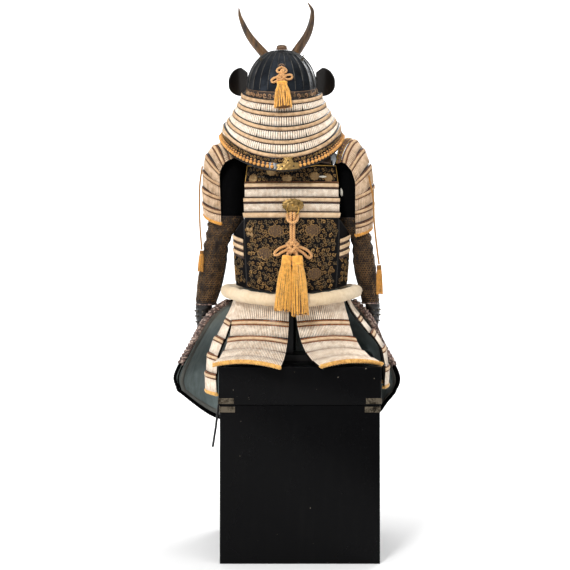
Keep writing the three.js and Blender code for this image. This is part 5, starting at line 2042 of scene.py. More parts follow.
@dataclass
class Tassets:
    """The seven laced tassets, on their suspension cords.

    Args:
        shop: The workshop that grows their laces.
        finishes: The finishes.
        cords: The share of each that is bare suspension cords.
        count: How many lames each has.
        bulge: How far the middle of a hem stands proud of its ends.
        waist_curve: Twice the waist's radius of curvature at the back.
    """

    shop: Workshop
    finishes: Finishes
    cords: float = 0.27
    count: int = 4
    bulge: float = 13.0
    waist_curve: float = 320.0

    def face(self, hang: Hang) -> Surface:
        """Give the surface that one tasset lies on."""
        start = BODY.at(hang.hangs, BODY.form.keys[0])

        def at(u: Array, v: Array) -> Array:
            """Give points across u and down v."""
            facing = heading(hang.faces + hang.turns * np.minimum(1, 2 * v))
            across = stack(facing[..., 1], -facing[..., 0], 0.0)
            side = 2 * u - 1
            half = (hang.top + (hang.foot - hang.top) * v) / 2
            e = 1e-3
            (out, z), (out_next, z_next) = hang.fall.at(v), hang.fall.at(v + e)
            slope = np.arctan2(out_next - out, z - z_next)
            bulge = (hang.top / 2) ** 2 / self.waist_curve * (1 - v) + self.bulge * v
            drop = -bulge * side * side
            point = (
                start
                + heading(hang.falls) * out[..., None]
                + across * (side * half)[..., None]
                + facing * (drop * np.cos(slope))[..., None]
            )
            point[..., 2] = z + drop * np.sin(slope)
            return point

        return at

    def build(self) -> None:
        """Build every tasset."""
        for hang in HANGS:
            name, surface = f"tasset_{hang.name}", self.face(hang)
            aside = hang.name.startswith("side")
            lames = LacedWall(
    surface,
    self.count,
    PAIRED if aside else ON_CHEST,
    3.0,
    start=self.cords,
     columns=56)
            place_piece(lames.plate(f"{name}_lames", self.finishes.plate_lacquer), "lacing", name)
            stitch = "guard_stitch" if aside else "tan_stitch"
            silks = Silks.pick(self.finishes, "white_lace", "cream_lace", stitch, "tan_stitch")
            for piece in lames.lace(name, self.shop, silks):
                place_piece(piece, "lacing")
            place_piece(lames.hem(f"{name}_hem", self.shop, self.finishes.gold_thread, 3.4), "lacing")
            self.hanging_cords(name, lames)

    def hanging_cords(self, name: str, lames: LacedWall) -> None:
        """Lay the bare cords that the lames hang from, side by side over the head of the wall."""
        v = np.linspace(0.004, self.cords - 0.004, 14)
        lines = [lames.on(v * 0 + u, v, 1.9) for u in lames.even(self.cords / 2, 5.4)[0]]
        laces = self.shop.tubes(f"{name}_suspension", lines, [2.35] * len(lines), self.finishes.white_lace, 6)
        place_piece(laces, "lacing")


# ---------------------------------------------------------------- shoulder guards


GUARD_PLACES = (0, 0.2, 0.4, 0.6, 0.8, 1)
# x out from the body's middle, y, z, radius, the rise of its middle, twist, and its front and back ends
GUARD_LEFT = Table(
    GUARD_PLACES,
    (
        (176, 5, 1040, 76, 100, -28, -56, 62),
        (180, 3, 1040, 76, 75, -12, -68, 74),
        (182, 0, 1033, 74, 48, 4, -76, 82),
        (184, -3, 1008, 63, 20, 14, -78, 84),
        (185, -8, 962, 61, 8, 18, -78, 84),
        (184, -14, 911, 59, 8, 20, -78, 84),
    ),
)
GUARD_RIGHT = Table(
    GUARD_PLACES,
    (
        (168, 5, 1046, 84, 97, -32, -56, 80),
        (162, 3, 1036, 80, 70, -14, -68, 82),
        (161, 0, 1010, 74, 42, 5, -76, 84),
        (163, -4, 972, 66, 14, 14, -78, 84),
        (166, -9, 924, 61, 6, 18, -78, 84),
        (168, -13, 878, 56, 6, 20, -78, 84),
    ),
)


@dataclass
class ShoulderGuards:
    """The two curved shoulder guards, each a leathered top plate over six laced lames.

    Args:
        shop: The workshop that grows their laces.
        finishes: The finishes.
        plate_share: The top plate's share of a guard.
        count: How many lames each has.
        thick: The thickness of the wall.
    """

    shop: Workshop
    finishes: Finishes
    plate_share: float = 0.1
    count: int = 6
    thick: float = 4.0

    @staticmethod
    def face(sections: Table, sign: int) -> Surface:
        """Give the surface that one guard lies on."""

        def at(u: Array, v: Array) -> Array:
            """Give points across u and down v."""
            x, y, z, radius, rise, twist, front, back = sections.at(v)
            lift = rad(rise)
            share = 1 - u if sign > 0 else u
            angle = rad(front + (back - front) * share)
            turn = rad(twist) * (0.65 + 0.35 * np.sin(angle))
            outward = stack(sign * np.cos(lift), 0.0, np.sin(lift))
            along = stack(sign * np.sin(lift), 0.0, -np.cos(lift))
            backward = stack(0.0, np.cos(turn), 0.0) + along * np.sin(turn)[..., None]
            return (
                stack(BODY.middle + sign * x, y, z)
                + outward * (radius * np.cos(angle))[..., None]
                + backward * (radius * np.sin(angle))[..., None]
            )

        return at

    def build(self) -> None:
        """Build both guards."""
        for side, sign, sections in (("left", 1, GUARD_LEFT), ("right", -1, GUARD_RIGHT)):
            surface = self.face(sections, sign)
            name = f"shoulder_guard_laced_{side}"
            lames = LacedWall(surface, self.count, PAIRED, self.thick, 2.4, 3.0, self.plate_share, 72)
            place_piece(lames.plate(f"{name}_lames", self.finishes.plate_lacquer, False), "lacing", name)
            # The guards' laces use the darker copy of the white lace, which paints their shade.
            for piece in lames.lace(name, self.shop, Silks.pick(
                self.finishes, "guard_lace", "guard_band", "guard_stitch", "brown_stitch")):
                place_piece(piece, "lacing")
            place_piece(lames.hem(f"{name}_hem", self.shop, self.finishes.ochre_thread, 3.2), "lacing")
            self.plate(f"shoulder_guard_plate_{side}", surface)

    def plate(self, name: str, surface: Surface) -> None:
        """Build one guard's leathered top plate with its rims and eyelets."""
        foot = self.plate_share - 0.018
        wall = Wall(surface, np.linspace(0, 1, 60), np.linspace(0, foot, 10), 2.0, self.thick)
        place_piece(wall.build(f"{name}_leather", self.finishes.guard_leather), "printed_leather", name)
        u = np.linspace(0.004, 0.996, 120)
        lines = [
    surface(
        u,
        u *
        0 +
        v) +
        normal_of(
            surface,
            u,
            u *
            0 +
            v) *
            0.6 for v in (
                0.002,
                foot -
                 0.002)]
        place_piece(self.shop.tubes(f"{name}_rim", lines, [2.6, 2.0], self.finishes.gilt, 8), "gilt")
        u = np.linspace(0.06, 0.94, 16)
        middle = u * 0 + foot * 0.5
        normal = normal_of(surface, u, middle)
        side = unit(surface(u + 1e-3, middle) - surface(u - 1e-3, middle))
        spots = surface(u, middle) + normal * 2.2
        eyes = self.shop.field(f"{name}_eyelets", Bead.DOME, spots, side,
                               normal, (5.0, 5.0, 2.6), self.finishes.gilt)
        place_piece(eyes, "gilt")


# ---------------------------------------------------------------- sleeves and hand guards


SLEEVE_LEFT = Table(
    (664, 710, 770, 848, 898, 950, 1010, 1060, 1078),
    (
        (241, -66, 28, 33),
        (231, -48, 33, 37),
        (219, -26, 36, 42),
        (204, -12, 34, 43),
        (182, -8, 47, 43),
        (179, -4, 51, 47),
        (174, 2, 51, 48),
        (160, 4, 45, 42),
        (156, 4, 34, 30),
    ),
)
SLEEVE_RIGHT = Table(
    (668, 710, 770, 850, 892, 940, 1000, 1050, 1068),
    (
        (224, -66, 24, 32),
        (216, -50, 26, 36),
        (204, -26, 30, 41),
        (193, -12, 27, 40),
        (175, -9, 38, 40),
        (168, -4, 47, 44),
        (163, 0, 48, 48),
        (153, 4, 38, 42),
        (150, 4, 28, 30),
    ),
)


@dataclass
class Sleeves:
    """The two cloth sleeves, faced with fine mail outside, and the hand guards at their cuffs.

    Args:
        shop: The workshop that grows their small pieces.
        finishes: The finishes.
        cloth: The thickness of the lined cloth.
        mail_middle: The angle that the mail's middle faces, out from the back.
        mail_half: How far the mail reaches to each side of that.
        guard_turn: The angle that the hand guard's middle faces.
        guard_wrap: How far round the cuff the hand guard goes.
        guard_length: The hand guard's length.
        guard_forward: How far it leans forward.
    """

    shop: Workshop
    finishes: Finishes
    cloth: float = 2.4
    mail_middle: float = 66.0
    mail_half: float = 128.0
    guard_turn: float = 48.0
    guard_wrap: float = 168.0
    guard_length: float = 64.0
    guard_forward: float = 24.0

    def face(self, rings: Table, sign: int) -> Surface:
        """Give the sleeve's surface, with u once round it from the back."""
        low, high = rings.keys[0], rings.keys[-1]

        def at(u: Array, v: Array) -> Array:
            """Give points round u and down v, with the cloth's own folds."""
            z = high + (low - high) * v
            x, y, across, along = rings.at(z)
            angle = u * 2 * math.pi
            crease = np.exp(-(((z - 856) / 62) ** 2))
            fold = crease * 2.2 * np.sin(z / 4.6 + 1.6 * np.sin(angle + 0.7) + sign)
            fold = fold + 1.1 * ripple(angle * 40, z, 31 + sign, 64)
            return stack(
                BODY.middle + sign * x + (across + fold) * np.sin(angle),
                y + (along + fold) * np.cos(angle),
                z,
            )

        return at

    def build(self) -> None:
        """Build both sleeves and both hand guards."""
        for side, sign, rings in (("left", 1, SLEEVE_LEFT), ("right", -1, SLEEVE_RIGHT)):
            surface = self.face(rings, sign)
            tube = Wall(surface, np.arange(60) / 60, np.linspace(0, 1, 110), -0.4, self.cloth, closed=True)
            sleeve = place_piece(
                tube.build(f"sleeve_{side}_cloth", self.finishes.black_cloth,
                           80), "mail_cloth", f"sleeve_{side}"
            )
            mail = self.mail(side, sign, surface) + [self.toggle(side, surface)]
            self.hand_guard(side, sign, rings)

    def toggle(self, side: str, surface: Surface) -> bpy.types.Object:
        """Sew on the ivory toggle that ties one sleeve to the cuirass."""
        u, v, size = {
    "left": (
        0.804, 0.140, (7.0, 7.0, 7.0)), "right": (
            0.0914, 0.2225, (9.0, 25.0, 8.0))}[side]
        u, v = np.array([u]), np.array([v])
        normal = normal_of(surface, u, v)
        along = unit(surface(u + 1e-3, v) - surface(u - 1e-3, v))
        spot = surface(u, v) + normal * 2.0
        piece = self.shop.field(f"sleeve_{side}_toggle", Bead.DOME, spot,
                                along, normal, size, self.finishes.ivory)
        return place_piece(piece, "mail_cloth")

    def mail(self, side: str, sign: int, surface: Surface) -> list[bpy.types.Object]:
        """Lay the mail over the outside of a sleeve, and bind its edges and the cuff."""
        start, end = self.mail_middle - self.mail_half, self.mail_middle + self.mail_half
        first, last = (start / 360, end / 360) if sign > 0 else (-end / 360, -start / 360)
        part = lambda u, v: surface(first + (last - first) * u, 0.40 + 0.595 * v)
        wall = Wall(part, np.linspace(0, 1, 52), np.linspace(0, 1, 90), 0.9, 0.3)
        mail = place_piece(wall.build(f"sleeve_{side}_mail", self.finishes.mail_ground, 80), "mail_cloth")
        wide, long = flat_size(part)
        rows = np.arange(4.0, long - 4.0, 6.6) / long
        columns = np.arange(4.0, wide - 4.0, 7.6) / wide
        u, v = np.meshgrid(columns, rows)
        u = (u + 3.8 / wide * (np.arange(len(rows)) % 2)[:, None]).ravel()
        v = v.ravel()[u < 0.985]
        u = u[u < 0.985]
        normal = normal_of(part, u, v)
        along = unit(part(u + 1e-3, v) - part(u - 1e-3, v))
        tilt = unit(normal + along * (0.35 * np.where(np.arange(len(u)) % 2, 1, -1))[:, None])
        rings = self.shop.field(
            f"sleeve_{side}_rings", Bead.RING, part(
    u, v) + normal * 1.4, along, tilt, (8.6, 8.6, 8.0), self.finishes.mail_ring
        )
        v = np.linspace(0.002, 0.998, 120)
        edges = [part(v * 0 + u, v) + normal_of(part, v * 0 + u, v) * 0.8 for u in (0.0, 1.0)]
        u = np.linspace(0.0, 1.0, 90)
        edges.append(part(u, u * 0) + normal_of(part, u, u * 0) * 0.8)
        piping = self.shop.tubes(f"sleeve_{side}_piping", edges, [1.5] * 3, self.finishes.strap_leather, 8)
        u = np.arange(90) / 90
        cuff = surface(u, u * 0 + 0.998)
        band = self.shop.ropes(
    f"sleeve_{side}_cuff",
    [cuff],
    self.finishes.edge_braid,
    1.7,
    1.5,
    8.0,
     closed=True)
        return [mail, *(place_piece(piece, "mail_cloth") for piece in (rings, piping, band))]

    def hand_guard(self, side: str, sign: int, rings: Table) -> None:
        """Build one hand guard with its raised rims, ridges and knobs."""
        z, (x, y, across, along) = rings.keys[0], rings.rows[0]

        def face(u: Array, v: Array) -> Array:
            """Give a point on the guard's outer face."""
            angle = rad(sign * self.guard_turn + (u - 0.5) * self.guard_wrap)
            wide = (across + 2) * (1 - 0.24 * v * v)
            deep = (along + 2) * (1 - 0.3 * v * v)
            return stack(
                BODY.middle + sign * (x + 4 * v) + wide * np.sin(angle),
                y - self.guard_forward * v + deep * np.cos(angle),
                z - 1.5 - self.guard_length * v,
            )

        name = f"hand_guard_{side}"
        ridge = lambda u, v: 1.1 * np.abs(np.sin(v * 4 * math.pi)) ** 3 * (np.abs(u - 0.5) < 0.47)
        wall = Wall(face, np.linspace(0, 1, 48), np.linspace(0, 1, 49), ridge, self.cloth)
        place_piece(wall.build(f"{name}_plate", self.finishes.plate_lacquer), "chest_lacquer", name)
        rim = self.shop.tubes(f"{name}_rim", [face(*edge_loop(0.01, 60))],
                              [1.6], self.finishes.rim_lacquer, 8, closed=True)
        place_piece(rim, "chest_lacquer")
        u, v = (x.ravel()
                for x in np.meshgrid(np.array([0.1, 0.3, 0.5, 0.7, 0.9]), np.array([0.26, 0.5, 0.76])))
        normal = normal_of(face, u, v)
        spots = face(u, v) + normal * 1.2
        knobs = self.shop.field(f"{name}_knobs", Bead.DOME, spots, heading(u * 0),
                                normal, (5.2, 5.2, 6.4), self.finishes.bronze)
        place_piece(knobs, "gilt")


# ---------------------------------------------------------------- thigh guards


def panel(*levels: tuple[float, tuple[tuple[float, float, float], ...]]) -> Table:
    """Make a panel's table from the places of its four lines at each level."""
    return Table([s for s, _ in levels], [sum(places, ()) for _, places in levels])


# Places of the inner edge, two lines down the panel, and the outer edge, from the waist to the hem
PANEL_LEFT = panel(
    (0, ((26, -92, 694), (82, -82, 694), (122, -60, 694), (140, -42, 694))),
    (0.12, ((26, -108, 670), (84, -98, 670), (148, -72, 674), (194, -54, 676))),
    (0.3, ((26, -138, 622), (88, -132, 618), (182, -74, 618), (250, -14, 638))),
    (0.55, ((26, -209, 548), (100, -209, 544), (226, -208, 530), (303, -88, 556))),
    (0.8, ((26, -218, 420), (110, -220, 416), (244, -212, 404), (356, -112, 462))),
    (1, ((26, -222, 318), (112, -226, 312), (240, -216, 322), (350, -128, 414))),
)
PANEL_RIGHT = panel(
    (0, ((16, -92, 694), (-40, -82, 694), (-80, -60, 694), (-98, -42, 694))),
    (0.12, ((16, -108, 670), (-42, -98, 670), (-102, -72, 672), (-150, -53, 678))),
    (0.3, ((16, -138, 622), (-54, -132, 618), (-140, -82, 617), (-200, -24, 630))),
    (0.55, ((16, -209, 548), (-74, -209, 544), (-224, -211, 534), (-240, -98, 548))),
    (0.8, ((16, -218, 420), (-92, -220, 416), (-226, -214, 410), (-286, -108, 456))),
    (1, ((16, -222, 318), (-94, -226, 312), (-222, -218, 326), (-276, -124, 408))),
)


@dataclass
class ThighGuards:
    """The two cloth thigh guards, faced with small plates and lined, on one waistband.

    Args:
        shop: The workshop that grows their edging.
        finishes: The finishes.
        cloth: The thickness of the lined cloth.
        band: The waistband's half width, half depth, foot and height.
    """

    shop: Workshop
    finishes: Finishes
    cloth: float = 2.4
    band: tuple[float, float, float, float] = (133.0, 93.0, 695.0, 24.0)

    @staticmethod
    def face(table: Table, sign: int) -> Surface:
        """Give the surface of one panel, with the soft folds of its cloth."""

        def plain(u: Array, v: Array) -> Array:
            """Give points of the panel before it has folds."""
            place = 1 - (u if sign > 0 else 1 - u)
            columns = table.at(v)
            span = np.clip(np.floor(place * 3), 0, 2).astype(int)
            t = place * 3 - span
            made = []
            for axis in range(3):
                line = np.stack([columns[3 * k + axis] for k in range(4)])
                pick = lambda shift: np.take_along_axis(line, np.clip(span + shift, 0, 3)[None], axis=0)[0]
                a, b, c, d = (pick(shift) for shift in (-1, 0, 1, 2))
                first = np.where(span == 0, c - b, (c - a) / 2)
                last = np.where(span == 2, c - b, (d - b) / 2)
                made.append(
                    (2 * t**3 - 3 * t**2 + 1) * b
                    + (t**3 - 2 * t**2 + t) * first
                    + (3 * t**2 - 2 * t**3) * c
                    + (t**3 - t**2) * last
                )
            return stack(*made)

        def at(u: Array, v: Array) -> Array:
            """Give points of the panel with its folds."""
            waves = np.sin(u * 15 + 1.2 * np.sin(v * 5)) + 0.6 * np.sin(u * 31 + v * 4 + sign)
            swell = 1.7 * np.clip(v * 2.5, 0, 1) * waves
            return plain(u, v) + normal_of(plain, u, v) * swell[..., None]

        return at

    def build(self) -> None:
        """Build both panels and the waistband."""
        for side, sign, table in (("left", 1, PANEL_LEFT), ("right", -1, PANEL_RIGHT)):
            self.panel(side, sign, self.face(table, sign))
        width, depth, foot, height = self.band

        def ring(u: Array, v: Array) -> Array:
            """Give a point on the waistband."""
            angle = u * 2 * math.pi
            return stack(BODY.middle + width * np.sin(angle), depth * np.cos(angle), foot + height * (1 - v))

        wall = Wall(ring, np.arange(160) / 160, np.linspace(0, 1, 7), 0.0, self.cloth, closed=True)
        name = "thigh_guard_waistband"
        band = place_piece(wall.build(f"{name}_cloth", self.finishes.lining, 60), "lining", name)

    def panel(self, side: str, sign: int, surface: Surface) -> None:
        """Build one panel with its facing, lining, studs and edging."""
        name = f"thigh_guard_{side}"
        wall = Wall(surface, np.linspace(0, 1, 110), np.linspace(0, 1, 110), 0.0, self.cloth)
        cloth = wall.build(f"{name}_cloth", self.finishes.panel_face, 60)
        cloth.data.materials.append(self.finishes.lining)
        count = 109 * 109
        index = np.zeros(len(cloth.data.polygons), np.int32)
        index[count : 2 * count] = 1
        cloth.data.polygons.foreach_set("material_index", index)
        place_piece(cloth, "lining", name)
        width, length = flat_size(surface)
        u = np.linspace(0, 1, 90)
        grid = surface(*np.meshgrid(u, u))
        edging = self.edging(name, sign, surface) + self.studs(name, surface, width, length)

    def edge_path(
        self, sign: int, inset: float, width: float, length: float, first: float = 0.0, last: float = 1.0
    ) -> tuple[Array, Array]:
        """Run round the hanging edges, down the outer one, along the hem and up the inner one, or part of the way."""
        a, b = inset / width, inset / length
        outer, inner = (a, 1 - a) if sign > 0 else (1 - a, a)
        t = np.linspace(0, 1, 120)
        down = np.column_stack([t * 0 + outer, 0.02 + (0.98 - b) * t])
        along = np.column_stack([outer + (inner - outer) * t, t * 0 + 1 - b])
        up = np.column_stack([t * 0 + inner, 1 - b - (0.98 - b) * t])
        path = np.concatenate([down, along[1:], up[1:]])
        path = path[int(first * len(path)) : int(last * len(path))]
        return path[:, 0], path[:, 1]

    def edging(self, name: str, sign: int, surface: Surface) -> list[bpy.types.Object]:
        """Bind the panel's edges: a plaited braid, a dark binding, and a gathered band on the lining."""
        width, length = flat_size(surface)
        middle = lambda u, v: surface(u, v) - normal_of(surface, u, v) * self.cloth * 0.5
        u, v = self.edge_path(sign, 0.6, width, length, 0.04, 0.24)
        braid = self.shop.ropes(f"{name}_braid", [middle(u, v)],
                                self.finishes.edge_braid, 5.2, 4.6, 24.0, 2, 2.6)
        u, v = self.edge_path(sign, 0.6, width, length, 0.23)
        cord = self.shop.ropes(f"{name}_cord", [middle(u, v)],
                               self.finishes.black_cloth, 2.9, 2.5, 13.0, 2, 2.4)
        u, v = self.edge_path(sign, 8.0, width, length)
        under = surface(u, v) - normal_of(surface, u, v) * (self.cloth + 0.4)
        over = surface(u, v) + normal_of(surface, u, v) * 0.3
        binding = self.shop.tubes(f"{name}_binding", [under, over], [2.2, 1.6], self.finishes.black_cloth, 8)
        u, v = self.edge_path(sign, 19.0, width, length)
        line = surface(u, v)
        run = np.concatenate([[0], np.cumsum(np.linalg.norm(np.diff(line, axis=0), axis=1))])
        places = np.arange(2.0, run[-1] - 2.0, 4.2)
        u, v = np.interp(places, run, u), np.interp(places, run, v)
        normal = normal_of(surface, u, v)
        point = surface(u, v)
        along = unit(np.gradient(point, axis=0))
        out = -normal
        side = unit(along - out * (along * out).sum(axis=-1, keepdims=True))
        spots = point + out * (self.cloth + 0.5)
        band = self.shop.field(
            f"{name}_gathers", Bead.PILLOW, spots, side, out, (3.9,
                                                               15.0, 3.6), self.finishes.band_cloth, 0.7, 0.3
        )
        return [place_piece(piece, "lining") for piece in (braid, cord, binding, band)]

    def studs(self, name: str, surface: Surface, width: float, length: float) -> list[bpy.types.Object]:
        """Set the facing's plates off with double rows of pale stitches and a ridge at each plate's foot."""
        levels = np.arange(0.16, 0.97, 38.0 / length)
        spots, sides, outs, ridges = [], [], [], []
        for level in levels:
            for shift in (-4.0, 4.0):
                u = np.linspace(0.07, 0.93, max(4, int(width / 9.5)))
                v = u * 0 + level + shift / length
                normal = normal_of(surface, u, v)
                spots.append(surface(u, v) + normal * 0.5)
                sides.append(unit(surface(u + 1e-3, v) - surface(u - 1e-3, v)))
                outs.append(normal)
            u = np.linspace(0.04, 0.96, 80)
            v = u * 0 + level + 13.0 / length
            ridges.append(surface(u, np.minimum(v, 0.97)) + normal_of(surface, u, np.minimum(v, 0.97)) * 0.3)
        places, side, out = (np.concatenate(group) for group in (spots, sides, outs))
        dots = self.shop.field(f"{name}_stitches", Bead.PILLOW, places, side,
                               out, (4.6, 3.2, 2.4), self.finishes.cream_lace)
        lines = self.shop.tubes(f"{name}_ridges", ridges, [1.4] * len(ridges), self.finishes.guard_leather, 6)
        return [place_piece(dots, "lining"), place_piece(lines, "lining")]


# ---------------------------------------------------------------- helmet


def revolve(
    name: str, profile: Sequence[tuple[float, float]], middle: Sequence[float], material: bpy.types.Material, sides: int = 48
) -> bpy.types.Object:
    """Turn a closed profile of radius and height round the vertical through a point."""
    profile = np.asarray(profile, float)
    angle = np.arange(sides) / sides * 2 * math.pi
    radius, height = profile[:, 0][:, None], profile[:, 1][:, None]
    points = stack(radius * np.cos(angle), radius * np.sin(angle),
                   height + angle * 0) + np.asarray(middle, float)
    rows = len(profile)
    i, j = (x.ravel() for x in np.meshgrid(np.arange(sides), np.arange(rows)))
    at = lambda a, b: (b % rows) * sides + a % sides
    faces = np.stack([at(i, j), at(i + 1, j), at(i + 1, j + 1), at(i, j + 1)], axis=-1)
    return mesh_from(name, points.reshape(-1, 3), faces, material)


@dataclass
class Helmet:
    """The ribbed helmet bowl with its neck guard, flaps, visor and horns, tipped back on its stand.

    Args:
        shop: The workshop that grows its ribs and laces.
        finishes: The finishes.
        place: Its middle, in millimetres.
        tilt: How far it is tipped back, in degrees.
        width: The bowl's half width.
        depth: The bowl's half depth.
        height: The bowl's height over its middle.
        ring: The height of the bowl's foot over its middle.
        ribs: How many ribs stand on the bowl.
        band: The height of the band below the bowl.
        reach: How far round the neck guard goes at its head and foot.
    """

    shop: Workshop
    finishes: Finishes
    place: tuple[float, float, float] = (48.0, 0.0, 1245.0)
    tilt: float = 12.0
    width: float = 97.0
    depth: float = 121.0
    height: float = 130.0
    ring: float = 26.0
    ribs: int = 24
    band: float = 21.0
    reach: tuple[float, float] = (112.0, 100.0)
    # half width, depth at the back, and height at the sides and the back, of each lame's edge
    edges: tuple[tuple[float, float, float, float], ...] = (
        (106, 130, 14, 6),
        (114, 147, -12, -26),
        (127, 169, -36, -62),
        (141, 191, -59, -95),
        (156, 213, -74, -127),
        (169, 237, -108, -170),
    )

    def world(self, points: Array) -> Array:
        """Tip points about the helmet's middle and put them on the armour."""
        c, s = math.cos(math.radians(self.tilt)), math.sin(math.radians(self.tilt))
        x, y, z = np.moveaxis(np.asarray(points, float), -1, 0)
        return stack(x, y * c + z * s, z * c - y * s) + np.asarray(self.place)

    def bowl(self, u: Array, v: Array) -> Array:
        """Give a point on the bowl, with u round it from the back and v down from its crown."""
        around = u * 2 * math.pi
        climb = np.maximum(0, 1 - (0.12 + 0.88 * v)) ** 0.8 * math.radians(86)
        spread = np.cos(climb) ** 0.94
        return self.world(
            stack(
                self.width * spread * np.sin(around),
                self.depth * spread * np.cos(around),
                self.ring + (self.height - self.ring) * np.sin(climb),
            )
        )

    def base_band(self, u: Array, v: Array) -> Array:
        """Give a point on the band below the bowl."""
        around = u * 2 * math.pi
        return self.world(
            stack((self.width + 3 * v) * np.sin(around), (self.depth + 4 * v)
                  * np.cos(around), self.ring - GAP - self.band * v)
        )

    def neck_edge(self, k: Array, degrees: Array) -> Array:
        """Give a point on one edge of the neck guard's lames."""
        width, depth, side, back_z = np.moveaxis(np.asarray(self.edges, float)[k], -1, 0)
        angle = rad(degrees)
        back, front = np.maximum(0, np.cos(angle)), np.minimum(0, np.cos(angle))
        return stack(width * np.sin(angle), depth * back + 128 * front, side + (back_z - side) * back**1.5)

    def neck(self, u: Array, v: Array) -> Array:
        """Give a point on the neck guard, with u from its wearer's-right front end."""
        count = len(self.edges) - 1
        u, v = np.broadcast_arrays(u, v)
        k = np.clip(np.floor(v * count + 1e-9), 0, count - 1).astype(int)
        reach = self.reach[0] + (self.reach[1] - self.reach[0]) * v
        degrees = -reach + 2 * reach * u
        share = (v * count - k)[..., None]
        return self.world(self.neck_edge(k, degrees) * (1 - share) + self.neck_edge(k + 1, degrees) * share)

    def flap(self, sign: int) -> Surface:
        """Give one turned-back flap's surface."""
        start = self.neck_edge(np.array(0), np.array(sign * self.reach[0]))

        def at(u: Array, v: Array) -> Array:
            """Give points out along the flap and down it."""
            away = u if sign > 0 else 1 - u
            rim = np.sqrt(np.maximum(0, 1 - np.maximum(0, (away - 0.28) / 0.72) ** 2.1))
            half = 43 * (0.04 + 0.96 * rim) * (0.7 + 0.3 * np.minimum(1, away / 0.35))
            bow = 10 * np.sin(away * math.pi)
            rise = half * (1 - 2 * v) * (1 - 0.18 * np.clip(2 * v - 1, 0, 1))
            return self.world(stack(start[0] + sign * 49 * away, start[1] - 10 - bow + 11 * away, 32 + rise))

        return at

    def visor(self, u: Array, v: Array) -> Array:
        """Give a point on the visor."""
        turn = (u - 0.5) * 124
        angle = rad(180 + turn)
        reach = 2 + 46 * v * np.cos(rad(turn * 1.1))
        return self.world(
            stack(
                (self.width + 8 + reach * 0.6) * np.sin(angle),
                (self.depth + 8 + reach) * np.cos(angle),
                self.ring - 12 - 18 * v,
            )
        )

    def build(self) -> None:
        """Build the whole helmet."""
        self.build_bowl()
        self.build_band()
        self.build_neck()
        self.build_flaps()
        self.build_visor()
        self.build_horns()

    def build_bowl(self) -> None:
        """Build the bowl of plates, its ribs, studs and rivets, and the ring at its crown."""
        finishes = self.finishes

        def hollow(u: Array, v: Array) -> Array:
            """Sink each plate a little between its ribs."""
            return -1.2 * np.abs(np.cos(u * self.ribs * math.pi)) * np.clip(v * 1.6, 0.1, 1)

        wall = Wall(self.bowl, np.arange(192) / 192, np.linspace(0, 1, 40), hollow, 3.0, closed=True)
        place_piece(wall.build("helmet_bowl_plates", finishes.iron), "black_iron", "helmet_bowl")
        v = np.linspace(0.03, 0.985, 30)
        lines, radii = [], []
        for k in range(self.ribs):
            u = v * 0 + (k + 0.5) / self.ribs
            lines.append(self.bowl(u, v) + normal_of(self.bowl, u, v) * 0.3)
            radii.append(0.7 + 0.6 * np.clip(v * 1.5, 0, 1))
        place_piece(self.shop.tubes("helmet_ribs", lines, radii, finishes.rib_iron, 8), "black_iron")
        u, v = (x.ravel() for x in np.meshgrid(np.arange(self.ribs) / self.ribs, np.array([0.92, 0.45])))
        self.dots("helmet_rivets", self.bowl, u, v, (2.6, 2.6, 2.0), finishes.iron, -1.0)
        u, v = np.array([0.17, 0.83, 0.33, 0.67]), np.array([0.42] * 4)
        self.dots("helmet_studs", self.bowl, u, v, (5.0, 5.0, 15.0), finishes.bronze, 3.0)
        self.dots("helmet_stud_seats", self.bowl, u, v, (10.0, 10.0, 2.6), finishes.bronze, 0.0)
        crown = [(5, 0), (16, 0), (17, 1.2), (16.4, 2.6), (13.4, 3.4),
                  (14.4, 5.6), (14.2, 8.4), (12.6, 10.8), (9.4, 12.6), (6, 13)]
        points = np.array([(0, 0, self.height + 0.4)])
        top = self.world(points)[0]
        ring = revolve("helmet_crown_boss", crown, (0, 0, self.height + 0.4), finishes.crown_bronze, 64)
        self.tip(ring)
        place_piece(ring, "gilt", "helmet_crown_ring")
        angle = np.arange(24) / 24 * 2 * math.pi
        petals = self.world(stack(15.0 * np.cos(angle), 15.0 * np.sin(angle), self.height + 2.6))
        outward = petals - top
        up = self.world(np.array([(0, 0, 1.0)]))[0] - self.world(np.array([(0, 0, 0.0)]))[0]
        side = unit(np.cross(outward, up))
        piece = self.shop.field(
            "helmet_crown_petals", Bead.LEAF, petals, side, up, (
                3.8, 6.4, 2.2), finishes.crown_bronze, 0.4, 0.6
        )
        place_piece(piece, "gilt")

    def tip(self, piece: bpy.types.Object) -> None:
        """Tip a mesh made about the helmet's own middle, and put it on the armour."""
        mesh = piece.data
        points = np.zeros(len(mesh.vertices) * 3, np.float32)
        mesh.vertices.foreach_get("co", points)
        placed = self.world(points.reshape(-1, 3) / MM) * MM
        mesh.vertices.foreach_set("co", placed.astype(np.float32).ravel())
        mesh.update()

    def dots(
        self, name: str, surface: Surface, u: Array, v: Array, size: tuple[float, float, float], material: bpy.types.Material, proud: float
    ) -> None:
        """Set rivets or studs on a surface."""
        normal = normal_of(surface, u, v)
        side = unit(surface(u + 1e-3, v) - surface(u - 1e-3, v))
        piece = self.shop.field(name, Bead.DOME, surface(u, v) + normal * proud, side, normal, size, material)
        place_piece(piece, "black_iron")

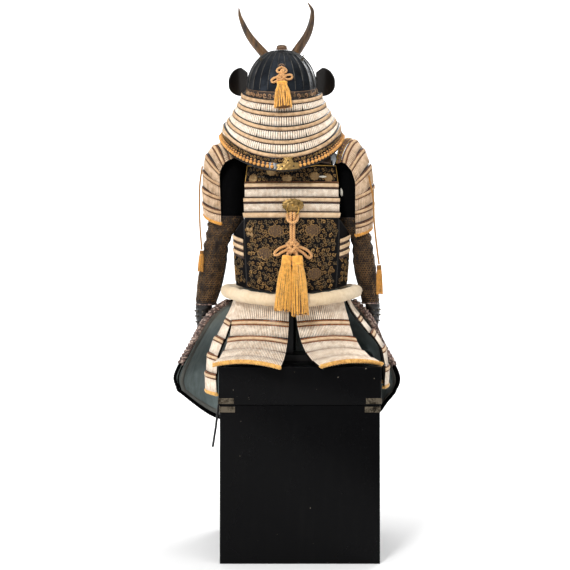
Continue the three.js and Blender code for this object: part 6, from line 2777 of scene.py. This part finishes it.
    def build_band(self) -> None:
        """Build the leathered band below the bowl, with its rim and print."""
        finishes = self.finishes
        wall = Wall(self.base_band, np.arange(144) / 144, np.linspace(0, 1, 8), 0.4, 3.0, closed=True)
        place_piece(
    wall.build(
        "helmet_band_leather",
        finishes.band_leather),
        "printed_leather",
         "helmet_base_band")
        u = np.arange(200) / 200
        rims = [self.base_band(u, u * 0 + v) for v in (0.02, 0.98)]
        rim = self.shop.tubes("helmet_band_rims", rims, [1.2, 1.6], finishes.crown_bronze, 8, closed=True)
        place_piece(rim, "gilt")
        wide, high = flat_size(self.base_band)
        scroll = Scroll(wide - 6, high - 3, 14, line=1.5, seed=41)
        self.scrollwork("helmet_band", scroll, flat_map(self.base_band, 0.5, 0.4), finishes.band_gold)

    def scrollwork(self, name: str, scroll: Scroll, onto: Callable, gold: bpy.types.Material) -> None:
        """Print scrolls on a surface."""
        finishes = self.finishes
        for piece in scroll.print_on(name, onto, self.shop, gold, finishes.scroll_grey, finishes.peony, 0.2):
            place_piece(piece, "printed_leather")

    def build_neck(self) -> None:
        """Build the neck guard: laced lames, and printed leather, beads and knots along the last."""
        finishes = self.finishes
        lames = LacedWall(self.neck, 5, BANDED, 3.0, first=2.0, columns=130, bare=(0.419, 0.522))
        place_piece(lames.plate("neck_guard_lames", finishes.plate_lacquer), "lacing", "neck_guard")
        for piece in lames.lace("neck_guard", self.shop, Silks.pick(
            finishes, "white_lace", "guard_band", "brown_stitch")):
            place_piece(piece, "lacing")
        top = 15.8
        foot = lames.depth(4) - 21.4

        def strip(u: Array, v: Array) -> Array:
            """Give a point on the bare strip of the last lame."""
            return lames.on(u, lames.down(4, u, top + (foot - top) * v), 0.3)

        wall = Wall(strip, np.linspace(0.003, 0.997, 130), np.linspace(0, 1, 8), 0.5, 0.8)
        place_piece(wall.build("neck_guard_leather", finishes.print_ground), "printed_leather")
        width, height = flat_size(strip)
        scroll = Scroll(width - 8, height - 1, 10, line=0.9, seed=43)
        self.scrollwork("neck_guard", scroll, flat_map(strip, 0.5, 0.5), finishes.scroll_gold)

        def part(u: Array, v: Array) -> Array:
            """Give a point on the gilt plate, narrow above and wide over the knots."""
            half = 0.0195 + 0.029 * np.clip((v - 0.42) / 0.12, 0, 1) + 0.003 * np.cos(v * 19)
            across = 0.4705 + half * (2 * u - 1)
            return lames.on(across, lames.down(4, across, lames.depth(4) - 35 + 33.5 * v), 0.3)

        crest = lambda u, v: 5.0 + 1.0 * np.cos((u - 0.5) * math.pi) ** 0.5 + \
                                                0.4 * np.cos(u * 25) * np.cos(v * 14)
        plate = Wall(part, np.linspace(0, 1, 34), np.linspace(0, 1, 40), crest, 4.0)
        place_piece(plate.build("neck_guard_plate", finishes.olive_gilt), "gilt")
        u, v = np.array([0.26, 0.52, 0.77]), np.array([0.76, 0.24, 0.74])
        self.dots("neck_guard_rivets", part, u, v, (5.0, 5.0, 4.0), finishes.iron, 5.8)

    def build_flaps(self) -> None:
        """Build the two turned-back flaps, lacquered behind and leathered in front, with rolled rims."""
        for side, sign in (("left", 1), ("right", -1)):
            surface, name = self.flap(sign), f"helmet_flap_{side}"
            wall = Wall(surface, np.linspace(0, 1, 40), np.linspace(0, 1, 40), 0.0, 3.0)
            flap = wall.build(f"{name}_plate", self.finishes.plate_lacquer)
            flap.data.materials.append(self.finishes.print_ground)
            index = np.zeros(len(flap.data.polygons), np.int32)
            index[39 * 39 :] = 1
            flap.data.polygons.foreach_set("material_index", index)
            place_piece(flap, "chest_lacquer", name)
            loop = edge_loop(0.01, 60)
            middle = surface(*loop) - normal_of(surface, *loop) * 1.5
            rim = self.shop.tubes(f"{name}_rim", [middle], [2.4], self.finishes.rim_lacquer, 8, closed=True)
            place_piece(rim, "chest_lacquer")
            reverse = lambda u, v: surface(1 - u, v) - normal_of(surface, 1 - u, v) * 3.0
            width, height = flat_size(surface)
            scroll = Scroll(width * 0.62, height * 0.56, 14, line=0.8, seed=51 + sign)
            self.scrollwork(name, scroll, flat_map(reverse, 0.5), self.finishes.scroll_gold)

    def build_visor(self) -> None:
        """Build the visor with its rolled rim."""
        wall = Wall(self.visor, np.linspace(0, 1, 64), np.linspace(0, 1, 12), 0.0, 3.0)
        place_piece(
    wall.build(
        "helmet_visor_plate",
        self.finishes.plate_lacquer),
        "chest_lacquer",
         "helmet_visor")
        u = np.linspace(0.0, 1.0, 120)
        lines = [self.visor(u, u * 0 + v) - normal_of(self.visor, u, u * 0 + v) * 1.5 for v in (0.99,)]
        place_piece(self.shop.tubes("helmet_visor_rim", lines, [2.4], self.finishes.olive_gilt, 8), "gilt")
        u = np.linspace(0.06, 0.94, 9)
        self.dots("helmet_visor_rivets", self.visor, u, u * 0 + 0.12,
                  (6.0, 6.0, 3.4), self.finishes.olive_gilt, 0.4)

    def build_horns(self) -> None:
        """Build the socket and the two curved horns."""
        socket = box_from("helmet_socket_plate", (-22, -135, 26),
                          (22, -125, 60), 2.4, self.finishes.olive_gilt)
        self.tip(socket)
        place_piece(socket, "gilt", "helmet_horn_socket")
        horns = {
            "left": ((16, -133, 70), (44, -134, 102), (92, -128, 160), (118, -122, 215), (122, -118, 241)),
            "right": ((-15, -133, 72), (-38, -134, 110), (-76, -128, 172), (-87, -122, 229), (-74, -118, 255)),
        }
        for side, route in horns.items():
            line = self.world(smooth_line(route, 72))
            t = np.linspace(0, 1, 72)
            radius = 15.0 * (1 - t) ** 0.78 * (0.9 + 0.55 * t) + 1.3
            horn = self.shop.tubes(f"horn_{side}_body", [line], [radius], self.finishes.horn, 28)
            place_piece(horn, "horn", f"horn_{side}")
            ferrule = self.shop.tubes(f"horn_{side}_ferrule", [line[:7]], [
                                      radius[:7] + 1.0], self.finishes.olive_gilt, 28)
            place_piece(ferrule, "gilt")


# ---------------------------------------------------------------- knots, cords and tassels


def level_frame(line: Array) -> tuple[Array, Array, Array]:
    """Give directions along, across and out from a hanging line."""
    down = unit(np.gradient(line, axis=0))
    across = unit(np.cross(np.array([0.0, 1.0, 0.0]), down))
    return down, across, np.cross(down, across)


@dataclass
class Tassel:
    """A silk tassel: a cap over a skirt of twisted strands that widens to its foot, round a dark heart that paints
    the shade between the strands.

    Args:
        name: Its name.
        route: The points that it hangs along.
        cap: The cap's radius.
        foot: The foot's radius.
        flat: How deep it is for its width.
        strands: How many strands lie round it.
        seed: Which fall of its strands.
        bound: Whether its cap is bound with cord.
    """

    name: str
    route: tuple[tuple[float, float, float], ...]
    cap: float
    foot: float
    flat: float
    strands: int = 44
    seed: int = 1
    bound: bool = True

    def radius(self, s: Array) -> Array:
        """Give its half width at a share of its length."""
        cap, foot = self.cap, self.foot
        rows = ((0.8 * cap,), (0.98 * cap,), (cap,), ((cap + foot) / 2,), (0.2 * cap + 0.8 * foot,), (foot,))
        return Table((0, 0.03, 0.14, 0.32, 0.62, 1), rows).at(s)[0]

    def round_at(self, s: Array, angle: Array, share: Array | float) -> Array:
        """Give points round it at shares of its length and of its radius."""
        line = smooth_line(self.route, 101)
        down, across, out = level_frame(line)
        pick = lambda values: np.stack(
            [np.interp(s, np.linspace(0, 1, 101), values[:, k]) for k in range(3)], -1)
        reach = self.radius(s) * share
        return (
            pick(line)
            + pick(across) * (reach * np.cos(angle))[..., None]
            + pick(out) * (reach * self.flat * np.sin(angle))[..., None]
        )

    def build(self, shop: Workshop, silks: Sequence[bpy.types.Material],
              *nodes: str) -> list[bpy.types.Object]:
        """Build the tassel.

        Args:
            shop: The workshop that grows its strands.
            silks: What its cap, its strands and its heart are made of. The heart is a dark core that paints the shade
                in the gaps between the strands.
            nodes: The solids that it stands for.

        Returns:
            Its skirt, its heart of painted shade, and its cap.
        """
        rng = np.random.default_rng(self.seed)
        s, a = np.meshgrid(np.linspace(0, 0.97, 20), np.arange(28) / 28 * 2 * math.pi, indexing="ij")
        points = self.round_at(s, a, 0.78)
        i, j = (x.ravel() for x in np.meshgrid(np.arange(19), np.arange(28), indexing="ij"))
        at = lambda p, q: p * 28 + q % 28
        faces = np.stack([at(i, j), at(i, j + 1), at(i + 1, j + 1), at(i + 1, j)], axis=-1).tolist()
        faces += [list(range(27, -1, -1)), [19 * 28 + k for k in range(28)]]
        # Painted shade: a dark core inside the strands, so that the gaps between them show dark.
        shade_core = mesh_from(f"{self.name}_core", points.reshape(-1, 3), faces, silks[2])
        lines = []
        for layer, share, count in ((0.0, 0.95, self.strands), (0.5, 0.83, self.strands * 2 // 3)):
            for k in range(count):
                t = np.linspace(0.15 if self.bound else 0.03, 1 - rng.uniform(0, 0.06), 12)
                angle = 2 * math.pi * (k + rng.uniform(-0.22, 0.22) + layer) / count
                wander = angle + rng.normal(0, 0.06) * t**2 + 0.04 * np.sin(t * 9 + rng.uniform(0, 6))
                lines.append(self.round_at(t, wander, share + rng.normal(0, 0.03) * t))
        girth = 2 * math.pi * self.foot * math.sqrt((1 + self.flat**2) / 2)
        thick = girth / self.strands * 0.24
        skirt = shop.ropes(
    f"{self.name}_threads",
    lines,
    silks[1],
    thick,
    thick * 0.8,
    thick * 9,
    2,
    thick * 3.6,
     sides=4)
        turns, thick = np.arange(48) / 48 * 2 * math.pi, self.cap * 0.13
        places = (0.02, 0.045, 0.07, 0.095, 0.12, 0.145) if self.bound else (0.03,)
        bands = [self.round_at(turns * 0 + place, turns, 0.95) for place in places]
        bound = shop.ropes(
    f"{self.name}_cap",
    bands,
    silks[0],
    thick,
    thick * 0.8,
    thick * 5,
    3,
    1.6,
     closed=True)
        return [place_piece(skirt, "silk_cord", *nodes), place_piece(shade_core,
                            "silk_cord"), place_piece(bound, "silk_cord")]


@dataclass
class Trimmings:
    """The knotted cords and tassels, the ring that the back ones hang from, and its plate.

    Args:
        shop: The workshop that grows them.
        finishes: The finishes.
    """

    shop: Workshop
    finishes: Finishes

    def cord(
        self, name: str, points: Sequence[Sequence[float]], radius: float, material: bpy.types.Material, *nodes: str
    ) -> tuple[bpy.types.Object, Array, float]:
        """Lay one cord along points.

        Returns:
            The cord, its centreline in metres, and its length in metres.
        """
        count = max(
    24, int(
        np.linalg.norm(
            np.diff(
                np.asarray(
                    points, float), axis=0), axis=1).sum() / radius / 1.3))
        line = smooth_line(points, count)
        piece = self.shop.tubes(name, [line], [radius], material, 12)
        place_piece(piece, "silk_cord", *nodes)
        length = float(np.linalg.norm(np.diff(line, axis=0), axis=1).sum()) * MM
        return piece, line * MM, length

    def declare(
        self,
        laid: tuple[bpy.types.Object, Array, float],
        radius: float,
    ) -> None:
        """Read the points of a cord that has been laid, and keep nothing from them."""
        piece, line, length = laid
        tuple(line[0])
        [tuple(point) for point in line]

    def build(self) -> None:
        """Build every cord, knot and tassel."""
        self.back_bow()
        self.helmet_bow()
        self.guard_cords()
        self.tie_cord()
        self.ring()

    def knot(
        self, name: str, place: Callable, middle: tuple[float, float], size: tuple[float, float, float], strand: float, material: bpy.types.Material
    ) -> bpy.types.Object:
        """Build the woven heart of a bow from strands that pass over and under each other."""
        wide, high, deep = (value / 2 for value in size)
        lines = []
        t = np.linspace(-1, 1, 15)
        for slant in (1, -1):
            for k, shift in enumerate((-0.5, 0.5)):
                x = wide * (0.86 * t * 0.9 + shift * 0.62)
                z = high * slant * (0.8 * t - shift * 0.62)
                over = np.cos((t * 1.0 + (0.5 if (k + (slant > 0)) % 2 else -0.5)) * math.pi)
                lift = deep * (0.98 - 1.1 * np.abs(t) ** 3) + strand * 0.45 * over
                lines.append(np.array([place(middle[0] + a, middle[1] + b, c)
                             for a, b, c in zip(x, z, lift)]))
        for level in (-0.72, 0.72):
            turn = np.linspace(0, 2 * math.pi, 25)
            ring = [
    place(
        middle[0] +
        wide *
        0.72 *
        math.sin(a),
        middle[1] +
        high *
        level,
        deep *
        0.74 *
         math.cos(a)) for a in turn]
            lines.append(np.array(ring))
        return self.shop.tubes(name, lines, [strand] * len(lines), material, 10)

    def back_bow(self) -> None:
        """Build the big bow on the back, with its two tassels."""
        finishes, radius = self.finishes, 3.8
        place = lambda x, z, out=0.0: (x, 131 + out + 0.05 * max(0, 850 - z), z)
        run = lambda points: [place(*point) for point in points]
        routes = {
            "left": [(23.4, 922, 8), (23.6, 910, 10), (23.4, 898, 5), (23.2, 882, 2), (22.9, 864), (22.6, 846), (22.5, 830), (29, 816)],
            "right": [(14.6, 922, 8), (14.4, 910, 10), (14.8, 898, 5), (15.2, 882, 2), (15.4, 864), (15.4, 846), (15, 830), (10, 816)],
        }
        loops = {
            "left": [(24, 836, 2), (34, 833), (52, 827), (66, 815), (67, 808.5), (59, 808), (46, 816), (27, 824, 1)],
            "right": [(14, 834, 2), (6, 831), (-8, 827), (-24, 818), (-32, 806), (-28, 800), (-21, 802), (-10, 813), (8, 823, 1)],
        }
        hangs = {
            "left": (((33.5, 141, 807), (40, 160, 740), (46.5, 178, 659)), 12.0, 22.7, 0.5),
            "right": (((6.8, 141, 806), (2, 160, 735), (-0.6, 179, 647)), 13.5, 23.2, 0.52),
        }
        silks = (finishes.bright_thread, finishes.bright_thread, finishes.thread_heart)
        knot = self.knot("back_bow_knot", place, (19, 830), (28, 32, 21), 4.0, finishes.gold_braid)
        place_piece(knot, "silk_cord", "back_bow")
        hitch = run([(31, 919, -1), (32.4, 908, 3), (29, 899, 12),
                    (19, 894.6, 15), (9, 899, 12), (5.2, 908, 3), (6.6, 919, -1)])
        wrap = self.shop.tubes("back_bow_hitch", [smooth_line(hitch, 48)], [4.2], finishes.gold_braid, 12)
        place_piece(wrap, "silk_cord")
        for n, side in enumerate(("left", "right")):
            route, cap, foot, flat = hangs[side]
            tassel = Tassel(f"back_tassel_{side}", route, cap, foot, flat, 40, 11 + n)
            pieces = tassel.build(self.shop, silks, f"back_tassel_{side}") + [knot if n else wrap]
            points = run(routes[side]) + list(route[:2])
            laid = self.cord(f"back_bow_cord_{side}", points, radius, finishes.gold_braid)
            self.declare(laid, radius)
            laid = self.cord(f"back_bow_loop_{side}", run(loops[side]), radius, finishes.gold_braid)
            self.declare(laid, radius)

    def helmet_bow(self) -> None:
        """Build the small bow on the helmet, with its tassel."""
        finishes, radius = self.finishes, 3.0

        def place(x: float, z: float, out: float = 0.0) -> tuple[float, float, float]:
            """Put a point of the bow on the sloping back of the bowl."""
            up = max(0, z - 1290)
            return (x, 128.5 + out - 0.28 * up - 0.006 * up**2, z)

        run = lambda points: [place(*point) for point in points]
        route = ((47, 131.5, 1272), (45.5, 142, 1240), (43.8, 161, 1199))
        tassel = Tassel("helmet_tassel", route, 13.0, 24.2, 0.4, 24, 21, False)
        pieces = tassel.build(
    self.shop,
    (finishes.bright_thread,
    finishes.bright_thread,
    finishes.thread_heart),
     "helmet_tassel")
        knot = self.knot("helmet_bow_knot", place, (48, 1283), (21, 18, 11), 2.6, finishes.gold_braid)
        place_piece(knot, "silk_cord", "helmet_bow")
        routes = {
            "left": [(47, 1313, 1.5), (55, 1309, 1), (61, 1303, 1), (57, 1297, 2), (46, 1298, 4), (42, 1302, 5), (46, 1305, 5),
                     (50, 1300, 4), (46, 1291, 2), (47, 1272, 1)],
            "right": [(48, 1313, 1.5), (41, 1309, 0.6), (35, 1303, 0.8), (38, 1297, 1), (48, 1296, 1), (51, 1288, 0), (49, 1272, 1)],
        }
        loops = {
            "left": [(52, 1284, 2), (67, 1282.5), (75, 1276), (73, 1270.5), (65, 1272), (53, 1279, 1)],
            "right": [(44, 1286, 2), (30, 1290.5), (21.5, 1289.5), (20.5, 1282), (28, 1278.5), (43, 1280, 1)],
        }
        turn = np.arange(24) / 24 * 2 * math.pi
        eye = np.array([place(48 + 7 * math.sin(a), 1316 + 4.2 * math.cos(a), 2.4) for a in turn])
        ring = self.shop.tubes("helmet_bow_ring", [eye], [1.7], finishes.crown_bronze, 8, closed=True)
        place_piece(ring, "gilt")
        for side in ("left", "right"):
            laid = self.cord(f"helmet_bow_cord_{side}", run(routes[side]), radius, finishes.gold_braid)
            self.declare(laid, radius)
            laid = self.cord(f"helmet_bow_loop_{side}", run(loops[side]), radius, finishes.gold_braid)
            self.declare(laid, radius)

    def guard_cords(self) -> None:
        """Build the cords that hang from the shoulder guards."""
        finishes = self.finishes
        left = ((268, 16, 1052), (275, 13, 1000), (276, 10, 950), (275, 9, 888), (270, 8, 820))
        right = ((-190, 60, 1024), (-203, 50, 960), (-206, 42, 900), (-214, 30, 830), (-221, 22, 780))
        silks = (finishes.ochre_braid, finishes.ochre_thread, finishes.thread_heart)
        tassel = Tassel("guard_tassel_left", ((270, 8, 818), (272, 8, 790),
                        (274, 8, 758)), 5.0, 8.0, 1.0, 20, 31)
        pieces = tassel.build(self.shop, silks, "guard_tassel_left")
        laid = self.cord("guard_cord_left_line", left, 2.3, finishes.ochre_braid, "guard_cord_left")
        self.declare(laid, 2.3)
        tassel = Tassel("guard_tassel_right", ((-221, 22, 778), (-222, 22, 740),
                        (-223, 22, 696)), 6.0, 9.0, 1.0, 22, 32)
        pieces = tassel.build(self.shop, silks, "guard_tassel_right")
        laid = self.cord("guard_cord_right_line", right, 2.6, finishes.ochre_braid, "guard_cord_right")
        self.declare(laid, 2.6)

    def tie_cord(self) -> None:
        """Build the black tie that hangs beside the chest, cut off plain at its end."""
        route = ((222, -40, 404), (228, -37, 366), (234, -34, 318), (242, -30, 266))
        laid = self.cord("tie_cord_line", route, 3.4, self.finishes.black_braid, "tie_cord")
        self.declare(laid, 3.4)

    def ring(self) -> None:
        """Build the gilt plate on the back and the ring that hangs from it."""
        finishes = self.finishes

        def face(u: Array, v: Array) -> Array:
            """Give a point on the plate's face, with u round it."""
            angle = -u * 2 * math.pi
            edge = 1 + 0.045 * np.cos(angle * 14)
            relief = 2.6 * (1 - v**2) + 0.5 * np.cos(v * 16)
            return stack(18 + 28.6 * v * edge * np.cos(angle), 131.6 + \
                         relief * (v < 2), 941 + 17.4 * v * edge * np.sin(angle))

        wall = Wall(face, np.arange(84) / 84, np.linspace(0.03, 1, 22), 0.0, 2.4, closed=True)
        place_piece(wall.build("ring_plate_relief", finishes.olive_gilt), "gilt", "ring_plate")
        turn = np.arange(8) / 8 * 2 * math.pi
        spots = stack(18 + 12.5 * np.cos(turn), 134.6, 941 + 8.6 * np.sin(turn))
        outward = unit(stack(12.5 * np.cos(turn), 0.0, 8.6 * np.sin(turn)))
        normal = np.array([0.0, 1.0, 0.0])
        side = np.cross(outward, normal)
        petals = self.shop.field(
            "ring_plate_petals", Bead.LEAF, spots, side, normal, (
                7.0, 11.0, 4.0), finishes.olive_gilt, 0.5, 0.6
        )
        place_piece(petals, "gilt")
        heart = self.shop.field(
    "ring_plate_heart", Bead.DOME, [
        (18, 134.6, 941)], (1, 0, 0), normal, (11, 9, 10), finishes.gilt)
        place_piece(heart, "gilt")
        turn = np.arange(26) / 26 * 2 * math.pi
        spots = stack(18 + 25.6 * np.cos(turn), 132.6, 941 + 15.0 * np.sin(turn))
        beads = self.shop.field("ring_plate_beads", Bead.DOME, spots, (1, 0, 0),
                                normal, (2.8, 2.8, 2.4), finishes.gilt)
        place_piece(beads, "gilt")
        turn = np.arange(60) / 60 * 2 * math.pi
        lean = math.pi / 2 + 0.19
        flat = stack(16 * np.cos(turn), 16 * np.sin(turn), 0.0)
        hung = stack(
            flat[:, 0] + 18,
            flat[:, 1] * math.cos(lean) + 137,
            flat[:, 1] * math.sin(lean) + 930,
        )
        ring = self.shop.tubes("ring_wire", [hung], [1.8], finishes.gilt, 12, closed=True)
        place_piece(ring, "gilt", "ring")


# ---------------------------------------------------------------- chest and stand


@dataclass
class Chest:
    """The lacquered chest with its overlapping lid, bound in bronze at the corners, and the stand on it.

    Args:
        shop: The workshop that grows its rivets.
        finishes: The finishes.
        width: The box's width.
        depth: Its depth.
        height: The height of its rim.
        lid_foot: The height of the lid's lower edge.
        lid_height: The lid's height.
        overhang: How far the lid stands out past the box on each side.
        bevel: How much is taken off the edges.
        strap: The height of the bronze at the corners.
        reach: How far the bronze reaches from a corner.
    """

    shop: Workshop
    finishes: Finishes
    width: float = 420.0
    depth: float = 400.0
    height: float = 416.0
    lid_foot: float = 416.6
    lid_height: float = 100.0
    overhang: float = 3.0
    bevel: float = 1.6
    strap: float = 15.0
    reach: float = 40.0

    def build(self) -> None:
        """Build the box, the lid, their fittings and the stand."""
        for node in ("chest_body", "chest_lid"):
            place_piece(self.softened(node, f"{node}_shell"), "chest_lacquer", node)
        self.brackets("chest_body_brackets", self.width / 2, self.depth / 2, self.height - self.strap - 4)
        lid = self.overhang
        self.brackets("chest_lid_brackets", self.width / 2 + lid, self.depth / 2 + lid, self.lid_foot + 3)
        for node in ("stand_base", "stand_post", "stand_head"):
            solid = bpy.data.objects[node]
            solid.data.materials.clear()
            solid.data.materials.append(self.finishes.stand_lacquer)

    def softened(self, node: str, name: str) -> bpy.types.Object:
        """Copy a solid, merge its corners, and round its edges."""
        mesh = bpy.data.objects[node].data.copy()
        mesh.name = name
        made = new_object(name, mesh, self.finishes.chest_lacquer)
        shape = bmesh.new()
        shape.from_mesh(mesh)
        bmesh.ops.remove_doubles(shape, verts=shape.verts, dist=1e-5)
        flat = [edge for edge in shape.edges if len(edge.link_faces) == 2 and edge.calc_face_angle() < 0.01]
        bmesh.ops.dissolve_edges(shape, edges=flat, use_verts=True, use_face_split=False)
        shape.to_mesh(mesh)
        shape.free()
        for polygon in mesh.polygons:
            polygon.use_smooth = True
        rounded = made.modifiers.new("rounded", "BEVEL")
        rounded.width, rounded.segments, rounded.limit_method = self.bevel * MM, 3, "ANGLE"
        rounded.harden_normals = True
        return made

    def brackets(self, name: str, half_width: float, half_depth: float, foot: float) -> None:
        """Wrap a bronze strap round each corner, with its rivets."""
        points, faces, spots, outs = [], [], [], []
        thick, reach, turn = 1.5, self.reach, np.linspace(0, math.pi / 2, 5)
        for x_sign, y_sign in ((1, 1), (-1, 1), (-1, -1), (1, -1)):
            start = len(points)
            rows = []
            for inset, radius in ((0.2, 0.6), (-thick, 2.2)):
                x, y = half_width + 0.0 - inset, half_depth - inset
                arc = [(x - radius + radius * math.cos(a), y - radius + radius * math.sin(a)) for a in turn]
                rows.append([(x, half_depth - reach), *arc, (half_width - reach, y)])
            for row in rows:
                for z in (foot, foot + self.strap):
                    points += [(x_sign * px, y_sign * py, z) for px, py in row]
            count = len(rows[0])
            at = lambda side, level, k: start + (side * 2 + level) * count + k
            strip = []
            for k in range(count - 1):
                strip += [[at(1, 0, k), at(1, 0, k + 1), at(1, 1, k + 1), at(1, 1, k)]]
                strip += [[at(0, 0, k + 1), at(0, 0, k), at(0, 1, k), at(0, 1, k + 1)]]
                strip += [[at(0, 1, k), at(1, 1, k), at(1, 1, k + 1), at(0, 1, k + 1)]]
                strip += [[at(0, 0, k + 1), at(1, 0, k + 1), at(1, 0, k), at(0, 0, k)]]
            last = count - 1
            strip += [[at(0, 0, 0), at(1, 0, 0), at(1, 1, 0), at(0, 1, 0)]]
            strip += [[at(1, 0, last), at(0, 0, last), at(0, 1, last), at(1, 1, last)]]
            faces += strip if x_sign * y_sign > 0 else [face[::-1] for face in strip]
            for away in (0.22, 0.78):
                back = reach * (1 - away)
                level = foot + self.strap / 2
                spots.append((x_sign * (half_width + thick), y_sign * (half_depth - back), level))
                outs.append((x_sign, 0, 0))
                spots.append((x_sign * (half_width - back), y_sign * (half_depth + thick), level))
                outs.append((0, y_sign, 0))
        bronze = mesh_from(name, points, faces, self.finishes.bronze)
        place_piece(bronze, "black_iron")
        up = np.tile([0.0, 0.0, 1.0], (len(spots), 1))
        rivets = self.shop.field(f"{name}_rivets", Bead.DOME, spots, up,
                                 outs, (3.6, 3.6, 2.2), self.finishes.bronze)
        place_piece(rivets, "black_iron")


# ---------------------------------------------------------------- the room, and the whole armour


@dataclass
class Studio:
    """The camera, the pale floor and the soft lights.

    Args:
        middle: The height that the camera stands at, in metres.
        away: How far behind the armour it stands.
        aside: How far it stands to the wearer's left.
        lens: Its focal length in millimetres, on a 36 mm frame.
        shift: How far the frame is moved down for the chest, as a share of its width.
    """

    middle: float = 0.874
    away: float = 3.41
    aside: float = 0.039
    lens: float = 77.4
    shift: float = -0.096

    def camera(self) -> None:
        """Set the camera up behind the armour, level."""
        data = bpy.data.cameras.new("camera")
        data.lens, data.sensor_width, data.shift_y = self.lens, 36.0, self.shift
        eye = bpy.data.objects.new("camera", data)
        eye.location = (self.aside, self.away, self.middle)
        eye.rotation_euler = (math.pi / 2, 0.0, math.pi)
        bpy.context.scene.collection.objects.link(eye)
        bpy.context.scene.camera = eye

    def light(
        self,
        name: str,
        place: tuple[float, float, float],
        size: float,
        power: float,
        target: tuple[float, float, float] = (0.02, 0.0, 0.85),
    ) -> None:
        """Hang one square soft light that faces a point."""
        data = bpy.data.lights.new(name, "AREA")
        data.size, data.energy = size, power
        lamp = bpy.data.objects.new(name, data)
        lamp.location = place
        aim = Vector(target) - Vector(place)
        lamp.rotation_euler = aim.to_track_quat("-Z", "Y").to_euler()
        bpy.context.scene.collection.objects.link(lamp)

    def floor(self) -> None:
        """Lay the pale floor, which rises into a pale wall on the side away from the camera."""
        shader = Shader("studio_paper", Base_Color=(0.93, 0.93, 0.93, 1), Roughness=0.9)
        angles = np.linspace(0, math.pi / 2, 9)
        profile = [(6000.0, 0.0)]
        profile += [(-5200 - 800 * math.sin(a), 800 * (1 - math.cos(a))) for a in angles]
        profile += [(-6000.0, 6000.0)]
        points = [(x, y, z) for y, z in profile for x in (-6000.0, 6000.0)]
        faces = [[2 * k, 2 * k + 1, 2 * k + 3, 2 * k + 2] for k in range(len(profile) - 1)]
        mesh_from("studio_floor", points, faces, shader.material)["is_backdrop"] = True

    def build(self) -> None:
        """Set the room up."""
        self.camera()
        self.floor()
        self.light("key", (1.1, 3.1, 2.9), 0.7, 88.0)
        self.light("fill", (-2.6, 2.4, 1.6), 2.2, 20.0)
        self.light("aside", (3.0, 1.2, 1.4), 1.6, 26.0)
        self.light("front_key", (-1.7, -2.8, 2.6), 1.6, 60.0)
        self.light("overhead", (0.0, 0.6, 3.4), 2.6, 34.0)
        self.light("wall", (0.0, -2.2, 3.6), 3.0, 260.0, (0.0, -6.0, 1.2))
        world = bpy.data.worlds.new("studio")
        world.use_nodes = True
        back = next(node for node in world.node_tree.nodes if node.type == "BACKGROUND")
        back.inputs["Color"].default_value = (1, 1, 1, 1)
        back.inputs["Strength"].default_value = 0.4
        bpy.context.scene.world = world
        bpy.context.scene.view_settings.view_transform = "Standard"


def main() -> None:
    """Build and dress the whole armour."""
    logging.basicConfig(level=logging.INFO, format="%(message)s")
    shop, finishes = Workshop(), Finishes()
    Studio().build()
    Trimmings(shop, finishes).build()
    Chest(shop, finishes).build()
    Cuirass(shop, finishes).build()
    Sash(finishes).build()
    Tassets(shop, finishes).build()
    ShoulderGuards(shop, finishes).build()
    Sleeves(shop, finishes).build()
    ThighGuards(shop, finishes).build()
    Helmet(shop, finishes).build()
    plain = lambda box: [list(corner) for corner in box]
    {"cad": plain(CAD_BOX), "dressed": plain(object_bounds())}


if __name__ == "__main__":
    main()
